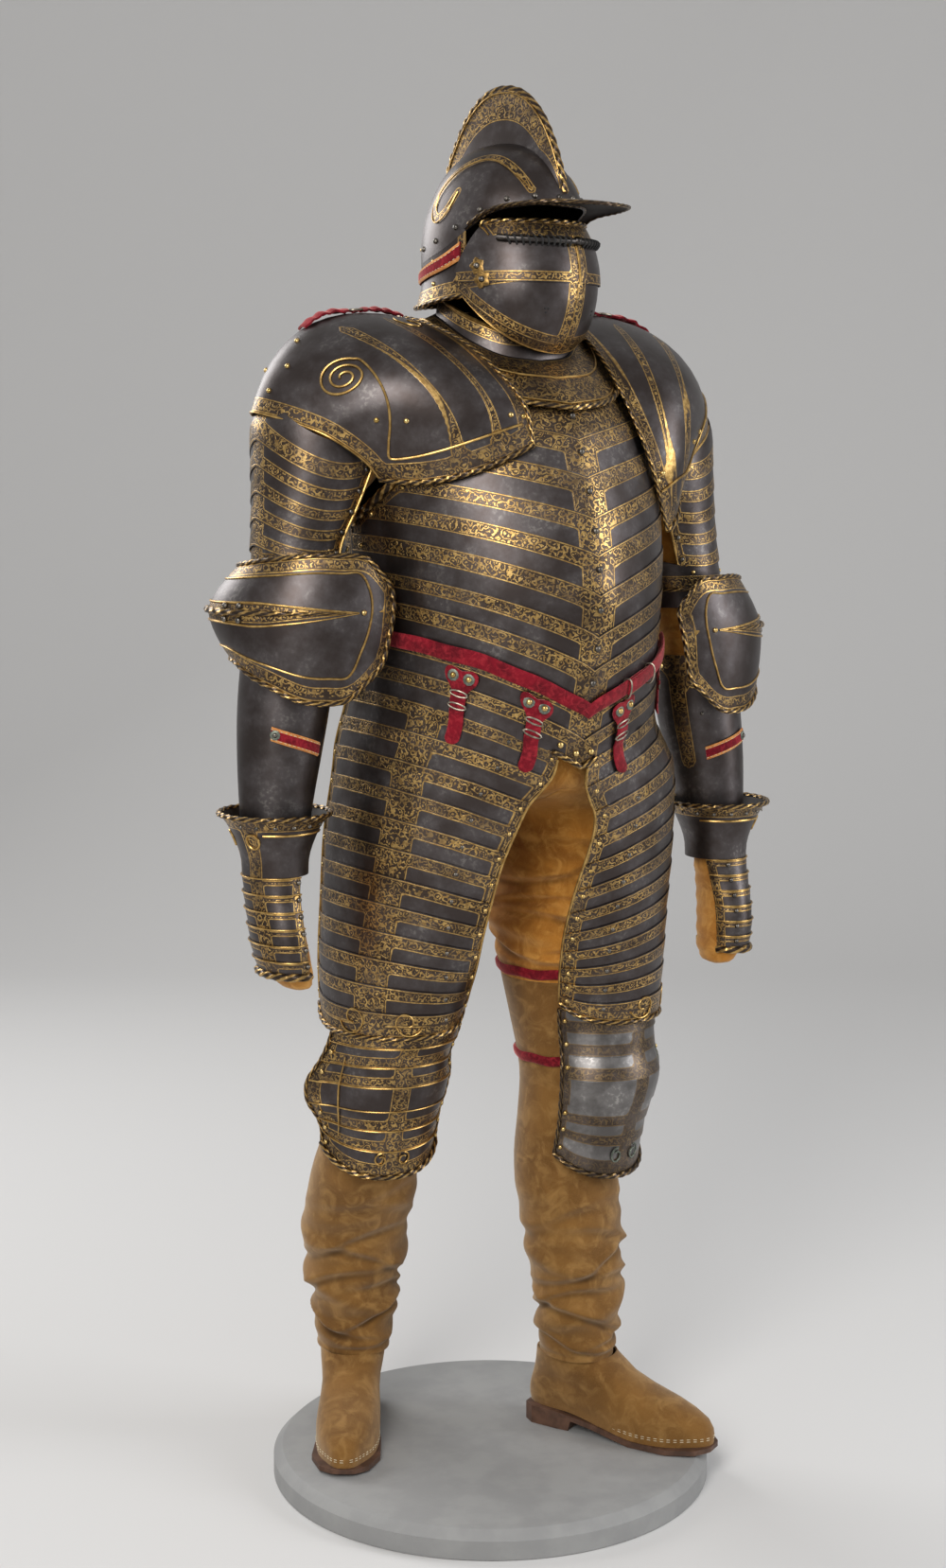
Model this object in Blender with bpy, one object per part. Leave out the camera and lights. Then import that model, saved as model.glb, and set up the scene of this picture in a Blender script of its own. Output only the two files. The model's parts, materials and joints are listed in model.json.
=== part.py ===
"""A suit of field armour on a round display base, with its suede clothes, boots and velvet straps.

Units are metres and +Z is up. The wearer faces -Y, so the wearer's right is -X.
The tables' heights are above the top of the base, where the empty that carries the figure stands.
Angles are in degrees. On the torso they run from the front (0) over the wearer's left (90).
On a limb they run from the limb's own front (0) over its outer side (90).
"""

import math

import bmesh
import bpy
import numpy as np
from mathutils import Vector

BASE_HEIGHT = 0.038
BASE_RADIUS = 0.3016
BASE_CHAMFER = 0.012
BASE_SIDES = 48

SEAM = 0.0003  # the gap between neighbouring pieces
STEEL = 0.0018
SUEDE = 0.0024
STRAP = 0.0028
PROUD = 0.0024  # how far a lame's free edge stands over its neighbour
TUCKED = 0.0006
STEP = 0.0004  # half the height of the step between two lames

SIDES = {"right": -1, "left": 1}
FRONT_COLUMNS = np.array([-1, -0.833, -0.667, -0.5, -0.333, -0.1, 0, 0.1, 0.333, 0.5, 0.667, 0.833, 1])
BACK_COLUMNS = np.linspace(-1.0, 1.0, 13)
SEAM_ANGLE = 89.95  # where the front plates end and, mirrored, the back plates begin

for old in list(bpy.data.objects):
    bpy.data.objects.remove(old, do_unlink=True)


def table(columns, *rows):
    """A table with named columns, as {name: array}. The first column is the key that the others follow."""
    names = columns.split()
    ordered = sorted(rows, key=lambda row: row[0])
    return {name: np.array([row[i] for row in ordered], float) for i, name in enumerate(names)}


def along(rows, column, where):
    """The column's value at each key in `where`, on a smooth curve through the table's rows."""
    keys, values = next(iter(rows.values())), rows[column]
    where = np.clip(where, keys[0], keys[-1])
    i = np.clip(np.searchsorted(keys, where) - 1, 0, len(keys) - 2)
    slopes = np.gradient(values, keys)
    width = keys[i + 1] - keys[i]
    t = (where - keys[i]) / width
    start = (1 + 2 * t) * (1 - t) ** 2 * values[i] + t * (1 - t) ** 2 * width * slopes[i]
    end = t * t * (3 - 2 * t) * values[i + 1] + t * t * (t - 1) * width * slopes[i + 1]
    return start + end


def sine(degrees):
    return np.sin(np.radians(degrees))


def cosine(degrees):
    return np.cos(np.radians(degrees))


def points(x, y, z):
    """A grid of points from three arrays that broadcast together."""
    return np.stack(np.broadcast_arrays(x, y, z), axis=-1).astype(float)


# Finishes

FINISHES = {
    "russet_steel": ((0.072, 0.060, 0.058, 1.0), 0.38, 1.0),
    "worn_steel": ((0.20, 0.19, 0.18, 1.0), 0.42, 1.0),
    "gilt_steel": ((0.40, 0.27, 0.10, 1.0), 0.42, 1.0),
    "suede": ((0.52, 0.24, 0.055, 1.0), 0.95, 0.0),
    "boot_suede": ((0.42, 0.22, 0.07, 1.0), 0.95, 0.0),
    "sole_leather": ((0.09, 0.045, 0.025, 1.0), 0.60, 0.0),
    "red_velvet": ((0.30, 0.010, 0.025, 1.0), 0.90, 0.0),
    "base_paint": ((0.30, 0.30, 0.30, 1.0), 0.55, 0.0),
}


def finish(name):
    """The named material, made once."""
    if name in bpy.data.materials:
        return bpy.data.materials[name]
    colour, roughness, metallic = FINISHES[name]
    material = bpy.data.materials.new(name)
    material.use_nodes = True
    shader = material.node_tree.nodes["Principled BSDF"]
    shader.inputs["Base Color"].default_value = colour
    shader.inputs["Roughness"].default_value = roughness
    shader.inputs["Metallic"].default_value = metallic
    return material


figure = bpy.data.objects.new("figure", None)
figure.location = (0.0, 0.0, BASE_HEIGHT)
bpy.context.scene.collection.objects.link(figure)


def add(name, corners, faces, material, origin=(0.0, 0.0, 0.0), parent=figure):
    """One object from its corners and faces, with every face turned outward."""
    mesh = bpy.data.meshes.new(name)
    mesh.from_pydata([tuple(corner - np.array(origin)) for corner in corners], [], faces)
    work = bmesh.new()
    work.from_mesh(mesh)
    bmesh.ops.remove_doubles(work, verts=work.verts, dist=1e-6)
    bmesh.ops.recalc_face_normals(work, faces=work.faces)
    if work.calc_volume(signed=True) < 0:
        bmesh.ops.reverse_faces(work, faces=work.faces)
    work.to_mesh(mesh)
    work.free()
    mesh.shade_smooth()
    mesh.set_sharp_from_angle(angle=math.radians(35))
    mesh.materials.append(finish(material))
    obj = bpy.data.objects.new(name, mesh)
    obj.location = origin
    obj.parent = parent
    bpy.context.scene.collection.objects.link(obj)
    return obj


def shell(name, outer, inner, material, wrap=False, poles=(), **where):
    """A closed wall between two grids of points. wrap joins the last column to the first.

    poles names the ends, first or last, where a grid's row is one point, so that no rim is made there.
    """
    rows, columns = outer.shape[:2]
    count = rows * columns
    spans = columns if wrap else columns - 1
    faces = []

    def quad(a, b, c, d):
        faces.append((a, b, c))
        faces.append((a, c, d))

    def inner_quad(a, b, c, d):
        faces.append((a, c, b))
        faces.append((a, d, c))

    def at(row, column, layer):
        return layer * count + row * columns + column % columns

    for row in range(rows - 1):
        for column in range(spans):
            corners = [(row, column), (row, column + 1), (row + 1, column + 1), (row + 1, column)]
            quad(*(at(r, c, 0) for r, c in corners))
            inner_quad(*(at(r, c, 1) for r, c in corners))
    for row, end in ((0, "first"), (rows - 1, "last")):
        if end in poles:
            continue
        for column in range(spans):
            quad(at(row, column, 0), at(row, column, 1), at(row, column + 1, 1), at(row, column + 1, 0))
    if not wrap:
        for column in (0, columns - 1):
            for row in range(rows - 1):
                quad(at(row, column, 0), at(row + 1, column, 0), at(row + 1, column, 1), at(row, column, 1))
    corners = np.concatenate([outer.reshape(-1, 3), inner.reshape(-1, 3)])
    return add(name, corners, faces, material, **where)


def lame_rows(edges):
    """Row positions and heights for a stack of lames: two rows at each inner edge, one at each end.

    Returns [(edge index, side, proud)], side -1 or 1 for just over or just under the edge.
    """
    rows = [(0, 0, PROUD)]
    for i in range(1, edges - 1):
        rows += [(i, -1, TUCKED), (i, 1, PROUD)]
    return rows + [(edges - 1, 0, TUCKED)]


# The torso's form: half its width, and its depth in front and behind, at each height

TORSO = table(
    "z half_width front back",
    (0.900, 0.222, 0.205, 0.186),
    (0.968, 0.217, 0.211, 0.183),
    (1.046, 0.208, 0.229, 0.170),
    (1.119, 0.203, 0.247, 0.162),
    (1.187, 0.206, 0.254, 0.167),
    (1.283, 0.210, 0.237, 0.180),
    (1.360, 0.206, 0.209, 0.183),
    (1.400, 0.196, 0.191, 0.176),
    (1.430, 0.184, 0.169, 0.168),
    (1.480, 0.150, 0.125, 0.145),
)
TORSO_X = 0.004
KEEL = 0.006  # the ridge down the middle of the breastplate
KEEL_ANGLE = 14.0


def torso(angle, z, off=0.0):
    """Points on the torso's form, moved out by off."""
    side, ahead = sine(angle), cosine(angle)
    depth = np.where(ahead > 0, along(TORSO, "front", z), along(TORSO, "back", z))
    bent = (np.asarray(angle) + 180.0) % 360.0 - 180.0
    ridge = KEEL * np.exp(-((bent / KEEL_ANGLE) ** 2))
    x = TORSO_X + (along(TORSO, "half_width", z) + off) * side
    return points(x, -(depth + ridge + off) * ahead, z)


# Edge lines round the torso: a V in front, rising to the sides, and a shallow dip behind

EDGES = table(
    "v rise dip skew",
    (0.9680, 0.085, 0.010, 0.010),
    (1.0040, 0.085, 0.010, 0.010),
    (1.0461, 0.085, 0.012, 0.010),
    (1.0937, 0.080, 0.015, 0.008),
    (1.1356, 0.075, 0.018, 0.006),
    (1.1872, 0.070, 0.020, 0.004),
    (1.2370, 0.062, 0.020, 0.002),
    (1.2828, 0.055, 0.020, 0.0),
    (1.3332, 0.047, 0.018, 0.0),
    (1.3805, 0.040, 0.015, 0.0),
    (1.4240, 0.034, 0.012, 0.0),
)
V_SHARPNESS = 0.85


def edge(v, angle):
    """The height at each angle of the edge line that crosses the front at v."""
    side, ahead = sine(angle), cosine(angle)
    rise = along(EDGES, "rise", v) * np.where(ahead > 0, np.abs(side) ** V_SHARPNESS, 1.0)
    dip = along(EDGES, "dip", v) * np.where(ahead > 0, 0.0, -ahead)
    return v + rise - dip - along(EDGES, "skew", v) * side


BREAST_EDGES = (1.4240, 1.3805, 1.3332, 1.2828, 1.2370, 1.1872, 1.1356, 1.0937, 1.0461)
BACK_EDGES = (1.4240, 1.3332, 1.2370, 1.1356, 1.0461)
FAULD_EDGES = (1.0461, 1.0040, 0.9680)

# How far round each plate reaches before it meets the armhole, by the height of its side
ARMHOLE = table(
    "z reach",
    (1.040, SEAM_ANGLE),
    (1.270, SEAM_ANGLE),
    (1.297, 78.0),
    (1.340, 64.0),
    (1.400, 54.0),
    (1.470, 46.0),
)


def torso_plate(name, edges, middle, columns, top_gap=0.0, bottom_gap=0.0):
    """A plate of lames round the front (middle 0) or the back (middle 180) of the torso."""
    outer, inner = [], []
    for i, side, proud in lame_rows(len(edges)):
        v = edges[i]
        reach = np.interp(v + along(EDGES, "rise", v), ARMHOLE["z"], ARMHOLE["reach"])
        angle = middle + columns * reach
        gap = -top_gap if i == 0 else bottom_gap if i == len(edges) - 1 else 0.0
        z = edge(v, angle) - side * STEP + gap
        outer.append(torso(angle, z, proud))
        inner.append(torso(angle, z, -STEEL))
    return shell(name, np.array(outer), np.array(inner), "russet_steel")


def build_torso():
    torso_plate("breastplate", BREAST_EDGES, 0.0, FRONT_COLUMNS)
    torso_plate("backplate", BACK_EDGES, 180.0, BACK_COLUMNS)
    torso_plate("fauld", FAULD_EDGES, 0.0, FRONT_COLUMNS, top_gap=SEAM)
    torso_plate("culet", FAULD_EDGES, 180.0, BACK_COLUMNS, top_gap=SEAM)


BELT_V = 1.0461
BELT_HALF = 0.010
BELT_OFF = 0.0030
BELT_DROP = 0.006
PLATE_ANGLES = np.concatenate([FRONT_COLUMNS * SEAM_ANGLE, 180.0 + BACK_COLUMNS * SEAM_ANGLE])


def build_belt():
    """The waist belt, and the free tail that lies on it beside its buckle."""
    angle = np.unique(np.round(PLATE_ANGLES % 360.0 / 1.5) * 1.5)
    rows = [edge(BELT_V, angle) - BELT_DROP + lift for lift in (BELT_HALF, -BELT_HALF)]
    outer = np.array([torso(angle, z, BELT_OFF + STRAP) for z in rows])
    inner = np.array([torso(angle, z, BELT_OFF) for z in rows])
    shell("belt", outer, inner, "red_velvet", wrap=True)
    angle = np.linspace(18.0, 62.0, 7)
    start = BELT_OFF + STRAP + SEAM + 0.0006
    lifts = (BELT_HALF, -BELT_HALF)
    swing = 0.014 * np.linspace(0.0, 1.0, len(angle)) ** 2
    rows = [edge(BELT_V, angle) - BELT_DROP + lift + swing for lift in lifts]
    outer = np.array([torso(angle, z, start + STRAP) for z in rows])
    inner = np.array([torso(angle, z, start) for z in rows])
    shell("belt_tail", outer, inner, "red_velvet")


# Tassets: long plates of lames that hang from the fauld to the knee.
# t runs from the fauld's edge (0) to the hem (1); the section goes from the torso's to the thigh's.

TASSET_SECTION = {
    "right": table(
        "t out y half_width front first last",
        (0.00, 0.000, 0.000, 0.2170, 0.211, 9.0, 100.0),
        (0.20, 0.035, 0.000, 0.1810, 0.190, 8.5, 104.0),
        (0.43, 0.075, 0.005, 0.1530, 0.170, 5.0, 108.0),
        (0.64, 0.110, 0.012, 0.1220, 0.140, -10.0, 112.0),
        (0.82, 0.132, 0.018, 0.1020, 0.120, -30.0, 118.0),
        (1.00, 0.140, 0.023, 0.0920, 0.106, -48.0, 124.0),
    ),
    "left": table(
        "t out y half_width front first last",
        (0.00, 0.008, 0.000, 0.2200, 0.211, 3.5, 100.0),
        (0.20, 0.055, -0.010, 0.1940, 0.190, -5.0, 104.0),
        (0.43, 0.090, -0.020, 0.1520, 0.170, -26.0, 108.0),
        (0.64, 0.115, -0.030, 0.1180, 0.140, -44.0, 112.0),
        (0.82, 0.128, -0.034, 0.1020, 0.120, -54.0, 118.0),
        (1.00, 0.135, -0.035, 0.0920, 0.106, -60.0, 124.0),
    ),
}
TASSET_LAMES = 12
HEM = 0.607
HEM_CORNER = 0.026
TASSET_COLUMNS = np.linspace(-1.0, 1.0, 9)


def on_facets(angle, v, off):
    """Points on the edge line v of the torso's plates as their flat facets run, at any angle."""
    columns = np.sort((PLATE_ANGLES + 180.0) % 360.0 - 180.0)
    corners = torso(columns, edge(v, columns), off)
    return points(*(np.interp(angle, columns, corners[:, axis]) for axis in range(3)))


def skirt(side, t, angle, off=0.0):
    """Points on the form that the fauld's edge and one tasset share."""
    section = TASSET_SECTION[side]
    out = along(section, "out", t)
    y = along(section, "y", t)
    wide = along(section, "half_width", t)
    deep = along(section, "front", t)
    sign = SIDES[side]
    at_top = on_facets(sign * angle, FAULD_EDGES[-1], off)
    top = at_top[..., 2] - SEAM
    x = sign * (out + (wide + off) * sine(angle))
    below = points(x, y - (deep + off) * cosine(angle), 0.0)
    share = np.clip(t / 0.20, 0.0, 1.0)
    share = (share * share * (3 - 2 * share))[..., None]
    row = at_top * (1 - share) + below * share
    row[..., 2] = top + (HEM - top) * t
    return row


def tasset_grid(side, t, columns, off):
    """One row of a tasset: its columns from the inner edge (-1) to the outer edge (1)."""
    section = TASSET_SECTION[side]
    first, last = along(section, "first", t), along(section, "last", t)
    angle = first + (last - first) * (columns + 1) / 2
    row = skirt(side, np.full(columns.shape, t), angle, off)
    row[:, 2] += HEM_CORNER * t**6 * np.abs(columns) ** 5
    return row


def build_tasset(side):
    outer, inner = [], []
    for i, over, proud in lame_rows(TASSET_LAMES + 1):
        t = i / TASSET_LAMES + over * STEP / 0.4
        outer.append(tasset_grid(side, t, TASSET_COLUMNS, proud))
        inner.append(tasset_grid(side, t, TASSET_COLUMNS, -STEEL))
    shell(f"tasset_{side}", np.array(outer), np.array(inner), "russet_steel")


# Straps from the fauld to the tassets: a wide pad above, a narrow strap with a round end below

STRAPS = table(
    "number side angle length",
    (1, -1, 19.0, 0.095),
    (2, -1, 45.0, 0.095),
    (3, -1, 90.0, 0.068),
    (4, 1, 16.5, 0.095),
    (5, 1, 60.0, 0.075),
)
STRAP_TOP = 0.020  # from the belt line down to the pad's top
PAD_SHARE = 0.26
PAD_HALF = 0.021
STRAP_HALF = 0.0095
STRAP_OFF = PROUD + SEAM + 0.0004


def hanging(side, angle, drop, off):
    """A point on the fauld or tasset, drop below the belt line."""
    sign = SIDES[side]
    v = BELT_V - drop
    low = edge(FAULD_EDGES[-1], sign * angle)
    t = np.clip((FAULD_EDGES[-1] - v) / (low - HEM), 0.0, 1.0)
    on_fauld = np.array([on_facets(sign * one, line, off) for one, line in zip(angle, v)])
    return np.where((v > FAULD_EDGES[-1])[..., None], on_fauld, skirt(side, t, angle, off))


def build_tasset_strap(number, sign, angle, length):
    side = "right" if sign < 0 else "left"
    shares = np.array([0.0, PAD_SHARE * 0.5, PAD_SHARE, PAD_SHARE + 0.08, 0.6, 0.92, 1.0])
    halves = np.array([0.94, 1.0, 0.9, 0.46, 0.45, 0.45, 0.30]) * PAD_HALF
    radius = 0.21
    across = np.array([-1.0, 0.0, 1.0])
    outer, inner = [], []
    for share, half in zip(shares, halves):
        turn = angle + np.degrees(half / radius) * across
        drop = np.full(across.shape, STRAP_TOP + share * length)
        outer.append(hanging(side, turn, drop, STRAP_OFF + STRAP))
        inner.append(hanging(side, turn, drop, STRAP_OFF))
    shell(f"tasset_strap_{number}", np.array(outer), np.array(inner), "red_velvet")


# Arms: the axis's place and the plates' radius at each height

ARM = {
    "right": table(
        "z out y radius",
        (0.820, 0.327, -0.012, 0.0385),
        (0.860, 0.3245, -0.0078, 0.0415),
        (0.906, 0.321, -0.003, 0.046),
        (0.980, 0.314, -0.001, 0.054),
        (1.040, 0.307, 0.000, 0.059),
        (1.100, 0.300, 0.000, 0.060),
        (1.152, 0.291, 0.000, 0.060),
        (1.200, 0.286, 0.000, 0.061),
        (1.250, 0.281, 0.000, 0.064),
        (1.300, 0.267, 0.000, 0.075),
        (1.360, 0.253, 0.002, 0.087),
        (1.405, 0.246, 0.004, 0.0902),
        (1.435, 0.237, 0.004, 0.0830),
    ),
    "left": table(
        "z out y radius",
        (0.790, 0.352, -0.030, 0.0385),
        (0.830, 0.350, -0.026, 0.0418),
        (0.871, 0.347, -0.022, 0.046),
        (0.940, 0.340, -0.016, 0.054),
        (1.000, 0.333, -0.010, 0.059),
        (1.060, 0.326, -0.006, 0.060),
        (1.112, 0.318, -0.004, 0.060),
        (1.160, 0.306, -0.002, 0.063),
        (1.215, 0.291, 0.000, 0.066),
        (1.280, 0.274, 0.000, 0.073),
        (1.350, 0.254, 0.002, 0.087),
        (1.405, 0.246, 0.004, 0.0902),
        (1.435, 0.237, 0.004, 0.0830),
    ),
}
ELBOW = {"right": 1.166, "left": 1.126}
WRIST = {"right": 0.830, "left": 0.800}
ROUND = np.arange(12) * 360.0 / 12


def arm(side, turn, z, off=0.0):
    """Points round an arm. turn runs from its outer side (0) over its front (90) to its inner side (180)."""
    rows = ARM[side]
    reach = along(rows, "radius", z) + off
    x = SIDES[side] * (along(rows, "out", z) + reach * cosine(turn))
    return points(x, along(rows, "y", z) - reach * sine(turn), z)


# Pauldrons: a patch from the edge beside the neck to the edge over the arm lames.
# Each row of the table is one strip, from the front (-1) over the top (0) to the back (1).

PAULDRON = {
    "right": table(
        "c neck_x neck_y neck_z lift_x lift_y lift_z arm_x arm_y arm_z",
        (-1.0, 0.060, -0.207, 1.372, 0.168, -0.178, 1.312, 0.216, -0.094, 1.330),
        (-0.75, 0.066, -0.193, 1.422, 0.190, -0.200, 1.415, 0.240, -0.098, 1.352),
        (-0.4, 0.098, -0.120, 1.492, 0.235, -0.160, 1.500, 0.290, -0.080, 1.386),
        (0.0, 0.112, 0.010, 1.5331, 0.290, 0.000, 1.566, 0.340, 0.004, 1.412),
        (0.5, 0.102, 0.110, 1.520, 0.240, 0.150, 1.510, 0.278, 0.092, 1.392),
        (1.0, 0.080, 0.196, 1.430, 0.190, 0.200, 1.360, 0.208, 0.112, 1.350),
    ),
    "left": table(
        "c neck_x neck_y neck_z lift_x lift_y lift_z arm_x arm_y arm_z",
        (-1.0, 0.170, -0.163, 1.262, 0.205, -0.152, 1.272, 0.222, -0.104, 1.322),
        (-0.75, 0.130, -0.182, 1.350, 0.205, -0.196, 1.372, 0.246, -0.100, 1.350),
        (-0.4, 0.100, -0.130, 1.4675, 0.235, -0.165, 1.492, 0.290, -0.080, 1.386),
        (0.0, 0.112, 0.010, 1.5407, 0.290, 0.000, 1.566, 0.340, 0.004, 1.412),
        (0.5, 0.102, 0.110, 1.520, 0.240, 0.150, 1.510, 0.278, 0.092, 1.392),
        (1.0, 0.080, 0.196, 1.430, 0.190, 0.200, 1.360, 0.208, 0.112, 1.350),
    ),
}


def pauldron(side, c, t):
    """Points on a pauldron's form: c from front to back, t from the neck's edge (0) to the arm's (1)."""
    rows = PAULDRON[side]
    ends = {}
    for part in ("neck", "lift", "arm"):
        x, y, z = (along(rows, f"{part}_{axis}", c) for axis in "xyz")
        ends[part] = points(SIDES[side] * x, y, z)
    t = np.asarray(t)[..., None]
    return ends["neck"] * (1 - t) ** 2 + ends["lift"] * 2 * t * (1 - t) + ends["arm"] * t * t


def moved_out(form, first, second, off, nudge=1e-3):
    """form(first, second) moved out along its normal by off. Both arguments are arrays of one shape."""
    here = form(first, second)
    along_first = form(first + nudge, second) - form(first - nudge, second)
    along_second = form(first, second + nudge) - form(first, second - nudge)
    normal = np.cross(along_first, along_second)
    normal /= np.linalg.norm(normal, axis=-1, keepdims=True)
    return here + normal * off


PAULDRON_COLUMNS = np.array([-1.0, -0.8, -0.58, -0.36, -0.16, 0.04, 0.14, 0.34, 0.56, 0.78, 1.0])
PAULDRON_ROWS = np.array([0.0, 0.17, 0.34, 0.5, 0.75, 1.0])
STRAP_COLUMNS = slice(5, 7)
STRAP_ROWS = slice(0, 4)


def build_pauldron(side):
    c, t = np.meshgrid(np.clip(PAULDRON_COLUMNS, -0.999, 0.999), np.clip(PAULDRON_ROWS, 0.001, 0.999))
    out = -SIDES[side]

    def layer(off):
        return moved_out(lambda c, t: pauldron(side, c, t), c, t, off * out)

    shell(f"pauldron_{side}", layer(0.0), layer(-STEEL), "russet_steel")
    low = layer(STRAP_LIFT)[STRAP_ROWS, STRAP_COLUMNS]
    high = layer(STRAP_LIFT + STRAP)[STRAP_ROWS, STRAP_COLUMNS]
    shell(f"shoulder_strap_{side}", high, low, "red_velvet")


STRAP_LIFT = 0.0008


# Arm lames, under the pauldron: an open ring of overlapping lames, each over the next

ARM_LAMES = table(
    "number right left drop",
    (0, 1.4260, 1.4260, 0.064),
    (1, 1.3790, 1.3760, 0.050),
    (2, 1.3470, 1.3400, 0.044),
    (3, 1.3140, 1.3030, 0.036),
    (4, 1.2810, 1.2660, 0.028),
    (5, 1.2480, 1.2290, 0.020),
)
LAME_TURNS = np.linspace(-118.0, 118.0, 9)
LAME_OFF = -0.0019


def lame_height(side, number, turn):
    """The height of a lame's edge: highest on the outside, lower at the front and back."""
    return along(ARM_LAMES, side, number) - along(ARM_LAMES, "drop", number) * np.abs(sine(turn)) ** 1.3


def build_arm_lames(side):
    outer, inner = [], []
    last = len(ARM_LAMES["number"]) - 1
    for number in range(last + 1):
        z = lame_height(side, number, LAME_TURNS)
        if number:
            outer.append(arm(side, LAME_TURNS, z + STEP, LAME_OFF + PROUD))
            inner.append(arm(side, LAME_TURNS, z + STEP, LAME_OFF - STEEL))
        if number < last:
            outer.append(arm(side, LAME_TURNS, z - STEP, LAME_OFF))
            inner.append(arm(side, LAME_TURNS, z - STEP, LAME_OFF - STEEL))
    shell(f"arm_lames_{side}", np.array(outer), np.array(inner), "russet_steel")


# Cannons and couters

CANNON_OFF = LAME_OFF
COUTER = table(
    "turn top low rim ridge hem",
    (-122.0, 0.036, -0.048, 0.0003, 0.020, 0.0022),
    (-80.0, 0.048, -0.058, 0.0050, 0.040, 0.0110),
    (-35.0, 0.054, -0.062, 0.0120, 0.050, 0.0130),
    (0.0, 0.058, -0.064, 0.0155, 0.046, 0.0140),
    (45.0, 0.066, -0.088, 0.0245, 0.043, 0.0240),
    (90.0, 0.070, -0.112, 0.0435, 0.056, 0.0400),
    (112.0, 0.062, -0.104, 0.0595, 0.068, 0.0560),
    (127.0, 0.022, -0.060, 0.0745, 0.078, 0.0740),
)
COUTER_TURNS = np.array([-122.0, -92, -62, -32, -2, 28, 56, 80, 100, 116, 127])
COUTER_ROWS = np.array([-1.0, -0.6, -0.22, 0.0, 0.22, 0.6, 1.0])


def couter(side, turn, share, off=0.0):
    """Points on a couter's form: share runs from the top rim (-1) over the ridge (0) to the lower rim (1)."""
    top, low = along(COUTER, "top", turn), along(COUTER, "low", turn)
    rim, ridge, hem = (along(COUTER, name, turn) for name in ("rim", "ridge", "hem"))
    end = np.where(share < 0, rim, hem)
    reach = ridge + (end - ridge) * np.abs(share) ** 1.6 + off
    height = np.where(share < 0, -share * top, share * low)
    return arm(side, turn, ELBOW[side] + height, reach)


def build_forearm(side):
    z0 = ELBOW[side]
    top = lame_height(side, len(ARM_LAMES["number"]) - 1, ROUND)
    upper = [top - SEAM - STEP, np.full(ROUND.shape, z0 + 0.050), np.full(ROUND.shape, z0 + 0.030)]
    upper.insert(1, (upper[0] + upper[1]) / 2)
    outer = np.array([arm(side, ROUND, z, CANNON_OFF) for z in upper])
    inner = np.array([arm(side, ROUND, z, CANNON_OFF - STEEL) for z in upper])
    shell(f"upper_cannon_{side}", outer, inner, "russet_steel", wrap=True)

    lower = [z0 - 0.040, z0 - 0.115, z0 - 0.156, z0 - 0.174, WRIST[side] + 0.034]
    outer = np.array([arm(side, ROUND, z, 0.0) for z in lower])
    inner = np.array([arm(side, ROUND, z, -STEEL) for z in lower])
    shell(f"lower_cannon_{side}", outer, inner, "russet_steel", wrap=True)

    turn, share = np.meshgrid(COUTER_TURNS, COUTER_ROWS)
    outer, inner = couter(side, turn, share), couter(side, turn, share, -STEEL)
    shell(f"couter_{side}", outer, inner, "russet_steel")

    turns = np.array([60.0, 90.0, 120.0])
    rows = (z0 - 0.156, z0 - 0.174)
    outer = np.array([arm(side, turns, z, STRAP_LIFT + STRAP) for z in rows])
    inner = np.array([arm(side, turns, z, STRAP_LIFT) for z in rows])
    shell(f"forearm_strap_{side}", outer, inner, "red_velvet")


# Gauntlets: a bell cuff over the wrist, and lames over the back of the hand

CUFF = table(
    "rise width depth",
    (0.000, 0.0420, 0.0450),
    (0.020, 0.0430, 0.0465),
    (0.045, 0.0510, 0.0540),
    (0.064, 0.0600, 0.0640),
    (0.078, 0.0700, 0.0740),
)
HAND = table(
    "drop out y width depth",
    (0.000, 0.000, 0.000, 0.0425, 0.0455),
    (0.030, 0.002, -0.005, 0.0400, 0.0480),
    (0.060, 0.002, -0.012, 0.0380, 0.0510),
    (0.095, 0.000, -0.018, 0.0370, 0.0520),
    (0.125, -0.004, -0.022, 0.0330, 0.0490),
)
HAND_TURNS = np.linspace(-100.0, 112.0, 8)
HAND_LAMES = 6


def hand(side, turn, drop, off=0.0):
    """Points round the hand, drop below the wrist."""
    z = WRIST[side]
    out = along(ARM[side], "out", z) + along(HAND, "out", drop)
    y = along(ARM[side], "y", z) + along(HAND, "y", drop)
    x = SIDES[side] * (out + (along(HAND, "width", drop) + off) * cosine(turn))
    return points(x, y - (along(HAND, "depth", drop) + off) * sine(turn), z - drop)


def build_gauntlet(side):
    z = WRIST[side]
    out, y = along(ARM[side], "out", z), along(ARM[side], "y", z)
    outer, inner = [], []
    for rise in CUFF["rise"][::-1]:
        wide, deep = along(CUFF, "width", rise), along(CUFF, "depth", rise)
        for rows, off in ((outer, 0.0), (inner, -STEEL)):
            x = SIDES[side] * (out + (wide + off) * cosine(ROUND))
            rows.append(points(x, y - (deep + off) * sine(ROUND), z + rise))
    shell(f"gauntlet_cuff_{side}", np.array(outer), np.array(inner), "russet_steel", wrap=True)

    outer, inner = [], []
    last = HAND["drop"][-1]
    for i, over, proud in lame_rows(HAND_LAMES + 1):
        drop = np.full(HAND_TURNS.shape, i * last / HAND_LAMES + over * STEP + (SEAM if i == 0 else 0.0))
        outer.append(hand(side, HAND_TURNS, drop, proud - PROUD))
        inner.append(hand(side, HAND_TURNS, drop, -PROUD - STEEL))
    shell(f"gauntlet_hand_{side}", np.array(outer), np.array(inner), "russet_steel")


# The glove: a hollow mitten of suede inside the gauntlet, open at the wrist

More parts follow.
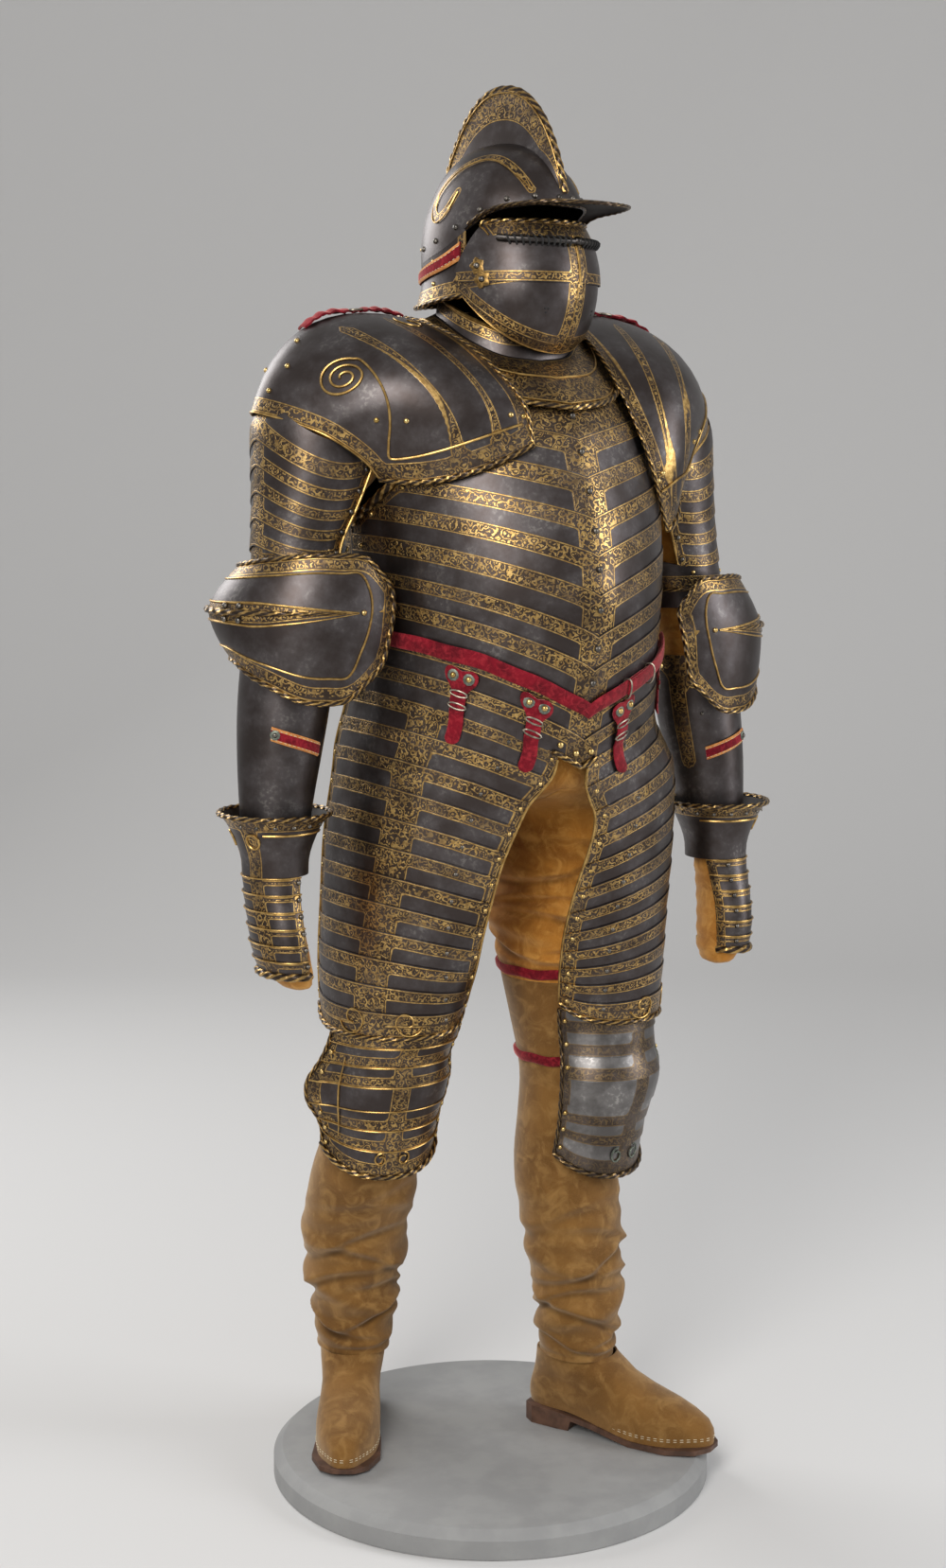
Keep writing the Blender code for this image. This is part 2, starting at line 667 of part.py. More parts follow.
GLOVE = table(
    "drop out y width depth",
    (-0.075, -0.0040, 0.010, 0.0271, 0.0271),
    (-0.030, 0.0000, 0.003, 0.0290, 0.0310),
    (0.000, 0.0000, 0.000, 0.0300, 0.0340),
    (0.035, 0.0000, -0.006, 0.0270, 0.0400),
    (0.075, -0.0020, -0.014, 0.0260, 0.0430),
    (0.110, -0.0060, -0.020, 0.0270, 0.0410),
    (0.135, -0.0120, -0.024, 0.0220, 0.0340),
    (0.146, -0.0160, -0.026, 0.0120, 0.0200),
    (0.149, -0.0170, -0.027, 0.0030, 0.0040),
)
GLOVE_TURNS = np.arange(10) * 360.0 / 10


def build_glove(side):
    z = WRIST[side]
    out, y = along(ARM[side], "out", z), along(ARM[side], "y", z)
    outer, inner = [], []
    for i, drop in enumerate(GLOVE["drop"]):
        out_here = out + GLOVE["out"][i]
        for rows, off, up in ((outer, 0.0, 0.0), (inner, -SUEDE, SUEDE)):
            lift = up if drop > 0.12 else 0.0
            wide = max(GLOVE["width"][i] + off, 0.0004)
            deep = max(GLOVE["depth"][i] + off, 0.0004)
            x = SIDES[side] * (out_here + wide * cosine(GLOVE_TURNS))
            rows.append(points(x, y + GLOVE["y"][i] - deep * sine(GLOVE_TURNS), z - drop + lift))
    for rows in (outer, inner):
        rows.append(np.repeat(rows[-1].mean(axis=0, keepdims=True), len(GLOVE_TURNS), axis=0))
    material = "suede"
    shell(f"glove_{side}", np.array(outer), np.array(inner), material, wrap=True, poles=("last",))


# The sleeve: a suede tube from the armhole down inside the plates

SLEEVE = {
    "right": table(
        "z out y radius",
        (0.895, 0.3225, -0.003, 0.0330),
        (0.980, 0.3140, -0.001, 0.0420),
        (1.080, 0.3023, 0.000, 0.0568),
        (1.160, 0.2910, 0.000, 0.0500),
        (1.230, 0.2830, 0.000, 0.0520),
        (1.290, 0.2760, -0.002, 0.0530),
        (1.330, 0.2480, -0.006, 0.0640),
        (1.375, 0.2280, -0.004, 0.0700),
        (1.410, 0.2200, 0.000, 0.0720),
    ),
    "left": table(
        "z out y radius",
        (0.865, 0.3475, -0.022, 0.0330),
        (0.940, 0.3400, -0.016, 0.0420),
        (1.040, 0.3283, -0.007, 0.0568),
        (1.120, 0.3170, -0.002, 0.0510),
        (1.200, 0.2950, 0.000, 0.0530),
        (1.290, 0.2760, -0.002, 0.0530),
        (1.330, 0.2480, -0.006, 0.0640),
        (1.375, 0.2280, -0.004, 0.0700),
        (1.410, 0.2200, 0.000, 0.0720),
    ),
}
SLEEVE_TURNS = np.arange(12) * 360.0 / 12


def build_sleeve(side):
    rows = SLEEVE[side]
    outer, inner = [], []
    for z in rows["z"][::-1]:
        for grid, off in ((outer, 0.0), (inner, -SUEDE)):
            reach = along(rows, "radius", z) + off
            x = SIDES[side] * (along(rows, "out", z) + reach * cosine(SLEEVE_TURNS))
            grid.append(points(x, along(rows, "y", z) - reach * sine(SLEEVE_TURNS), z))
    shell(f"sleeve_{side}", np.array(outer), np.array(inner), "suede", wrap=True)


# Gorget: a standing collar and a plate that spreads over the shoulders

NECK_Y = -0.020
GORGET = table(
    "angle in_radius in_z mid_radius mid_z out_radius out_z",
    (0.0, 0.0960, 1.4790, 0.1400, 1.4532, 0.1760, 1.4152),
    (30.0, 0.0950, 1.4855, 0.1350, 1.4620, 0.1640, 1.4300),
    (55.0, 0.0920, 1.5030, 0.1240, 1.4860, 0.1480, 1.4660),
    (90.0, 0.0880, 1.5310, 0.1080, 1.5270, 0.1300, 1.5190),
    (130.0, 0.0874, 1.5440, 0.1120, 1.5320, 0.1440, 1.5060),
    (180.0, 0.0910, 1.5480, 0.1200, 1.5240, 0.1660, 1.4640),
)
COLLAR_HEIGHT = table("angle rise", (0.0, 0.034), (60.0, 0.026), (90.0, 0.022), (130.0, 0.030), (180.0, 0.038))
GORGET_ANGLES = np.arange(24) * 360.0 / 24
GORGET_STEEL = 0.0015


def folded(angle):
    """The angle from the front, 0 to 180, on either side."""
    return np.abs((np.asarray(angle) + 180.0) % 360.0 - 180.0)


def gorget_ring(radius, z, angle, lift=0.0):
    return points(TORSO_X + radius * sine(angle), NECK_Y - radius * cosine(angle), z + lift)


def build_gorget():
    angle = GORGET_ANGLES
    half = folded(angle)
    rings = []
    for part in ("in", "mid", "out"):
        rings.append((along(GORGET, f"{part}_radius", half), along(GORGET, f"{part}_z", half)))
    outer = np.array([gorget_ring(r, z, angle) for r, z in rings])
    inner = np.array([gorget_ring(r - 0.0008, z, angle, -GORGET_STEEL * 1.3) for r, z in rings])
    shell("gorget_plate", outer, inner, "russet_steel", wrap=True)

    radius, z = rings[0]
    rise = along(COLLAR_HEIGHT, "rise", half)
    lifts = [(-0.0010, 0.0), (-0.0058, 1.0)]
    outer = np.array([gorget_ring(radius + off, z + SEAM + share * rise, angle) for off, share in lifts])
    inner = np.array([gorget_ring(radius + off - STEEL, z + SEAM + share * rise, angle) for off, share in lifts])
    shell("gorget_collar", outer, inner, "russet_steel", wrap=True)


# Helmet: turned to the wearer's left on the neck

HEAD_YAW = 15.0
HEAD = np.array([0.0, -0.035, 0.0])
FORWARD = np.array([math.sin(math.radians(HEAD_YAW)), -math.cos(math.radians(HEAD_YAW)), 0.0])
LEFTWARD = np.array([math.cos(math.radians(HEAD_YAW)), math.sin(math.radians(HEAD_YAW)), 0.0])
SKULL_WIDTH = 0.096
SKULL_LENGTH = 0.121
SKULL_BASE = 1.615
SKULL_TOP = 1.7556
HELMET_STEEL = 0.0020
SKULL_ANGLES = np.arange(18) * 360.0 / 18
BROW = table(
    "angle z",
    (0.0, 1.6690),
    (40.0, 1.6680),
    (62.0, 1.6600),
    (78.0, 1.6420),
    (95.0, 1.6220),
    (120.0, 1.6080),
    (180.0, 1.6000),
)


def head(forward, leftward, z):
    """Points in the helmet's own directions: forward, to the wearer's left, and up."""
    forward, leftward, z = np.broadcast_arrays(forward, leftward, z)
    flat = HEAD + forward[..., None] * FORWARD + leftward[..., None] * LEFTWARD
    return flat + z[..., None] * np.array([0.0, 0.0, 1.0])


def skull(angle, share, off=0.0):
    """Points on the skull's form: share runs from the rim (0) to the crown (1)."""
    low = along(BROW, "z", folded(angle))
    rise = np.clip((low - SKULL_BASE) / (SKULL_TOP - SKULL_BASE), -0.15, 0.9)
    start = np.degrees(np.arcsin(rise))
    tilt = start + (90.0 - start) * share
    spread = cosine(tilt) ** 0.9
    z = SKULL_BASE + (SKULL_TOP - SKULL_BASE + off) * sine(tilt)
    return head((SKULL_LENGTH + off) * spread * cosine(angle), (SKULL_WIDTH + off) * spread * sine(angle), z)


COMB_RISE = table(
    "along rise",
    (-0.119, 0.000),
    (-0.108, 0.030),
    (-0.085, 0.050),
    (-0.050, 0.066),
    (0.000, 0.0716),
    (0.045, 0.062),
    (0.075, 0.044),
    (0.098, 0.018),
    (0.108, 0.000),
)
COMB_HALF_FOOT = 0.0085
COMB_HALF_CREST = 0.0030


def comb_line(places, lift):
    """The comb's line over the skull at each place from back to front, lift times its full rise."""
    reach = np.clip(places / SKULL_LENGTH, -0.995, 0.995)
    crown = SKULL_BASE + (SKULL_TOP - SKULL_BASE) * np.sqrt(1 - np.abs(reach) ** 2.2)
    return crown - 0.0012 + lift * along(COMB_RISE, "rise", places)


def build_skull():
    shares = np.array([0.0, 0.14, 0.30, 0.48, 0.68, 0.86, 1.0])
    angle, share = np.meshgrid(SKULL_ANGLES, shares)
    outer, inner = skull(angle, share), skull(angle, share, -HELMET_STEEL)
    dome = shell("helmet_skull", outer, inner, "russet_steel", wrap=True, poles=("last",))
    places = np.linspace(-0.117, 0.106, 12)
    rings = []
    for place in places:
        foot, crest = (float(comb_line(np.array([place]), lift)[0]) for lift in (0.0, 1.0))
        crest = max(crest, foot + 0.0012)
        lean = (crest - foot) * 0.5
        section = [
            (COMB_HALF_FOOT, foot),
            (COMB_HALF_FOOT * 0.5, foot + lean * 0.7),
            (COMB_HALF_CREST, crest - 0.0006),
            (0.0, crest),
            (-COMB_HALF_CREST, crest - 0.0006),
            (-COMB_HALF_FOOT * 0.5, foot + lean * 0.7),
            (-COMB_HALF_FOOT, foot),
        ]
        rings.append([head(place, wide, z) for wide, z in section])
    rings = np.array(rings)
    count = rings.shape[1]
    faces = []
    for row in range(len(rings) - 1):
        for column in range(count):
            a, b = row * count + column, row * count + (column + 1) % count
            faces.append((a, b, b + count, a + count))
    faces.append(tuple(range(count)))
    faces.append(tuple(range((len(rings) - 1) * count, len(rings) * count)))
    fin = add("comb_cutter", rings.reshape(-1, 3), faces, "russet_steel")
    fin.hide_render = True
    fin.display_type = "WIRE"
    union = dome.modifiers.new("comb", "BOOLEAN")
    union.operation = "UNION"
    union.object = fin


PEAK = table(
    "angle reach",
    (-80.0, 0.0050),
    (-60.0, 0.0170),
    (-30.0, 0.0550),
    (0.0, 0.0760),
    (30.0, 0.0550),
    (60.0, 0.0170),
    (80.0, 0.0050),
)
PEAK_STEEL = 0.0020
PEAK_LIFT = 0.0016
PEAK_ARCH = 0.09
PEAK_DROP = 0.07


def build_peak():
    """The peak over the brow: its inner edge follows the skull's rim, its tip points forward and up."""
    angle = np.linspace(-80.0, 80.0, 9)
    outer, inner = [], []
    for share in (0.0, 0.5, 1.0):
        reach = along(PEAK, "reach", angle) * share
        base = skull(angle, 0.0, SEAM)
        ahead = np.stack([cosine(angle)[..., None] * FORWARD + sine(angle)[..., None] * LEFTWARD])[0]
        rim = base + ahead * reach[..., None]
        rim[:, 2] += PEAK_LIFT + reach * (PEAK_ARCH * math.sin(share * math.pi) - PEAK_DROP)
        outer.append(rim + np.array([0, 0, PEAK_STEEL]))
        inner.append(rim)
    shell("helmet_peak", np.array(outer), np.array(inner), "russet_steel")


NECK_GUARD = table(
    "angle low flare",
    (80.0, 1.5600, 0.000),
    (100.0, 1.5560, 0.000),
    (130.0, 1.5500, 0.006),
    (180.0, 1.5560, 0.012),
)
GUARD_ANGLES = np.linspace(80.0, 280.0, 11)
GUARD_ROWS = np.array([0.0, 0.12, 0.42, 1.0])
NAPE_ROWS = slice(1, 3)
GUARD_WAIST = 0.0015


def guard(share, off=0.0):
    """Points round the back of the neck: share runs from the skull's rim (0) to the flared edge (1)."""
    rim = skull(GUARD_ANGLES, 0.0, off)
    half = folded(GUARD_ANGLES)
    out = along(NECK_GUARD, "flare", half) * share**2 - GUARD_WAIST * np.sin(share * math.pi)
    away = cosine(GUARD_ANGLES)[:, None] * FORWARD + sine(GUARD_ANGLES)[:, None] * LEFTWARD
    row = rim + away * out[:, None]
    row[:, 2] -= SEAM
    row[:, 2] += (along(NECK_GUARD, "low", half) - row[:, 2]) * share
    return row


def build_neck_guard():
    """The plate round the back of the neck under the skull's rim, and the strap on it."""
    outer = np.array([guard(share) for share in GUARD_ROWS])
    inner = np.array([guard(share, -HELMET_STEEL) for share in GUARD_ROWS])
    shell("helmet_neck_guard", outer, inner, "russet_steel")
    low = np.array([guard(share, STRAP_LIFT) for share in GUARD_ROWS[NAPE_ROWS]])
    high = np.array([guard(share, STRAP_LIFT + STRAP) for share in GUARD_ROWS[NAPE_ROWS]])
    shell("nape_strap", high, low, "red_velvet")


# The falling face defence: three plates turned about one axis through the cheeks, nested in each other

CHEEK_AXIS = 1.5760
BUFFE_STEEL = 0.0013
BUFFE = table(
    "number reach half_width first last",
    (1, 0.1318, 0.1007, 37.0, -1.0),
    (2, 0.1284, 0.0982, 6.0, -38.0),
    (3, 0.1250, 0.0960, -30.0, -45.0),
)
BUFFE_LATERALS = np.array([-90.0, -74, -58, -40, -20, 0, 20, 40, 58, 74, 90])
CHEEK = 0.016
SIGHT_HEIGHT = 0.074


def buffe(turn, lateral, reach, half_width):
    """Points turned about the cheek axis: turn is the height angle, lateral runs from cheek to cheek."""
    distance = CHEEK + (reach - CHEEK) * np.abs(cosine(lateral)) ** 0.86
    wide = half_width * sine(lateral)
    return head(distance * cosine(turn), wide, CHEEK_AXIS + distance * sine(turn))


def build_buffe():
    names = {1: "buffe_upper", 2: "buffe_middle", 3: "buffe_lower"}
    pivot = tuple(HEAD + np.array([0.0, 0.0, CHEEK_AXIS]))
    for i, number in enumerate(BUFFE["number"]):
        reach, half_width = BUFFE["reach"][i], BUFFE["half_width"][i]
        first, last = BUFFE["first"][i], BUFFE["last"][i]
        distance = CHEEK + (reach - CHEEK) * np.abs(cosine(BUFFE_LATERALS)) ** 0.86
        top = np.full(BUFFE_LATERALS.shape, first)
        if number == 1:
            top = np.degrees(np.arcsin(np.clip(SIGHT_HEIGHT / distance, -1.0, 0.86)))
        grids = []
        for off in (0.0, BUFFE_STEEL):
            rows = []
            for share in np.linspace(0.0, 1.0, 5 if number == 1 else 4):
                turn = top + (last - top) * share
                rows.append(buffe(turn, BUFFE_LATERALS, reach - off, half_width - off))
            grids.append(np.array(rows))
        shell(names[int(number)], grids[0], grids[1], "russet_steel", origin=pivot)


# Legs: the axis and the cloth's half sizes at each height

LEG = {
    "right": table(
        "z out y half_width half_depth",
        (0.105, 0.129, 0.166, 0.047, 0.056),
        (0.180, 0.131, 0.160, 0.056, 0.060),
        (0.270, 0.135, 0.146, 0.070, 0.068),
        (0.390, 0.141, 0.100, 0.073, 0.074),
        (0.460, 0.136, 0.072, 0.066, 0.070),
        (0.5175, 0.128, 0.050, 0.064, 0.068),
        (0.600, 0.126, 0.038, 0.070, 0.076),
        (0.655, 0.126, 0.032, 0.075, 0.082),
        (0.720, 0.120, 0.026, 0.084, 0.100),
        (0.800, 0.112, 0.018, 0.090, 0.116),
        (0.860, 0.106, 0.010, 0.096, 0.128),
        (0.905, 0.103, 0.006, 0.098, 0.140),
    ),
    "left": table(
        "z out y half_width half_depth",
        (0.105, 0.132, -0.015, 0.047, 0.056),
        (0.180, 0.130, -0.019, 0.056, 0.060),
        (0.290, 0.120, -0.020, 0.066, 0.068),
        (0.390, 0.114, -0.012, 0.071, 0.074),
        (0.460, 0.113, -0.016, 0.067, 0.070),
        (0.512, 0.113, -0.018, 0.065, 0.070),
        (0.600, 0.104, -0.014, 0.070, 0.076),
        (0.655, 0.100, -0.010, 0.076, 0.082),
        (0.720, 0.102, -0.004, 0.084, 0.100),
        (0.800, 0.104, 0.002, 0.090, 0.116),
        (0.860, 0.104, 0.004, 0.096, 0.128),
        (0.905, 0.103, 0.006, 0.098, 0.140),
    ),
}
BOOT_FOLDS = table(
    "z depth facing lean width",
    (0.128, 0.0050, 20.0, 0.010, 0.011),
    (0.165, 0.0070, -60.0, 0.016, 0.013),
    (0.205, 0.0085, 60.0, 0.020, 0.014),
    (0.245, 0.0080, -30.0, -0.018, 0.015),
    (0.290, 0.0060, 110.0, 0.022, 0.016),
    (0.335, 0.0040, 0.0, -0.020, 0.018),
)
BREECHES_FOLDS = table(
    "z depth facing lean width",
    (0.690, 0.0080, -20.0, 0.014, 0.013),
    (0.726, 0.0100, -70.0, -0.016, 0.014),
    (0.764, 0.0090, 10.0, 0.020, 0.015),
    (0.806, 0.0070, -50.0, -0.020, 0.016),
    (0.850, 0.0045, -20.0, 0.018, 0.018),
)


def crumple(folds, angle, z):
    """How far the cloth stands out at each point: a sum of leaning ridges with their own place and depth."""
    total = np.zeros(np.broadcast(angle, z).shape)
    for i in range(len(folds["z"])):
        turned = angle - folds["facing"][i]
        line = folds["z"][i] + folds["lean"][i] * sine(turned)
        ridge = np.exp(-(((z - line) / folds["width"][i]) ** 2))
        total = total + folds["depth"][i] * ridge * (0.62 + 0.38 * cosine(turned))
    return total


def leg(side, angle, z, off=0.0):
    """Points round a leg. angle runs from its front (0) over its outer side (90)."""
    rows = LEG[side]
    wide, deep = along(rows, "half_width", z) + off, along(rows, "half_depth", z) + off
    x = SIDES[side] * (along(rows, "out", z) + wide * sine(angle))
    return points(x, along(rows, "y", z) - deep * cosine(angle), z)


LEG_ANGLES = np.arange(12) * 360.0 / 12
BOOT_TOP = 0.6554
ANKLE = 0.112
GARTERS = {"upper": (0.674, 0.660), "lower": (0.552, 0.538)}


def build_shaft(side):
    low = np.linspace(0.350, ANKLE, 12)
    heights = np.concatenate([[BOOT_TOP], GARTERS["lower"], [0.470, 0.400], low])
    angle, z = np.meshgrid(LEG_ANGLES, heights)
    bulge = crumple(BOOT_FOLDS, angle, z) * np.clip((z - ANKLE) / 0.012, 0.0, 1.0)
    outer, inner = leg(side, angle, z, bulge), leg(side, angle, z, bulge - SUEDE)
    shell(f"boot_shaft_{side}", outer, inner, "boot_suede", wrap=True)


# Feet: rings from the sole to the ankle, pointed along the foot

FOOT_TURN = 31.0
SOLE = table(
    "along half_width top low",
    (-0.070, 0.018, 0.0250, 0.0003),
    (-0.060, 0.030, 0.0250, 0.0003),
    (-0.020, 0.034, 0.0250, 0.0003),
    (0.004, 0.034, 0.0245, 0.0003),
    (0.008, 0.034, 0.0240, 0.0150),
    (0.050, 0.036, 0.0160, 0.0085),
    (0.085, 0.043, 0.0105, 0.0003),
    (0.140, 0.049, 0.0080, 0.0003),
    (0.180, 0.044, 0.0090, 0.0015),
    (0.206, 0.028, 0.0105, 0.0035),
    (0.213, 0.012, 0.0112, 0.0045),
)
FOOT = table(
    "rise heel toe half_width",
    (0.000, -0.069, 0.2110, 0.0480),
    (0.120, -0.071, 0.2110, 0.0490),
    (0.300, -0.070, 0.2040, 0.0480),
    (0.500, -0.065, 0.1650, 0.0430),
    (0.720, -0.060, 0.0980, 0.0430),
    (1.000, -0.056, 0.0580, 0.0470),
)
FOOT_ANGLES = np.arange(14) * 360.0 / 14
HEEL_FRONT = (0.004, 0.008)


def foot_frame(side):
    """The ankle's place over the base, and the foot's forward and outward directions."""
    rows = LEG[side]
    sign = SIDES[side]
    centre = np.array([sign * along(rows, "out", ANKLE), float(along(rows, "y", ANKLE)), 0.0])
    turn = math.radians(FOOT_TURN)
    forward = np.array([sign * math.sin(turn), -math.cos(turn), 0.0])
    outward = np.array([sign * math.cos(turn), math.sin(turn), 0.0])
    return centre, forward, outward


def sole_stations():
    """The places along the foot where the lowest ring of the upper has its corners, from heel to toe."""
    heel, toe = FOOT["heel"][0], FOOT["toe"][0]
    return np.unique(np.round((heel + toe) / 2 + (toe - heel) / 2 * cosine(FOOT_ANGLES), 6))


def sole_top(place):
    """The height of the sole's upper face, which is flat between its stations."""
    stations = sole_stations()
    return np.interp(place, stations, along(SOLE, "top", stations))


def foot_ring(side, rise, off=0.0):
    """One ring of the upper: rise 0 on the sole, 1 at the ankle."""
    centre, forward, outward = foot_frame(side)
    heel, toe = along(FOOT, "heel", rise) - off, along(FOOT, "toe", rise) + off
    middle, half = (heel + toe) / 2, (toe - heel) / 2
    place = middle + half * cosine(FOOT_ANGLES)
    swell = np.abs(sine(FOOT_ANGLES)) ** 0.85 * np.sign(sine(FOOT_ANGLES))
    sole = along(SOLE, "half_width", np.clip(place, -0.045, 0.190)) - 0.0025
    ankle = along(FOOT, "half_width", rise)
    share = np.clip(rise * 1.35, 0.0, 1.0)
    wide = sole * (1 - share) + ankle * share + off
    floor = sole_top(place) + SEAM
    z = floor + (ANKLE - 0.0005 - floor) * rise
    flat = centre + place[..., None] * forward + (wide * swell)[..., None] * outward
    return flat + z[..., None] * np.array([0.0, 0.0, 1.0])


def build_foot(side):
    rises = FOOT["rise"][::-1]
    outer = np.array([foot_ring(side, rise) for rise in rises])
    inner = np.array([foot_ring(side, rise, -SUEDE) for rise in rises])
    shell(f"boot_foot_{side}", outer, inner, "boot_suede", wrap=True)

    centre, forward, outward = foot_frame(side)
    across = np.array([-1.0, 0.0, 1.0])
    upright = np.array([0.0, 0.0, 1.0])
    stations = np.sort(np.concatenate([sole_stations(), HEEL_FRONT, [SOLE["along"][0], SOLE["along"][-1]]]))
    top, low = [], []
    for place in stations:
        half = np.interp(place, SOLE["along"], SOLE["half_width"])
        flat = centre + place * forward + (across * half)[:, None] * outward
        top.append(flat + upright * sole_top(place))
        low.append(flat + upright * np.interp(place, SOLE["along"], SOLE["low"]))
    shell(f"boot_sole_{side}", np.array(top), np.array(low), "sole_leather")


# Breeches: one piece for each leg, from the waist to above the knee, with an open seam inside

TRUNK = table(
    "z half_width front back",
    (0.850, 0.196, 0.178, 0.168),
    (0.905, 0.198, 0.186, 0.170),
    (0.960, 0.196, 0.194, 0.166),
    (1.020, 0.194, 0.198, 0.156),
    (1.075, 0.1990, 0.202, 0.156),
)
BREECHES_TOP = 1.075
BREECHES_HEM = 0.656
CROTCH_TOP = 0.945
CROTCH_LOW = 0.868
BREECHES_COLUMNS = np.linspace(0.0, 1.0, 13)


def build_breeches(side):
    sign = SIDES[side]
    low = np.concatenate([np.linspace(CROTCH_LOW - 0.016, 0.694, 9), GARTERS["upper"], [BREECHES_HEM]])
    heights = np.concatenate([[BREECHES_TOP, 1.020, CROTCH_TOP, 0.920, 0.895, CROTCH_LOW], low])
    grids = ([], [])
    share = BREECHES_COLUMNS
    for z in heights:
        blend = np.clip((CROTCH_TOP - z) / (CROTCH_TOP - CROTCH_LOW), 0.0, 1.0)
        blend = blend * blend * (3 - 2 * blend)
        round_trunk = share * 180.0
        round_leg = -90.0 + share * 360.0
        loose = np.clip((z - GARTERS["upper"][0]) / 0.02, 0.0, 1.0) * blend
        bulge = crumple(BREECHES_FOLDS, round_leg, np.full(share.shape, z)) * loose
        for rows, off in zip(grids, (0.0, -SUEDE)):
            wide = along(TRUNK, "half_width", z) + off
            ahead = cosine(round_trunk)
            deep = np.where(ahead > 0, along(TRUNK, "front", z), along(TRUNK, "back", z)) + off
            trunk = points(sign * wide * sine(round_trunk), -deep * ahead, np.full(share.shape, z))
            thigh = leg(side, round_leg, np.full(share.shape, z), bulge + off)
            row = trunk * (1 - blend) + thigh * blend
            row[:, 0] = sign * np.maximum(sign * row[:, 0], SEAM / 2)
            rows.append(row)
    for rows in grids:
        for row in rows:
            open_seam(row, sign)
    shell(f"breeches_{side}", np.array(grids[0]), np.array(grids[1]), "suede")


def open_seam(row, sign):
    """Parts the first and last points of a row by the seam's gap, where the two edges meet."""
    gap = row[0] - row[-1]
    if np.linalg.norm(gap) < 4 * SEAM:
        row[0, 1] -= 2 * SEAM
        row[-1, 1] += 2 * SEAM


# Poleyns: knee plates under the hems, with a wing on the outer side

POLEYN = {
    "right": table(
        "z out y half_width half_depth",
        (0.392, 0.146, 0.074, 0.0780, 0.0830),
        (0.440, 0.146, 0.062, 0.0775, 0.0830),
        (0.500, 0.146, 0.050, 0.0800, 0.0880),
        (0.530, 0.146, 0.044, 0.0830, 0.0930),
        (0.570, 0.144, 0.034, 0.0830, 0.0920),
        (0.600, 0.1405, 0.0240, 0.0854, 0.0986),
        (0.625, 0.1390, 0.0220, 0.0865, 0.1001),
    ),
    "left": table(
        "z out y half_width half_depth",
        (0.375, 0.124, -0.026, 0.0780, 0.0830),
        (0.430, 0.128, -0.036, 0.0775, 0.0830),
        (0.490, 0.132, -0.046, 0.0800, 0.0880),
        (0.520, 0.133, -0.050, 0.0830, 0.0930),
        (0.570, 0.134, -0.044, 0.0830, 0.0920),
        (0.600, 0.1355, -0.0360, 0.0852, 0.0984),
        (0.625, 0.1350, -0.0350, 0.0863, 0.0999),
    ),
}
POLEYN_EDGES = {
    "right": (0.622, 0.590, 0.562, 0.535, 0.500, 0.470, 0.440, 0.402),
    "left": (0.622, 0.590, 0.560, 0.528, 0.490, 0.460, 0.430, 0.386),
}
POLEYN_PROUD = (TUCKED, PROUD, PROUD, 0.006, 0.006, PROUD, PROUD, PROUD)
POLEYN_ANGLES = np.array([-62.0, -44, -24, -4, 18, 40, 62, 78, 92])
WING = 0.022


def poleyn(side, angle, z, off=0.0):
    rows = POLEYN[side]
    wide, deep = along(rows, "half_width", z) + off, along(rows, "half_depth", z) + off
    x = SIDES[side] * (along(rows, "out", z) + wide * sine(angle))
    return points(x, along(rows, "y", z) - deep * cosine(angle), z)


def build_poleyn(side):
    edges = POLEYN_EDGES[side]
    middle = 12.0
    columns = (POLEYN_ANGLES - middle) / 80.0
    outer, inner = [], []
    for i, line in enumerate(edges):
        share = i / (len(edges) - 1)
        wing = WING * np.clip((POLEYN_ANGLES - 70.0) / 22.0, 0.0, 1.0) * math.exp(-(((i - 3.5) / 1.6) ** 2))
        z = line + (0.040 * np.abs(columns) ** 2.2) * share**4
        for side_of_edge in ((0,) if i in (0, len(edges) - 1) else (1, -1)):
            proud = POLEYN_PROUD[i] + (0.0012 if side_of_edge < 0 else 0.0)
            height = z + side_of_edge * STEP
            outer.append(poleyn(side, POLEYN_ANGLES, height, proud + wing))
            inner.append(poleyn(side, POLEYN_ANGLES, height, proud + wing - 0.0032))
    shell(f"poleyn_{side}", np.array(outer), np.array(inner), "russet_steel")


def build_garters(side):
    for place, rows in GARTERS.items():
        start = SEAM * 2
        outer = np.array([leg(side, LEG_ANGLES, height, start + STRAP) for height in rows])
        inner = np.array([leg(side, LEG_ANGLES, height, start) for height in rows])
        shell(f"garter_{place}_{side}", outer, inner, "red_velvet", wrap=True)


def build_base():
    """The round base: a disc with a broad chamfer round its top."""
    angle = np.arange(BASE_SIDES) * 360.0 / BASE_SIDES
    rings = (
        (BASE_RADIUS, -BASE_HEIGHT),
        (BASE_RADIUS, -BASE_CHAMFER),
        (BASE_RADIUS - BASE_CHAMFER, 0.0),
    )
    corners = np.concatenate([points(r * sine(angle), -r * cosine(angle), z) for r, z in rings])
    faces = [tuple(range(BASE_SIDES)), tuple(range(2 * BASE_SIDES, 3 * BASE_SIDES))]
    for ring in range(len(rings) - 1):
        for i in range(BASE_SIDES):
            a, b = ring * BASE_SIDES + i, ring * BASE_SIDES + (i + 1) % BASE_SIDES
            faces.append((a, b, b + BASE_SIDES, a + BASE_SIDES))
    add("base_disc", corners, faces, "base_paint")


build_base()
build_torso()
build_belt()
build_gorget()
build_skull()
build_peak()
build_neck_guard()
build_buffe()
for number, sign, angle, length in zip(*STRAPS.values()):
    build_tasset_strap(int(number), int(sign), angle, length)
for side in SIDES:
    build_tasset(side)
    build_pauldron(side)
    build_arm_lames(side)
    build_forearm(side)
    build_gauntlet(side)
    build_glove(side)
    build_sleeve(side)
    build_shaft(side)
    build_foot(side)
    build_breeches(side)
    build_poleyn(side)
    build_garters(side)
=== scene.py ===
"""The suit of field armour's looks: its plates, gilding, cloth and leather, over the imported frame.

Units are metres and +Z is up. The wearer faces -Y, so the wearer's right is -X.
"""

import json
import math

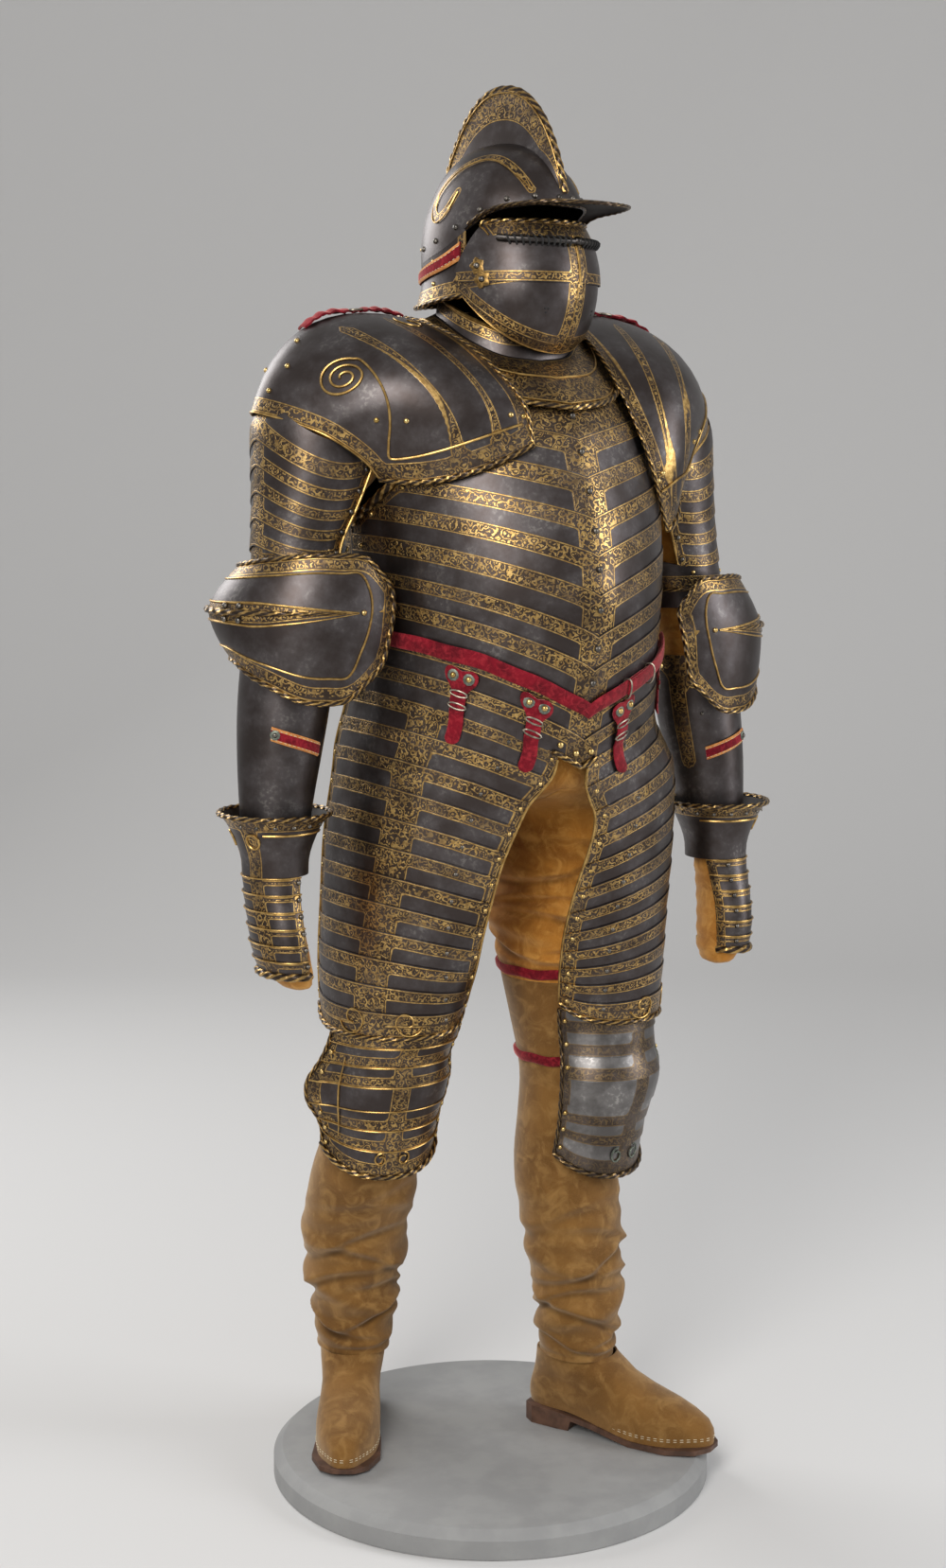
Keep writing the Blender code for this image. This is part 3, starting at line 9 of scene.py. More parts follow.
import bpy
import numpy as np
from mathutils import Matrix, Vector


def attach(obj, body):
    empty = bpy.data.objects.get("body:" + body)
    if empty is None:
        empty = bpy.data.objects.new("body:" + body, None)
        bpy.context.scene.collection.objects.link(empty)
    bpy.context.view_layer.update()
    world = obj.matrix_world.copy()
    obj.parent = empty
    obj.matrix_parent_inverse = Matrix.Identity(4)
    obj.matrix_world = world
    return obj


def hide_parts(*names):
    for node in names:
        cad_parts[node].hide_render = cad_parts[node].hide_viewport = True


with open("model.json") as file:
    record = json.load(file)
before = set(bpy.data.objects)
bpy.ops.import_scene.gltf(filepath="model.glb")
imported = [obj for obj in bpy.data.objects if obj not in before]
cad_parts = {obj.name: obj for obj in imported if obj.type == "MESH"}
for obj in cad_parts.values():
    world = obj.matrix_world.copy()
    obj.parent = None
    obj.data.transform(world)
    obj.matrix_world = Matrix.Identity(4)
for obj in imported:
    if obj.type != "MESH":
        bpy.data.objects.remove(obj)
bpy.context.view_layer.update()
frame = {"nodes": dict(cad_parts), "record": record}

BASE_HEIGHT = 0.038
BASE_RADIUS = 0.3016
BASE_CHAMFER = 0.012
SEAM = 0.0003  # the gap between neighbouring pieces
STEEL = 0.0018
SUEDE = 0.0024
STRAP = 0.0028
PROUD = 0.0024  # how far a lame's free edge stands over its neighbour
TUCKED = 0.0006
STEP = 0.0004  # half the height of the step between two lames
SIDES = {"right": -1, "left": 1}
FRONT_COLUMNS = np.array([-1, -0.833, -0.667, -0.5, -0.333, -0.1, 0, 0.1, 0.333, 0.5, 0.667, 0.833, 1])
SEAM_ANGLE = 89.95  # where the front plates end and, mirrored, the back plates begin


def table(columns, *rows):
    """A table with named columns, as {name: array}. The first column is the key that the others follow."""
    names = columns.split()
    ordered = sorted(rows, key=lambda row: row[0])
    return {name: np.array([row[i] for row in ordered], float) for i, name in enumerate(names)}


def along(rows, column, where):
    """The column's value at each key in `where`, on a smooth curve through the table's rows."""
    keys, values = next(iter(rows.values())), rows[column]
    where = np.clip(where, keys[0], keys[-1])
    i = np.clip(np.searchsorted(keys, where) - 1, 0, len(keys) - 2)
    slopes = np.gradient(values, keys)
    width = keys[i + 1] - keys[i]
    t = (where - keys[i]) / width
    start = (1 + 2 * t) * (1 - t) ** 2 * values[i] + t * (1 - t) ** 2 * width * slopes[i]
    end = t * t * (3 - 2 * t) * values[i + 1] + t * t * (t - 1) * width * slopes[i + 1]
    return start + end


def sine(degrees):
    return np.sin(np.radians(degrees))


def cosine(degrees):
    return np.cos(np.radians(degrees))


def wrapped(angle):
    """The same angle between -180 and 180 degrees."""
    return (np.asarray(angle) + 180.0) % 360.0 - 180.0


def points(x, y, z):
    """A grid of points from three arrays that broadcast together."""
    return np.stack(np.broadcast_arrays(x, y, z), axis=-1).astype(float)


TORSO = table(
    "z half_width front back",
    (0.900, 0.222, 0.205, 0.186),
    (0.968, 0.217, 0.211, 0.183),
    (1.046, 0.208, 0.229, 0.170),
    (1.119, 0.203, 0.247, 0.162),
    (1.187, 0.206, 0.254, 0.167),
    (1.283, 0.210, 0.237, 0.180),
    (1.360, 0.206, 0.209, 0.183),
    (1.400, 0.196, 0.191, 0.176),
    (1.430, 0.184, 0.169, 0.168),
    (1.480, 0.150, 0.125, 0.145),
)
TORSO_X = 0.004
KEEL = 0.006  # the ridge down the middle of the breastplate
KEEL_ANGLE = 14.0


def torso(angle, z, off=0.0):
    """Points on the torso's form, moved out by off."""
    side, ahead = sine(angle), cosine(angle)
    depth = np.where(ahead > 0, along(TORSO, "front", z), along(TORSO, "back", z))
    ridge = KEEL * np.exp(-((wrapped(angle) / KEEL_ANGLE) ** 2))
    x = TORSO_X + (along(TORSO, "half_width", z) + off) * side
    return points(x, -(depth + ridge + off) * ahead, z)


EDGES = table(
    "v rise dip skew",
    (0.9680, 0.085, 0.010, 0.010),
    (1.0040, 0.085, 0.010, 0.010),
    (1.0461, 0.085, 0.012, 0.010),
    (1.0937, 0.080, 0.015, 0.008),
    (1.1356, 0.075, 0.018, 0.006),
    (1.1872, 0.070, 0.020, 0.004),
    (1.2370, 0.062, 0.020, 0.002),
    (1.2828, 0.055, 0.020, 0.0),
    (1.3332, 0.047, 0.018, 0.0),
    (1.3805, 0.040, 0.015, 0.0),
    (1.4240, 0.034, 0.012, 0.0),
)
V_SHARPNESS = 0.85


def edge(v, angle):
    """The height at each angle of the edge line that crosses the front at v."""
    side, ahead = sine(angle), cosine(angle)
    rise = along(EDGES, "rise", v) * np.where(ahead > 0, np.abs(side) ** V_SHARPNESS, 1.0)
    dip = along(EDGES, "dip", v) * np.where(ahead > 0, 0.0, -ahead)
    return v + rise - dip - along(EDGES, "skew", v) * side


BREAST_EDGES = (1.4240, 1.3805, 1.3332, 1.2828, 1.2370, 1.1872, 1.1356, 1.0937, 1.0461)
BACK_EDGES = (1.4240, 1.3332, 1.2370, 1.1356, 1.0461)
FAULD_EDGES = (1.0461, 1.0040, 0.9680)
ARMHOLE = table(
    "z reach",
    (1.040, SEAM_ANGLE),
    (1.270, SEAM_ANGLE),
    (1.297, 78.0),
    (1.340, 64.0),
    (1.400, 54.0),
    (1.470, 46.0),
)
BELT_V = 1.0461
BELT_HALF = 0.010
BELT_OFF = 0.0030
BELT_DROP = 0.006
BACK_COLUMNS = np.linspace(-1.0, 1.0, 13)
PLATE_ANGLES = np.concatenate([FRONT_COLUMNS * SEAM_ANGLE, 180.0 + BACK_COLUMNS * SEAM_ANGLE])
TASSET_SECTION = {
    "right": table(
        "t out y half_width front first last",
        (0.00, 0.000, 0.000, 0.2170, 0.211, 9.0, 100.0),
        (0.20, 0.035, 0.000, 0.1810, 0.190, 8.5, 104.0),
        (0.43, 0.075, 0.005, 0.1530, 0.170, 5.0, 108.0),
        (0.64, 0.110, 0.012, 0.1220, 0.140, -10.0, 112.0),
        (0.82, 0.132, 0.018, 0.1020, 0.120, -30.0, 118.0),
        (1.00, 0.140, 0.023, 0.0920, 0.106, -48.0, 124.0),
    ),
    "left": table(
        "t out y half_width front first last",
        (0.00, 0.008, 0.000, 0.2200, 0.211, 3.5, 100.0),
        (0.20, 0.055, -0.010, 0.1940, 0.190, -5.0, 104.0),
        (0.43, 0.090, -0.020, 0.1520, 0.170, -26.0, 108.0),
        (0.64, 0.115, -0.030, 0.1180, 0.140, -44.0, 112.0),
        (0.82, 0.128, -0.034, 0.1020, 0.120, -54.0, 118.0),
        (1.00, 0.135, -0.035, 0.0920, 0.106, -60.0, 124.0),
    ),
}
TASSET_LAMES = 12
HEM = 0.607
HEM_CORNER = 0.026


def on_facets(angle, v, off):
    """Points on the edge line v of the torso's plates as their flat facets run, at any angle."""
    columns = np.sort(wrapped(PLATE_ANGLES))
    corners = torso(columns, edge(v, columns), 0.0)
    away = torso(columns, edge(v, columns), 0.01) - corners
    here = points(*(np.interp(angle, columns, corners[:, axis]) for axis in range(3)))
    out = points(*(np.interp(angle, columns, away[:, axis]) for axis in range(3)))
    return here + out * (np.asarray(off) / 0.01)[..., None]


def skirt(side, t, angle, off=0.0):
    """Points on the form that the fauld's edge and one tasset share."""
    section = TASSET_SECTION[side]
    out = along(section, "out", t)
    y = along(section, "y", t)
    wide = along(section, "half_width", t)
    deep = along(section, "front", t)
    sign = SIDES[side]
    at_top = on_facets(sign * angle, FAULD_EDGES[-1], off)
    top = at_top[..., 2] - SEAM
    x = sign * (out + (wide + off) * sine(angle))
    below = points(x, y - (deep + off) * cosine(angle), 0.0)
    share = np.clip(t / 0.20, 0.0, 1.0)
    share = (share * share * (3 - 2 * share))[..., None]
    row = at_top * (1 - share) + below * share
    row[..., 2] = top + (HEM - top) * t
    return row


STRAPS = table(
    "number side angle length",
    (1, -1, 19.0, 0.095),
    (2, -1, 45.0, 0.095),
    (3, -1, 90.0, 0.068),
    (4, 1, 16.5, 0.095),
    (5, 1, 60.0, 0.075),
)
STRAP_TOP = 0.020  # from the belt line down to the pad's top
PAD_HALF = 0.021
STRAP_OFF = PROUD + SEAM + 0.0004
ARM = {
    "right": table(
        "z out y radius",
        (0.820, 0.327, -0.012, 0.0385),
        (0.860, 0.3245, -0.0078, 0.0415),
        (0.906, 0.321, -0.003, 0.046),
        (0.980, 0.314, -0.001, 0.054),
        (1.040, 0.307, 0.000, 0.059),
        (1.100, 0.300, 0.000, 0.060),
        (1.152, 0.291, 0.000, 0.060),
        (1.200, 0.286, 0.000, 0.061),
        (1.250, 0.281, 0.000, 0.064),
        (1.300, 0.267, 0.000, 0.075),
        (1.360, 0.253, 0.002, 0.087),
        (1.405, 0.246, 0.004, 0.0902),
        (1.435, 0.237, 0.004, 0.0830),
    ),
    "left": table(
        "z out y radius",
        (0.790, 0.352, -0.030, 0.0385),
        (0.830, 0.350, -0.026, 0.0418),
        (0.871, 0.347, -0.022, 0.046),
        (0.940, 0.340, -0.016, 0.054),
        (1.000, 0.333, -0.010, 0.059),
        (1.060, 0.326, -0.006, 0.060),
        (1.112, 0.318, -0.004, 0.060),
        (1.160, 0.306, -0.002, 0.063),
        (1.215, 0.291, 0.000, 0.066),
        (1.280, 0.274, 0.000, 0.073),
        (1.350, 0.254, 0.002, 0.087),
        (1.405, 0.246, 0.004, 0.0902),
        (1.435, 0.237, 0.004, 0.0830),
    ),
}
ELBOW = {"right": 1.166, "left": 1.126}
WRIST = {"right": 0.830, "left": 0.800}


def arm(side, turn, z, off=0.0, form=ARM):
    """Points round an arm. turn runs from its outer side (0) over its front (90) to its inside (180)."""
    rows = form[side]
    reach = along(rows, "radius", z) + off
    x = SIDES[side] * (along(rows, "out", z) + reach * cosine(turn))
    return points(x, along(rows, "y", z) - reach * sine(turn), z)


PAULDRON = {
    "right": table(
        "c neck_x neck_y neck_z lift_x lift_y lift_z arm_x arm_y arm_z",
        (-1.0, 0.060, -0.207, 1.372, 0.168, -0.178, 1.312, 0.216, -0.094, 1.330),
        (-0.75, 0.066, -0.193, 1.422, 0.190, -0.200, 1.415, 0.240, -0.098, 1.352),
        (-0.4, 0.098, -0.120, 1.492, 0.235, -0.160, 1.500, 0.290, -0.080, 1.386),
        (0.0, 0.112, 0.010, 1.5331, 0.290, 0.000, 1.566, 0.340, 0.004, 1.412),
        (0.5, 0.102, 0.110, 1.520, 0.240, 0.150, 1.510, 0.278, 0.092, 1.392),
        (1.0, 0.080, 0.196, 1.430, 0.190, 0.200, 1.360, 0.208, 0.112, 1.350),
    ),
    "left": table(
        "c neck_x neck_y neck_z lift_x lift_y lift_z arm_x arm_y arm_z",
        (-1.0, 0.170, -0.163, 1.262, 0.205, -0.152, 1.272, 0.222, -0.104, 1.322),
        (-0.75, 0.130, -0.182, 1.350, 0.205, -0.196, 1.372, 0.246, -0.100, 1.350),
        (-0.4, 0.100, -0.130, 1.4675, 0.235, -0.165, 1.492, 0.290, -0.080, 1.386),
        (0.0, 0.112, 0.010, 1.5407, 0.290, 0.000, 1.566, 0.340, 0.004, 1.412),
        (0.5, 0.102, 0.110, 1.520, 0.240, 0.150, 1.510, 0.278, 0.092, 1.392),
        (1.0, 0.080, 0.196, 1.430, 0.190, 0.200, 1.360, 0.208, 0.112, 1.350),
    ),
}


def pauldron(side, c, t):
    """Points on a pauldron's form: c from front to back, t from the neck's edge (0) to the arm's (1)."""
    rows = PAULDRON[side]
    ends = {}
    for part in ("neck", "lift", "arm"):
        x, y, z = (along(rows, f"{part}_{axis}", c) for axis in "xyz")
        ends[part] = points(SIDES[side] * x, y, z)
    t = np.asarray(t)[..., None]
    return ends["neck"] * (1 - t) ** 2 + ends["lift"] * 2 * t * (1 - t) + ends["arm"] * t * t


def moved_out(form, first, second, off, nudge=1e-3):
    """form(first, second) moved out along its normal by off. Both arguments are arrays of one shape."""
    here = form(first, second)
    along_first = form(first + nudge, second) - form(first - nudge, second)
    along_second = form(first, second + nudge) - form(first, second - nudge)
    normal = np.cross(along_first, along_second)
    normal /= np.linalg.norm(normal, axis=-1, keepdims=True)
    return here + normal * np.asarray(off)[..., None]


STRAP_LIFT = 0.0008
ARM_LAMES = table(
    "number right left drop",
    (0, 1.4260, 1.4260, 0.064),
    (1, 1.3790, 1.3760, 0.050),
    (2, 1.3470, 1.3400, 0.044),
    (3, 1.3140, 1.3030, 0.036),
    (4, 1.2810, 1.2660, 0.028),
    (5, 1.2480, 1.2290, 0.020),
)
LAME_OFF = -0.0019


def lame_height(side, number, turn):
    """The height of a lame's edge: highest on the outside, lower at the front and back."""
    return along(ARM_LAMES, side, number) - along(ARM_LAMES, "drop", number) * np.abs(sine(turn)) ** 1.3


CANNON_OFF = LAME_OFF
COUTER = table(
    "turn top low rim ridge hem",
    (-122.0, 0.036, -0.048, 0.0003, 0.020, 0.0022),
    (-80.0, 0.048, -0.058, 0.0050, 0.040, 0.0110),
    (-35.0, 0.054, -0.062, 0.0120, 0.050, 0.0130),
    (0.0, 0.058, -0.064, 0.0155, 0.046, 0.0140),
    (45.0, 0.066, -0.088, 0.0245, 0.043, 0.0240),
    (90.0, 0.070, -0.112, 0.0435, 0.056, 0.0400),
    (112.0, 0.062, -0.104, 0.0595, 0.068, 0.0560),
    (127.0, 0.022, -0.060, 0.0745, 0.078, 0.0740),
)


def couter(side, turn, share, off=0.0):
    """Points on a couter's form: share runs from the top rim (-1) over the ridge (0) to the lower rim (1)."""
    top, low = along(COUTER, "top", turn), along(COUTER, "low", turn)
    rim, ridge, hem = (along(COUTER, name, turn) for name in ("rim", "ridge", "hem"))
    end = np.where(share < 0, rim, hem)
    reach = ridge + (end - ridge) * np.abs(share) ** 1.6 + off
    height = np.where(share < 0, -share * top, share * low)
    return arm(side, turn, ELBOW[side] + height, reach)


CUFF = table(
    "rise width depth",
    (0.000, 0.0420, 0.0450),
    (0.020, 0.0430, 0.0465),
    (0.045, 0.0510, 0.0540),
    (0.064, 0.0600, 0.0640),
    (0.078, 0.0700, 0.0740),
)
HAND = table(
    "drop out y width depth",
    (0.000, 0.000, 0.000, 0.0425, 0.0455),
    (0.030, 0.002, -0.005, 0.0400, 0.0480),
    (0.060, 0.002, -0.012, 0.0380, 0.0510),
    (0.095, 0.000, -0.018, 0.0370, 0.0520),
    (0.125, -0.004, -0.022, 0.0330, 0.0490),
)
HAND_LAMES = 6


def hand(side, turn, drop, off=0.0, form=HAND):
    """Points round the hand, drop below the wrist."""
    z = WRIST[side]
    out = along(ARM[side], "out", z) + along(form, "out", drop)
    y = along(ARM[side], "y", z) + along(form, "y", drop)
    x = SIDES[side] * (out + (along(form, "width", drop) + off) * cosine(turn))
    return points(x, y - (along(form, "depth", drop) + off) * sine(turn), z - drop)


GLOVE = table(
    "drop out y width depth",
    (-0.075, -0.0040, 0.010, 0.0271, 0.0271),
    (-0.030, 0.0000, 0.003, 0.0290, 0.0310),
    (0.000, 0.0000, 0.000, 0.0300, 0.0340),
    (0.035, 0.0000, -0.006, 0.0270, 0.0400),
    (0.075, -0.0020, -0.014, 0.0260, 0.0430),
    (0.110, -0.0060, -0.020, 0.0270, 0.0410),
    (0.135, -0.0120, -0.024, 0.0220, 0.0340),
    (0.146, -0.0160, -0.026, 0.0120, 0.0200),
    (0.149, -0.0170, -0.027, 0.0030, 0.0040),
)
SLEEVE = {
    "right": table(
        "z out y radius",
        (0.895, 0.3225, -0.003, 0.0330),
        (0.980, 0.3140, -0.001, 0.0420),
        (1.080, 0.3023, 0.000, 0.0568),
        (1.160, 0.2910, 0.000, 0.0500),
        (1.230, 0.2830, 0.000, 0.0520),
        (1.290, 0.2760, -0.002, 0.0530),
        (1.330, 0.2480, -0.006, 0.0640),
        (1.375, 0.2280, -0.004, 0.0700),
        (1.410, 0.2200, 0.000, 0.0720),
    ),
    "left": table(
        "z out y radius",
        (0.865, 0.3475, -0.022, 0.0330),
        (0.940, 0.3400, -0.016, 0.0420),
        (1.040, 0.3283, -0.007, 0.0568),
        (1.120, 0.3170, -0.002, 0.0510),
        (1.200, 0.2950, 0.000, 0.0530),
        (1.290, 0.2760, -0.002, 0.0530),
        (1.330, 0.2480, -0.006, 0.0640),
        (1.375, 0.2280, -0.004, 0.0700),
        (1.410, 0.2200, 0.000, 0.0720),
    ),
}
NECK_Y = -0.020
GORGET = table(
    "angle in_radius in_z mid_radius mid_z out_radius out_z",
    (0.0, 0.0960, 1.4790, 0.1400, 1.4532, 0.1760, 1.4152),
    (30.0, 0.0950, 1.4855, 0.1350, 1.4620, 0.1640, 1.4300),
    (55.0, 0.0920, 1.5030, 0.1240, 1.4860, 0.1480, 1.4660),
    (90.0, 0.0880, 1.5310, 0.1080, 1.5270, 0.1300, 1.5190),
    (130.0, 0.0874, 1.5440, 0.1120, 1.5320, 0.1440, 1.5060),
    (180.0, 0.0910, 1.5480, 0.1200, 1.5240, 0.1660, 1.4640),
)
COLLAR_HEIGHT = table(
    "angle rise",
    (0.0, 0.034),
    (60.0, 0.026),
    (90.0, 0.022),
    (130.0, 0.030),
    (180.0, 0.038),
)
GORGET_STEEL = 0.0015


def folded(angle):
    """The angle from the front, 0 to 180, on either side."""
    return np.abs(wrapped(angle))


def gorget_ring(radius, z, angle, lift=0.0):
    """Points on a ring round the neck."""
    return points(TORSO_X + radius * sine(angle), NECK_Y - radius * cosine(angle), z + lift)


HEAD_YAW = 15.0
HEAD = np.array([0.0, -0.035, 0.0])
FORWARD = np.array([math.sin(math.radians(HEAD_YAW)), -math.cos(math.radians(HEAD_YAW)), 0.0])
LEFTWARD = np.array([math.cos(math.radians(HEAD_YAW)), math.sin(math.radians(HEAD_YAW)), 0.0])
SKULL_WIDTH = 0.096
SKULL_LENGTH = 0.121
SKULL_BASE = 1.615
SKULL_TOP = 1.7556
HELMET_STEEL = 0.0020
BROW = table(
    "angle z",
    (0.0, 1.6690),
    (40.0, 1.6680),
    (62.0, 1.6600),
    (78.0, 1.6420),
    (95.0, 1.6220),
    (120.0, 1.6080),
    (180.0, 1.6000),
)


def head(forward, leftward, z):
    """Points in the helmet's own directions: forward, to the wearer's left, and up."""
    forward, leftward, z = np.broadcast_arrays(forward, leftward, z)
    flat = HEAD + forward[..., None] * FORWARD + leftward[..., None] * LEFTWARD
    return flat + z[..., None] * np.array([0.0, 0.0, 1.0])


def skull(angle, share, off=0.0):
    """Points on the skull's form: share runs from the rim (0) to the crown (1)."""
    low = along(BROW, "z", folded(angle))
    rise = np.clip((low - SKULL_BASE) / (SKULL_TOP - SKULL_BASE), -0.15, 0.9)
    start = np.degrees(np.arcsin(rise))
    tilt = start + (90.0 - start) * share
    spread = cosine(tilt) ** 0.9
    z = SKULL_BASE + (SKULL_TOP - SKULL_BASE + off) * sine(tilt)
    return head((SKULL_LENGTH + off) * spread * cosine(angle), (SKULL_WIDTH + off) * spread * sine(angle), z)


COMB_RISE = table(
    "along rise",
    (-0.119, 0.000),
    (-0.108, 0.030),
    (-0.085, 0.050),
    (-0.050, 0.066),
    (0.000, 0.0716),
    (0.045, 0.062),
    (0.075, 0.044),
    (0.098, 0.018),
    (0.108, 0.000),
)
COMB_HALF_FOOT = 0.0085
COMB_HALF_CREST = 0.0030


def comb_line(places, lift):
    """The comb's line over the skull at each place from back to front, lift times its full rise."""
    reach = np.clip(places / SKULL_LENGTH, -0.995, 0.995)
    crown = SKULL_BASE + (SKULL_TOP - SKULL_BASE) * np.sqrt(1 - np.abs(reach) ** 2.2)
    return crown - 0.0012 + lift * along(COMB_RISE, "rise", places)


PEAK = table(
    "angle reach",
    (-80.0, 0.0050),
    (-60.0, 0.0170),
    (-30.0, 0.0550),
    (0.0, 0.0760),
    (30.0, 0.0550),
    (60.0, 0.0170),
    (80.0, 0.0050),
)
PEAK_STEEL = 0.0020
PEAK_LIFT = 0.0016
PEAK_ARCH = 0.09
PEAK_DROP = 0.07
NECK_GUARD = table(
    "angle low flare",
    (80.0, 1.5600, 0.000),
    (100.0, 1.5560, 0.000),
    (130.0, 1.5500, 0.006),
    (180.0, 1.5560, 0.012),
)
GUARD_WAIST = 0.0015


def guard(angle, share, off=0.0):
    """Points round the back of the neck: share runs from the skull's rim (0) to the flared edge (1)."""
    rim = skull(angle, 0.0, off)
    half = folded(angle)
    out = along(NECK_GUARD, "flare", half) * share**2 - GUARD_WAIST * np.sin(share * math.pi)
    away = cosine(angle)[:, None] * FORWARD + sine(angle)[:, None] * LEFTWARD
    row = rim + away * out[:, None]
    row[:, 2] -= SEAM
    row[:, 2] += (along(NECK_GUARD, "low", half) - row[:, 2]) * share
    return row


CHEEK_AXIS = 1.5760
BUFFE_STEEL = 0.0013
BUFFE = table(
    "number reach half_width first last",
    (1, 0.1318, 0.1007, 37.0, -1.0),
    (2, 0.1284, 0.0982, 6.0, -38.0),
    (3, 0.1250, 0.0960, -30.0, -45.0),
)
CHEEK = 0.016
SIGHT_HEIGHT = 0.074


def buffe(turn, lateral, reach, half_width):
    """Points turned about the cheek axis: turn is the height angle, lateral runs from cheek to cheek."""
    distance = CHEEK + (reach - CHEEK) * np.abs(cosine(lateral)) ** 0.86
    wide = half_width * sine(lateral)
    return head(distance * cosine(turn), wide, CHEEK_AXIS + distance * sine(turn))


LEG = {
    "right": table(
        "z out y half_width half_depth",
        (0.105, 0.129, 0.166, 0.047, 0.056),
        (0.180, 0.131, 0.160, 0.056, 0.060),
        (0.270, 0.135, 0.146, 0.070, 0.068),
        (0.390, 0.141, 0.100, 0.073, 0.074),
        (0.460, 0.136, 0.072, 0.066, 0.070),
        (0.5175, 0.128, 0.050, 0.064, 0.068),
        (0.600, 0.126, 0.038, 0.070, 0.076),
        (0.655, 0.126, 0.032, 0.075, 0.082),
        (0.720, 0.120, 0.026, 0.084, 0.100),
        (0.800, 0.112, 0.018, 0.090, 0.116),
        (0.860, 0.106, 0.010, 0.096, 0.128),
        (0.905, 0.103, 0.006, 0.098, 0.140),
    ),
    "left": table(
        "z out y half_width half_depth",
        (0.105, 0.132, -0.015, 0.047, 0.056),
        (0.180, 0.130, -0.019, 0.056, 0.060),
        (0.290, 0.120, -0.020, 0.066, 0.068),
        (0.390, 0.114, -0.012, 0.071, 0.074),
        (0.460, 0.113, -0.016, 0.067, 0.070),
        (0.512, 0.113, -0.018, 0.065, 0.070),
        (0.600, 0.104, -0.014, 0.070, 0.076),
        (0.655, 0.100, -0.010, 0.076, 0.082),
        (0.720, 0.102, -0.004, 0.084, 0.100),
        (0.800, 0.104, 0.002, 0.090, 0.116),
        (0.860, 0.104, 0.004, 0.096, 0.128),
        (0.905, 0.103, 0.006, 0.098, 0.140),
    ),
}
BOOT_FOLDS = table(
    "z depth facing lean width",
    (0.128, 0.0050, 20.0, 0.010, 0.011),
    (0.165, 0.0070, -60.0, 0.016, 0.013),
    (0.205, 0.0085, 60.0, 0.020, 0.014),
    (0.245, 0.0080, -30.0, -0.018, 0.015),
    (0.290, 0.0060, 110.0, 0.022, 0.016),
    (0.335, 0.0040, 0.0, -0.020, 0.018),
)
BREECHES_FOLDS = table(
    "z depth facing lean width",
    (0.690, 0.0080, -20.0, 0.014, 0.013),
    (0.726, 0.0100, -70.0, -0.016, 0.014),
    (0.764, 0.0090, 10.0, 0.020, 0.015),
    (0.806, 0.0070, -50.0, -0.020, 0.016),
    (0.850, 0.0045, -20.0, 0.018, 0.018),
)


def crumple(folds, angle, z):
    """How far the cloth stands out at each point: a sum of leaning ridges with their own place and depth."""
    total = np.zeros(np.broadcast(angle, z).shape)
    for i in range(len(folds["z"])):
        turned = angle - folds["facing"][i]
        line = folds["z"][i] + folds["lean"][i] * sine(turned)
        ridge = np.exp(-(((z - line) / folds["width"][i]) ** 2))
        total = total + folds["depth"][i] * ridge * (0.62 + 0.38 * cosine(turned))
    return total


def leg(side, angle, z, off=0.0, form=LEG):
    """Points round a leg. angle runs from its front (0) over its outer side (90)."""
    rows = form[side]
    wide, deep = along(rows, "half_width", z) + off, along(rows, "half_depth", z) + off
    x = SIDES[side] * (along(rows, "out", z) + wide * sine(angle))
    return points(x, along(rows, "y", z) - deep * cosine(angle), z)


BOOT_TOP = 0.6554
ANKLE = 0.112
GARTERS = {"upper": (0.674, 0.660), "lower": (0.552, 0.538)}
FOOT_TURN = 31.0
SOLE = table(
    "along half_width top low",
    (-0.070, 0.018, 0.0250, 0.0003),
    (-0.060, 0.030, 0.0250, 0.0003),
    (-0.020, 0.034, 0.0250, 0.0003),
    (0.004, 0.034, 0.0245, 0.0003),
    (0.008, 0.034, 0.0240, 0.0150),
    (0.050, 0.036, 0.0160, 0.0085),
    (0.085, 0.043, 0.0105, 0.0003),
    (0.140, 0.049, 0.0080, 0.0003),
    (0.180, 0.044, 0.0090, 0.0015),
    (0.206, 0.028, 0.0105, 0.0035),
    (0.213, 0.012, 0.0112, 0.0045),
)
FOOT = table(
    "rise heel toe half_width",
    (0.000, -0.069, 0.2110, 0.0480),
    (0.120, -0.071, 0.2110, 0.0490),
    (0.300, -0.070, 0.2040, 0.0480),
    (0.500, -0.065, 0.1650, 0.0430),
    (0.720, -0.060, 0.0980, 0.0430),
    (1.000, -0.056, 0.0580, 0.0470),
)


FOOT_ANGLES = np.arange(42) * 360.0 / 42


def foot_frame(side):
    """The ankle's place over the base, and the foot's forward and outward directions."""
    rows = LEG[side]
    sign = SIDES[side]
    centre = np.array([sign * along(rows, "out", ANKLE), float(along(rows, "y", ANKLE)), 0.0])
    turn = math.radians(FOOT_TURN)
    forward = np.array([sign * math.sin(turn), -math.cos(turn), 0.0])
    outward = np.array([sign * math.cos(turn), math.sin(turn), 0.0])
    return centre, forward, outward


def sole_stations():
    """The places along the foot where the lowest ring of the upper has its corners, from heel to toe."""
    heel, toe = FOOT["heel"][0], FOOT["toe"][0]
    return np.unique(np.round((heel + toe) / 2 + (toe - heel) / 2 * cosine(FOOT_ANGLES), 6))


def sole_top(place):
    """The height of the sole's upper face, which is flat between its stations."""
    stations = sole_stations()
    return np.interp(place, stations, along(SOLE, "top", stations))


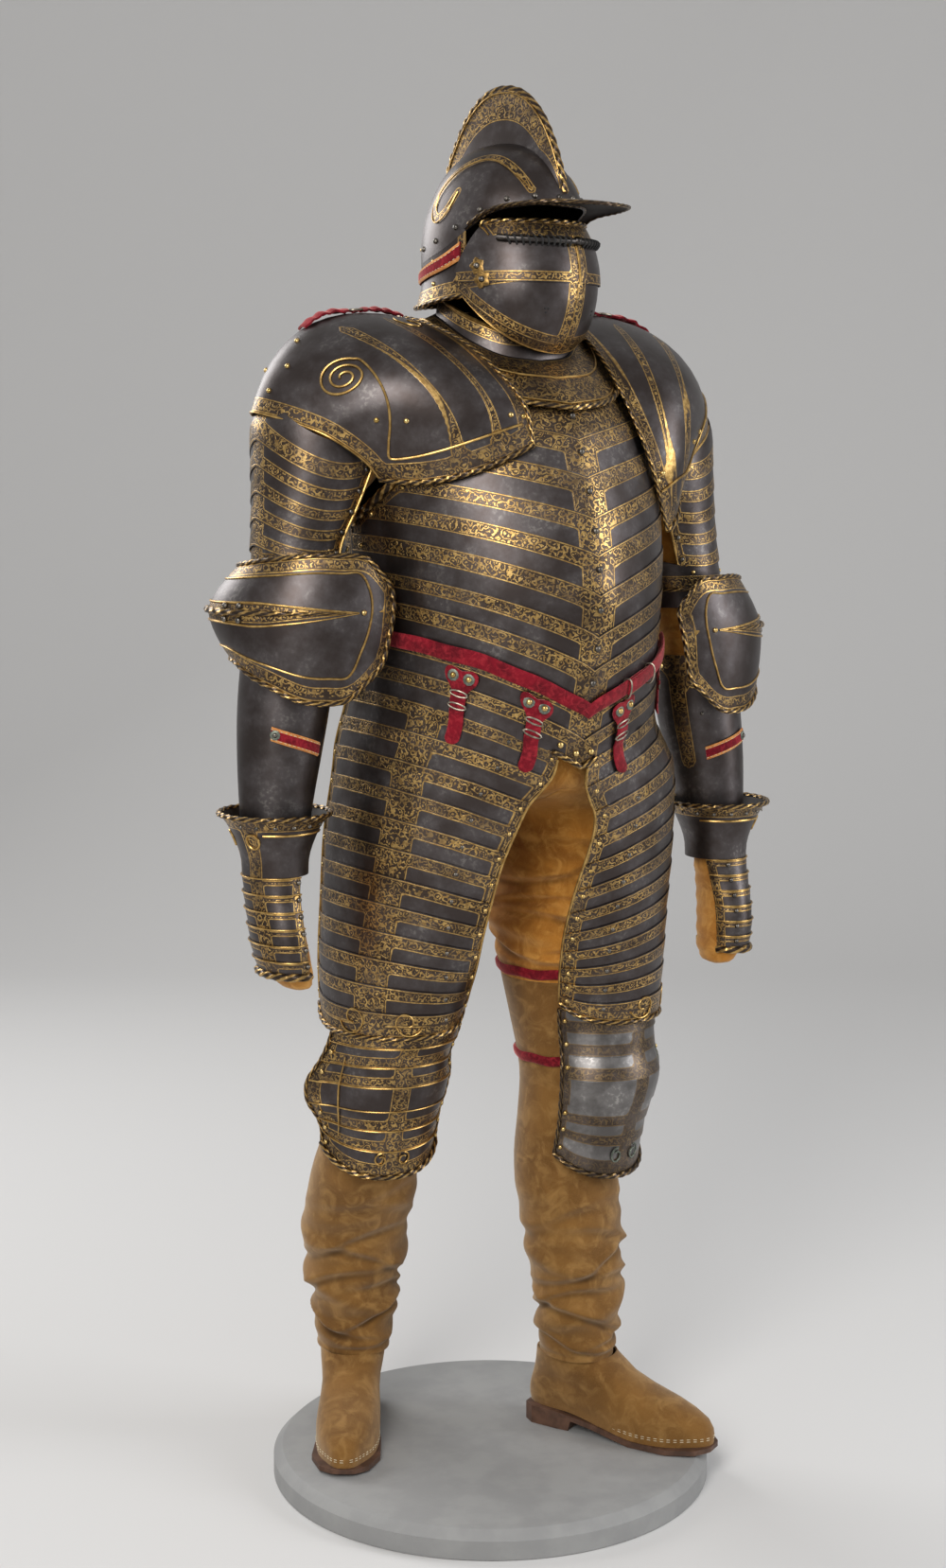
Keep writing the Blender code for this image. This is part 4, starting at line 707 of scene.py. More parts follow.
def foot_ring(side, rise, off=0.0):
    """One ring of the upper: rise 0 on the sole, 1 at the ankle."""
    centre, forward, outward = foot_frame(side)
    heel, toe = along(FOOT, "heel", rise) - off, along(FOOT, "toe", rise) + off
    middle, half = (heel + toe) / 2, (toe - heel) / 2
    place = middle + half * cosine(FOOT_ANGLES)
    swell = np.abs(sine(FOOT_ANGLES)) ** 0.85 * np.sign(sine(FOOT_ANGLES))
    sole = along(SOLE, "half_width", np.clip(place, -0.045, 0.190)) - 0.0025
    ankle = along(FOOT, "half_width", rise)
    share = np.clip(rise * 1.35, 0.0, 1.0)
    wide = sole * (1 - share) + ankle * share + off
    floor = sole_top(place) + SEAM
    z = floor + (ANKLE - 0.0005 - floor) * rise
    flat = centre + place[..., None] * forward + (wide * swell)[..., None] * outward
    return flat + z[..., None] * np.array([0.0, 0.0, 1.0])


TRUNK = table(
    "z half_width front back",
    (0.850, 0.196, 0.178, 0.168),
    (0.905, 0.198, 0.186, 0.170),
    (0.960, 0.196, 0.194, 0.166),
    (1.020, 0.194, 0.198, 0.156),
    (1.075, 0.1990, 0.202, 0.156),
)
BREECHES_TOP = 1.075
BREECHES_HEM = 0.656
CROTCH_TOP = 0.945
CROTCH_LOW = 0.868
POLEYN = {
    "right": table(
        "z out y half_width half_depth",
        (0.392, 0.146, 0.074, 0.0780, 0.0830),
        (0.440, 0.146, 0.062, 0.0775, 0.0830),
        (0.500, 0.146, 0.050, 0.0800, 0.0880),
        (0.530, 0.146, 0.044, 0.0830, 0.0930),
        (0.570, 0.144, 0.034, 0.0830, 0.0920),
        (0.600, 0.1405, 0.0240, 0.0854, 0.0986),
        (0.625, 0.1390, 0.0220, 0.0865, 0.1001),
    ),
    "left": table(
        "z out y half_width half_depth",
        (0.375, 0.124, -0.026, 0.0780, 0.0830),
        (0.430, 0.128, -0.036, 0.0775, 0.0830),
        (0.490, 0.132, -0.046, 0.0800, 0.0880),
        (0.520, 0.133, -0.050, 0.0830, 0.0930),
        (0.570, 0.134, -0.044, 0.0830, 0.0920),
        (0.600, 0.1355, -0.0360, 0.0852, 0.0984),
        (0.625, 0.1350, -0.0350, 0.0863, 0.0999),
    ),
}
POLEYN_EDGES = {
    "right": (0.622, 0.590, 0.562, 0.535, 0.500, 0.470, 0.440, 0.402),
    "left": (0.622, 0.590, 0.560, 0.528, 0.490, 0.460, 0.430, 0.386),
}
POLEYN_PROUD = (TUCKED, PROUD, PROUD, 0.006, 0.006, PROUD, PROUD, PROUD)
WING = 0.022


# Shader recipes, from here to the list of finishes

GOLD = (0.36, 0.215, 0.068, 1.0)
BRIGHT_GOLD = (0.60, 0.39, 0.135, 1.0)
ETCHED = (0.055, 0.038, 0.027, 1.0)


class Recipe:
    """A material in the making. Each call adds one node and gives back its first output."""

    def __init__(self, name):
        self.material = bpy.data.materials.new(name)
        self.material.use_nodes = True
        self.tree = self.material.node_tree
        self.shader = self.tree.nodes["Principled BSDF"]

    def feed(self, socket, value):
        if isinstance(value, bpy.types.NodeSocket):
            self.tree.links.new(value, socket)
        else:
            socket.default_value = value

    def node(self, kind, output=0, settings=None, **inputs):
        made = self.tree.nodes.new("ShaderNode" + kind)
        for key, value in (settings or {}).items():
            setattr(made, key, value)
        for key, value in inputs.items():
            self.feed(made.inputs[key], value)
        return made.outputs[output]

    def place(self):
        return self.node("TexCoord", "Object")

    def noise(self, scale, detail=3.0, roughness=0.55, distortion=0.0, where=None, output="Fac"):
        where = self.place() if where is None else where
        return self.node(
            "TexNoise", output,
            Vector=where, Scale=scale, Detail=detail, Roughness=roughness, Distortion=distortion,
        )

    def maths(self, operation, first, second=0.0, clamp=False):
        made = self.tree.nodes.new("ShaderNodeMath")
        made.operation = operation
        made.use_clamp = clamp
        self.feed(made.inputs[0], first)
        self.feed(made.inputs[1], second)
        return made.outputs[0]

    def times(self, first, second):
        return self.maths("MULTIPLY", first, second)

    def plus(self, first, second):
        return self.maths("ADD", first, second)

    def ramp(self, value, low, high):
        """0 below low, 1 above high, smooth between. low may be the greater."""
        made = self.tree.nodes.new("ShaderNodeMapRange")
        made.interpolation_type = "SMOOTHSTEP"
        self.feed(made.inputs["Value"], value)
        if low > high:
            low, high, ends = high, low, (1.0, 0.0)
        else:
            ends = (0.0, 1.0)
        made.inputs["From Min"].default_value = low
        made.inputs["From Max"].default_value = high
        made.inputs["To Min"].default_value = ends[0]
        made.inputs["To Max"].default_value = ends[1]
        return made.outputs["Result"]

    def mix(self, share, first, second):
        made = self.tree.nodes.new("ShaderNodeMix")
        made.data_type = "RGBA"
        self.feed(made.inputs[0], share)
        self.feed(made.inputs[6], first)
        self.feed(made.inputs[7], second)
        return made.outputs[2]

    def attribute(self, name):
        return self.node("Attribute", "Fac", {"attribute_name": name})

    def bump(self, height, distance, strength=1.0):
        self.feed(
            self.shader.inputs["Normal"],
            self.node("Bump", Height=height, Distance=distance, Strength=strength),
        )

    def finish(self, **inputs):
        for key, value in inputs.items():
            self.feed(self.shader.inputs[key.replace("_", " ")], value)
        return self.material


def worn_plate(recipe, colours, mottle_scale):
    """The bare steel's colour: two browns or greys in clouds, with rubbed spots."""
    clouds = recipe.noise(mottle_scale, 5.0, 0.62)
    fine = recipe.noise(170.0, 3.0, 0.6)
    dark, mid, rubbed = colours
    base = recipe.mix(recipe.ramp(clouds, 0.36, 0.64), dark, mid)
    spots = recipe.times(recipe.ramp(clouds, 0.50, 0.72), recipe.ramp(fine, 0.46, 0.66))
    return recipe.mix(spots, base, rubbed), clouds, fine


def gilded_steel(name, colours, gold_left=1.0, mottle_scale=17.0):
    """Steel with etched and gilt bands: gold where the `gild` attribute is a line, scrolls further in."""
    recipe = Recipe(name)
    steel, clouds, fine = worn_plate(recipe, colours, mottle_scale)
    depth = recipe.attribute("gild")
    place = recipe.place()
    swirl = recipe.noise(120.0, 2.0, 0.5, 0.0, place, "Color")
    shift = recipe.node("VectorMath", 0, {"operation": "SUBTRACT"})
    shift_node = shift.node
    recipe.feed(shift_node.inputs[0], swirl)
    shift_node.inputs[1].default_value = (0.5, 0.5, 0.5)
    scaled = recipe.node("VectorMath", 0, {"operation": "SCALE"}, Scale=0.010)
    recipe.feed(scaled.node.inputs[0], shift)
    moved = recipe.node("VectorMath", 0, {"operation": "ADD"})
    recipe.feed(moved.node.inputs[0], place)
    recipe.feed(moved.node.inputs[1], scaled)
    cells = recipe.node("TexVoronoi", "Distance", {"feature": "F1"}, Vector=moved, Scale=118.0)
    curls = recipe.maths("SINE", recipe.times(cells, 15.0))
    leaf = recipe.plus(curls, recipe.times(recipe.maths("SUBTRACT", fine, 0.5), 2.4))
    scroll = recipe.ramp(leaf, -0.05, 0.45)
    line = recipe.times(recipe.ramp(depth, 0.0, 0.0003), recipe.ramp(depth, 0.0019, 0.0015))
    field = recipe.ramp(depth, 0.0024, 0.0029)
    rubbed = recipe.noise(26.0, 3.0, 0.6)
    keep = recipe.ramp(rubbed, 0.30, 0.62)
    line_keep = recipe.plus(0.62, recipe.times(keep, 0.38))
    scroll_keep = recipe.plus(0.26, recipe.times(keep, 0.62))
    gold_share = recipe.maths(
        "ADD",
        recipe.times(line, line_keep),
        recipe.times(recipe.times(field, scroll), scroll_keep),
        clamp=True,
    )
    gold_share = recipe.times(gold_share, gold_left)
    inside = recipe.ramp(depth, 0.0, 0.0003)
    gold = recipe.mix(recipe.ramp(fine, 0.40, 0.62), GOLD, BRIGHT_GOLD)
    ground = recipe.mix(recipe.ramp(clouds, 0.40, 0.60), ETCHED, (0.095, 0.070, 0.055, 1.0))
    ground = recipe.mix(recipe.times(inside, 0.85), steel, ground)
    colour = recipe.mix(gold_share, ground, gold)
    height = recipe.plus(recipe.times(gold_share, 0.6), recipe.times(fine, 0.30))
    recipe.bump(height, 0.0004, 0.8)
    roughness = recipe.plus(0.27, recipe.times(clouds, 0.26))
    roughness = recipe.plus(roughness, recipe.times(gold_share, -0.04))
    return recipe.finish(Base_Color=colour, Metallic=0.92, Roughness=roughness)


def roped_gilt(name, gold_left=1.0):
    """A turned edge cut as a rope: rubbed gold on the strands, and painted shade that darkens the grooves
    between them.
    """
    recipe = Recipe(name)
    depth = recipe.attribute("gild")
    patches = recipe.noise(38.0, 3.0, 0.6)
    # Painted shade: where the gild wave runs low, between the strands, the gold gives way to a dark brown.
    strand = recipe.ramp(depth, -0.25, 0.45)
    keep = recipe.times(recipe.ramp(patches, 0.30, 0.60), gold_left)
    share = recipe.times(strand, recipe.plus(0.25 * gold_left, recipe.times(keep, 0.75)))
    colour = recipe.mix(share, (0.050, 0.036, 0.028, 1.0), recipe.mix(patches, GOLD, BRIGHT_GOLD))
    recipe.bump(recipe.noise(420.0), 0.0002, 0.6)
    return recipe.finish(Base_Color=colour, Metallic=0.92, Roughness=0.36)


def metal(name, dark, light, roughness, scale=60.0, metallic=1.0):
    """A plain metal or paint, clouded between two colours."""
    recipe = Recipe(name)
    clouds = recipe.noise(scale, 4.0, 0.6)
    recipe.bump(recipe.noise(scale * 6.0), 0.0002, 0.5)
    rough = recipe.plus(roughness - 0.1, recipe.times(clouds, 0.2))
    colour = recipe.mix(recipe.ramp(clouds, 0.35, 0.65), dark, light)
    return recipe.finish(Base_Color=colour, Metallic=metallic, Roughness=rough)


def napped(name, dark, mid, light, sheen, scale=14.0, grain=900.0, streaks=0.0):
    """Suede or velvet: cloudy colour, a fine nap, a soft sheen at grazing angles and painted shade in the
    creases.
    """
    recipe = Recipe(name)
    clouds = recipe.noise(scale, 5.0, 0.60, 0.6)
    patches = recipe.noise(scale * 3.7, 4.0, 0.62, 0.9)
    nap = recipe.noise(grain, 3.0, 0.7)
    colour = recipe.mix(recipe.ramp(clouds, 0.34, 0.66), dark, mid)
    colour = recipe.mix(recipe.times(recipe.ramp(patches, 0.42, 0.72), 0.75), colour, light)
    colour = recipe.mix(recipe.times(recipe.ramp(nap, 0.40, 0.75), 0.22), colour, light)
    if streaks:
        worn = recipe.times(recipe.ramp(recipe.noise(scale * 1.9, 6.0, 0.7), 0.58, 0.74), streaks)
        colour = recipe.mix(worn, colour, dark)
    # Painted shade: the colour darkens towards 0.42 of the dark tone where the hollow attribute says the cloth
    # lies deep in a crease.
    hollow = recipe.times(recipe.ramp(recipe.attribute("hollow"), 0.0008, 0.0060), 0.80)
    colour = recipe.mix(hollow, colour, tuple(0.42 * value for value in dark[:3]) + (1.0,))
    height = recipe.plus(recipe.times(patches, 0.7), recipe.times(nap, 0.3))
    recipe.bump(height, 0.0009, 0.55)
    weight, tint, rough = sheen
    recipe.shader.inputs["Sheen Weight"].default_value = weight
    recipe.shader.inputs["Sheen Tint"].default_value = tint
    recipe.shader.inputs["Sheen Roughness"].default_value = rough
    recipe.shader.inputs["Specular IOR Level"].default_value = 0.15
    return recipe.finish(Base_Color=colour, Roughness=0.92)


RUSSET = ((0.056, 0.045, 0.042, 1.0), (0.094, 0.083, 0.083, 1.0), (0.19, 0.175, 0.165, 1.0))
WORN = ((0.120, 0.112, 0.108, 1.0), (0.21, 0.20, 0.195, 1.0), (0.42, 0.40, 0.385, 1.0))
PAINTS = {
    "russet": gilded_steel("russet_gilt_steel", RUSSET),
    "worn": gilded_steel("worn_gilt_steel", WORN, 0.22, 24.0),
    "lining": metal("plate_lining", (0.030, 0.026, 0.024, 1.0), (0.050, 0.045, 0.042, 1.0), 0.62),
    "rope": roped_gilt("roped_edge"),
    "dull_rope": roped_gilt("roped_edge_rubbed", 0.35),
    "gold": metal("raised_gilt_line", GOLD, BRIGHT_GOLD, 0.34, 90.0),
    "brass": metal("brass_rivets", (0.42, 0.27, 0.08, 1.0), (0.72, 0.52, 0.22, 1.0), 0.32, 150.0),
    "iron": metal("steel_rivets", (0.085, 0.078, 0.070, 1.0), (0.20, 0.18, 0.155, 1.0), 0.36, 150.0),
    "bar": metal("sight_bar_steel", (0.040, 0.036, 0.034, 1.0), (0.095, 0.086, 0.080, 1.0), 0.36, 120.0),
    "rope_lobe": metal("gilt_lobes", (0.14, 0.088, 0.036, 1.0), GOLD, 0.40, 260.0),
    "buckle": metal("buckle_steel", (0.20, 0.175, 0.14, 1.0), (0.42, 0.37, 0.29, 1.0), 0.40, 120.0),
    "washer": metal("rosette_discs", (0.085, 0.100, 0.080, 1.0), (0.20, 0.22, 0.18, 1.0), 0.48, 200.0, 0.7),
    "velvet": napped(
        "crimson_velvet", (0.085, 0.003, 0.008, 1.0), (0.185, 0.005, 0.014, 1.0), (0.33, 0.022, 0.032, 1.0),
        (0.75, (0.95, 0.35, 0.33, 1.0), 0.38), 34.0, 1400.0
    ),
    "edging": napped(
        "orange_edging", (0.42, 0.13, 0.03, 1.0), (0.58, 0.24, 0.06, 1.0), (0.70, 0.36, 0.14, 1.0),
        (0.3, (1.0, 0.8, 0.6, 1.0), 0.5), 60.0
    ),
    "suede": napped(
        "ochre_suede", (0.27, 0.100, 0.014, 1.0), (0.49, 0.205, 0.032, 1.0), (0.60, 0.30, 0.068, 1.0),
        (0.35, (1.0, 0.86, 0.62, 1.0), 0.5), 11.0, 800.0, 0.55
    ),
    "boot": napped(
        "boot_suede_tan", (0.125, 0.056, 0.013, 1.0), (0.205, 0.098, 0.024, 1.0), (0.30, 0.165, 0.052, 1.0),
        (0.32, (1.0, 0.88, 0.70, 1.0), 0.5), 10.0, 800.0, 0.5
    ),
    "thread": napped(
        "pale_thread", (0.55, 0.45, 0.28, 1.0), (0.70, 0.60, 0.42, 1.0), (0.80, 0.72, 0.55, 1.0),
        (0.2, (1.0, 1.0, 0.9, 1.0), 0.5), 200.0
    ),
    "sole": metal("sole_leather_brown", (0.060, 0.028, 0.016, 1.0), (0.115, 0.055, 0.032, 1.0), 0.58, 40.0, 0.0),
    "paint": metal("grey_base_paint", (0.250, 0.250, 0.248, 1.0), (0.285, 0.285, 0.280, 1.0), 0.62, 18.0, 0.0),
    "dark": metal("deep_shadow", (0.010, 0.009, 0.009, 1.0), (0.016, 0.015, 0.014, 1.0), 0.85, 30.0, 0.0),
}


# Geometry in the making

BARE = -0.01
UP = np.array([0.0, 0.0, 1.0])
GROOVE = 0.0052  # between two strands of a roped edge
FINE_GROOVE = 0.0048
TURNED_EDGE = 0.0034  # the radius of a roped edge
WIDE_EDGE = 0.0036
SLIM_EDGE = 0.0032
FINE_EDGE = 0.0026
FINE_LINE = 0.0010  # the radius of a raised gold line
BOLD_LINE = 0.0016
BORDER_LINE = 0.0018
INSET = 0.002  # from a plate's edge to its gilt band
DEEP_INSET = 0.003
SMALL_RIVET = 0.0030
RIVET = 0.0034
WIDE_RIVET = 0.0036
LARGE_RIVET = 0.0042


def normals(grid, inside, wrap=False):
    """Unit normals over a grid of points, all on the side away from inside."""
    padded = np.concatenate([grid[:, -1:], grid, grid[:, :1]], axis=1) if wrap else grid
    across = np.gradient(padded, axis=1)
    down = np.gradient(padded, axis=0)
    if wrap:
        across, down = across[:, 1:-1], down[:, 1:-1]
    normal = np.cross(across, down)
    normal /= np.maximum(np.linalg.norm(normal, axis=-1, keepdims=True), 1e-9)
    return normal * (1.0 if np.sum(normal * (grid - inside)) > 0 else -1.0)


def lengths(grid):
    """How far each point lies from the first row down its column, and from the first column along its row."""
    down = np.linalg.norm(np.diff(grid, axis=0), axis=-1)
    across = np.linalg.norm(np.diff(grid, axis=1), axis=-1)
    down = np.concatenate([np.zeros((1, grid.shape[1])), np.cumsum(down, axis=0)])
    across = np.concatenate([np.zeros((grid.shape[0], 1)), np.cumsum(across, axis=1)], axis=1)
    return down, across


def banded(grid, *bands):
    """How deep each point lies in the nearest band. A band is (edge, start, end), measured from that edge."""
    down, across = lengths(grid)
    measure = {
        "top": down,
        "bottom": down[-1:] - down,
        "first": across,
        "last": across[:, -1:] - across,
    }
    depths = [np.minimum(measure[which] - start, end - measure[which]) for which, start, end in bands]
    return np.max(depths, axis=0)


def cells_over(index):
    """The corners of each cell between the neighbouring rows and columns of an index grid."""
    corners = [index[:-1, :-1], index[:-1, 1:], index[1:, 1:], index[1:, :-1]]
    return np.stack(corners, axis=-1).reshape(-1, 4)


def spiral(centre, reach, closing, start, sweep, count, scale):
    """Places along a spiral: its reach shrinks by the closing share as it turns through sweep degrees."""
    step = np.linspace(0.0, 1.0, count)
    away = reach * (1 - closing * step)
    turn = start + sweep * step
    first, second = away * cosine(turn) / scale[0], away * sine(turn) / scale[1]
    return np.stack([centre[0] + first, centre[1] + second], axis=-1)


def smooth_path(corners, spacing, closed=False):
    """Points at even spacing along a smooth curve through the corners."""
    corners = np.asarray(corners, float)
    if closed:
        corners = np.concatenate([corners, corners[:1]])
    keys = np.concatenate([[0.0], np.cumsum(np.linalg.norm(np.diff(corners, axis=0), axis=1))])
    count = max(int(keys[-1] / spacing), 3)
    where = np.linspace(0.0, keys[-1], count + 1)
    rows = {"key": keys, "x": corners[:, 0], "y": corners[:, 1], "z": corners[:, 2]}
    path = np.stack([along(rows, axis, where) for axis in "xyz"], axis=-1)
    return path[:-1] if closed else path


class Piece:
    """One object in the making. Each point carries how deep it lies in the gilding, in metres."""

    def __init__(self, name):
        self.name = name
        self.paints = []
        self.crease_shades = None
        self.corners, self.depths, self.faces, self.kinds = [], [], [], []
        self.count = 0

    def shade(self, values):
        """How deep the cloth's points lie in its creases, in metres, for the wall that was added last. The
        cloth's material paints shade into the creases from these depths.
        """
        self.crease_shades = np.concatenate([np.asarray(values).reshape(-1)] * 2)

    def add(self, corners, faces, kind, depth=BARE):
        corners = np.asarray(corners, float).reshape(-1, 3)
        if kind not in self.paints:
            self.paints.append(kind)
        self.depths.append(np.broadcast_to(np.asarray(depth, float).reshape(-1), (len(corners),)))
        self.corners.append(corners)
        self.faces.append(np.asarray(faces) + self.count)
        self.kinds.append(np.full(len(faces), self.paints.index(kind)))
        self.count += len(corners)

    def wall(self, grid, inside, kind="russet", depth=BARE, thick=0.0014, wrap=False, lining="lining"):
        """A closed wall under a grid of points: its face, its lining and its rims."""
        rows, columns = grid.shape[:2]
        away = normals(grid, inside, wrap)
        back = grid - away * thick
        index = np.arange(rows * columns).reshape(rows, columns)
        if wrap:
            index = np.concatenate([index, index[:, :1]], axis=1)
        cells = cells_over(index)
        if wrap:
            loops = [index[0], index[-1, ::-1]]
        else:
            loops = [np.concatenate([index[0], index[1:, -1], index[-1, ::-1][1:], index[::-1, 0][1:]])]
        total = rows * columns
        rims = []
        for loop in loops:
            rims.append(np.stack([loop[1:], loop[:-1], loop[:-1] + total, loop[1:] + total], axis=-1))
        flat = grid.reshape(-1, 3)
        facing = np.cross(flat[cells[:, 1]] - flat[cells[:, 0]], flat[cells[:, 3]] - flat[cells[:, 0]])
        if np.sum(facing * away.reshape(-1, 3)[cells[:, 0]]) < 0:
            cells = cells[:, ::-1]
            rims = [rim[:, ::-1] for rim in rims]
        both = np.concatenate([flat, back.reshape(-1, 3)])
        depth = np.broadcast_to(depth, (rows, columns)).reshape(-1)
        depth = np.concatenate([depth, depth])
        start = self.count
        self.add(both, np.concatenate([cells, *rims]), kind, depth)
        if lining not in self.paints:
            self.paints.append(lining)
        self.faces.append(cells[:, ::-1] + total + start)
        self.kinds.append(np.full(len(cells), self.paints.index(lining)))

    def trim(self, kind, columns, strips):
        """Another finish for some rows of cells on the wall that was added last."""
        if kind not in self.paints:
            self.paints.append(kind)
        for kinds in self.kinds[-2:]:
            for strip in strips:
                kinds[strip * columns:(strip + 1) * columns] = self.paints.index(kind)

    def rope(self, corners, radius, groove=GROOVE, kind="rope", **more):
        """A turned edge cut as a rope, with a groove's spacing between its strands."""
        self.tube(corners, radius, kind, groove=groove, **more)

    def tube(
        self, corners, radius, kind="gold", closed=False, groove=0.0, sides=8, flat=1.0, ends=1.0, ref=UP
    ):
        """A tube along a smooth curve. It is plain where groove is 0, and ends is its tips' share of radius."""
        spacing = groove / 3.2 if groove else max(radius * 1.3, 0.003)
        path = smooth_path(corners, spacing, closed)
        count = len(path)
        ahead = np.roll(path, -1, axis=0) - np.roll(path, 1, axis=0)
        if not closed:
            ahead[0], ahead[-1] = path[1] - path[0], path[-1] - path[-2]
        ahead /= np.maximum(np.linalg.norm(ahead, axis=1, keepdims=True), 1e-9)
        side = np.cross(ahead[0], ref)
        if np.linalg.norm(side) < 0.2:
            side = np.cross(ahead[0], np.array([0.0, 1.0, 0.0]))
        sidelong = []
        for direction in ahead:
            side = side - direction * np.dot(side, direction)
            side = side / np.linalg.norm(side)
            sidelong.append(side)
        sidelong = np.array(sidelong)
        upward = np.cross(sidelong, ahead)
        turn = np.arange(sides) * 2 * math.pi / sides
        place = np.arange(count)[:, None] * spacing
        wave = np.cos(3 * turn - 2 * math.pi * place / (3 * groove)) if groove else np.ones((count, sides))
        strands = 1.0 + 0.13 * wave if groove else wave
        taper = np.ones(count)
        if not closed:
            steps = np.minimum(np.arange(count), np.arange(count)[::-1])
            taper = np.clip(ends + (1 - ends) * steps / max(count * 0.35, 1.0), 0.0, 1.0)
        reach = radius * strands * taper[:, None]
        ring = (
            path[:, None]
            + sidelong[:, None] * (reach * np.cos(turn))[..., None]
            + upward[:, None] * (reach * flat * np.sin(turn))[..., None]
        )
        index = np.arange(count * sides).reshape(count, sides)
        index = np.concatenate([index, index[:, :1]], axis=1)
        if closed:
            index = np.concatenate([index, index[:1]])
        cells = cells_over(index)[:, [0, 3, 2, 1]]
        self.add(ring, cells, kind, wave)
        if not closed:
            for row in (0, count - 1):
                cap = np.concatenate([ring[row], path[row][None]])
                self.add(cap, cap_cells(sides, row == 0), kind, 0.5)

    def stud(self, centre, away, radius, kind="brass", height=0.6, scallop=0):
        """A domed rivet head standing on a surface."""
        away = np.asarray(away, float) / np.linalg.norm(away)
        side = np.cross(away, UP if abs(away[2]) < 0.9 else np.array([1.0, 0.0, 0.0]))
        side /= np.linalg.norm(side)
        up = np.cross(side, away)
        sides = 10 if not scallop else 4 * scallop
        turn = np.arange(sides) * 2 * math.pi / sides
        swell = 1.0 + (0.16 * np.cos(scallop * turn) if scallop else 0.0)
        rings = []
        for reach, lift in ((1.0, -0.25), (1.0, 0.10), (0.86, 0.55), (0.55, 0.88), (0.12, 1.0)):
            flat = reach * radius * swell
            ring = centre + away * lift * height * radius + np.outer(flat * np.cos(turn), side)
            rings.append(ring + np.outer(flat * np.sin(turn), up))
        index = np.arange(5 * sides).reshape(5, sides)
        index = np.concatenate([index, index[:, :1]], axis=1)
        cells = cells_over(index)
        self.add(np.concatenate(rings), cells, kind)
        top = rings[-1]
        crown = top.mean(axis=0, keepdims=True) + away * 0.0001
        self.add(np.concatenate([top, crown]), cap_cells(sides, False), kind)

    def build(self, replaced=(), body="root", sharp=42.0):
        mesh = bpy.data.meshes.new(self.name)
        faces = [face for group in self.faces for face in group.tolist()]
        corners = np.concatenate(self.corners) + UP * BASE_HEIGHT
        mesh.from_pydata(corners.tolist(), [], faces)
        # The hollow attribute carries the depths for the painted shade in the cloth's creases.
        for name, values in (("gild", np.concatenate(self.depths)), ("hollow", self.crease_shades)):
            if values is not None:
                layer = mesh.attributes.new(name, "FLOAT", "POINT")
                layer.data.foreach_set("value", values.astype(np.float32))
        mesh.polygons.foreach_set("material_index", np.concatenate(self.kinds).astype(np.int32))
        mesh.polygons.foreach_set("use_smooth", np.ones(len(faces), bool))
        mesh.set_sharp_from_angle(angle=math.radians(sharp))
        for paint in self.paints:
            mesh.materials.append(PAINTS[paint])
        mesh.validate()
        piece = bpy.data.objects.new(self.name, mesh)
        bpy.context.scene.collection.objects.link(piece)
        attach(piece, body)
        if replaced:
            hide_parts(*replaced)
        return piece


def cap_cells(sides, turned):
    """The triangles between a ring of points and the one point that follows them."""
    ring = np.arange(sides)
    cells = np.stack([ring, np.roll(ring, -1), np.full(sides, sides)], axis=-1)
    return cells[:, ::-1] if turned else cells


# Torso: lames whose top edges stand over their neighbours', each with gilding on its upper half

LAME_SHARES = np.array([0.0, 0.025, 0.06, 0.25, 0.44, 0.50, 0.56, 0.78, 1.0, 1.10])
CENTRE_BAND = 0.024
EDGE_LINE = 0.0012
ROPE = 0.0031


def armhole_reach(v):
    """How far round the front a lame at v runs, in degrees, up to the armhole."""
    return float(np.interp(v + along(EDGES, "rise", v), ARMHOLE["z"], ARMHOLE["reach"]))


def torso_row(v, middle, off):
    """One row of a torso plate, closer together about its centre band, and each point's distance across."""
    wide = float(along(TORSO, "half_width", v))
    centre = np.degrees(np.arcsin(np.array([0.0, 0.010, 0.0215, CENTRE_BAND]) / wide))
    outer = np.linspace(centre[-1], armhole_reach(v), 26)[1:]
    half = np.concatenate([centre, outer])
    angle = np.concatenate([-half[:0:-1], half])
    return torso(middle + angle, edge(v, middle + angle), off), wide * sine(angle)


def torso_lames(piece, edges, middle, full_first=False):
    """A wall for each lame between two edge lines, gilt over its upper half, its middle and the armhole."""
    for i in range(len(edges) - 1):
        grid, across = [], []
        for share in LAME_SHARES:
            v = edges[i] + (edges[i + 1] - edges[i]) * share
            row, place = torso_row(v, middle, PROUD + (TUCKED - PROUD) * share)
            grid.append(row)
            across.append(place)
        grid, across = np.array(grid), np.array(across)
        down, _ = lengths(grid)
        height = down[-2]
        share = LAME_SHARES[:, None]
        band = np.minimum(down - EDGE_LINE, (0.52 - share) * height)
        if full_first and i == 0:
            band = down - EDGE_LINE
        depth = np.maximum(band, np.minimum(CENTRE_BAND - np.abs(across), down - EDGE_LINE))
        if armhole_reach(edges[i]) < 80.0:
            depth = np.maximum(depth, banded(grid, ("first", 0.004, 0.022), ("last", 0.004, 0.022)))
        piece.wall(grid, np.array([TORSO_X, 0.0, 1.2]), depth=depth)


def armhole_rope(piece, sign):
    """The roped edge of one armhole, up the front and down the back."""
    path = []
    levels = np.linspace(BREAST_EDGES[0] + 0.004, 1.203, 14)
    for v in levels:
        angle = sign * armhole_reach(v)
        path.append(torso(angle, edge(v, angle), 0.0042))
    for v in levels[::-1]:
        angle = 180.0 - sign * armhole_reach(v)
        path.append(torso(angle, edge(v, angle), 0.0042))
    piece.tube(path, 0.0056, "rope", groove=0.0072, sides=10)


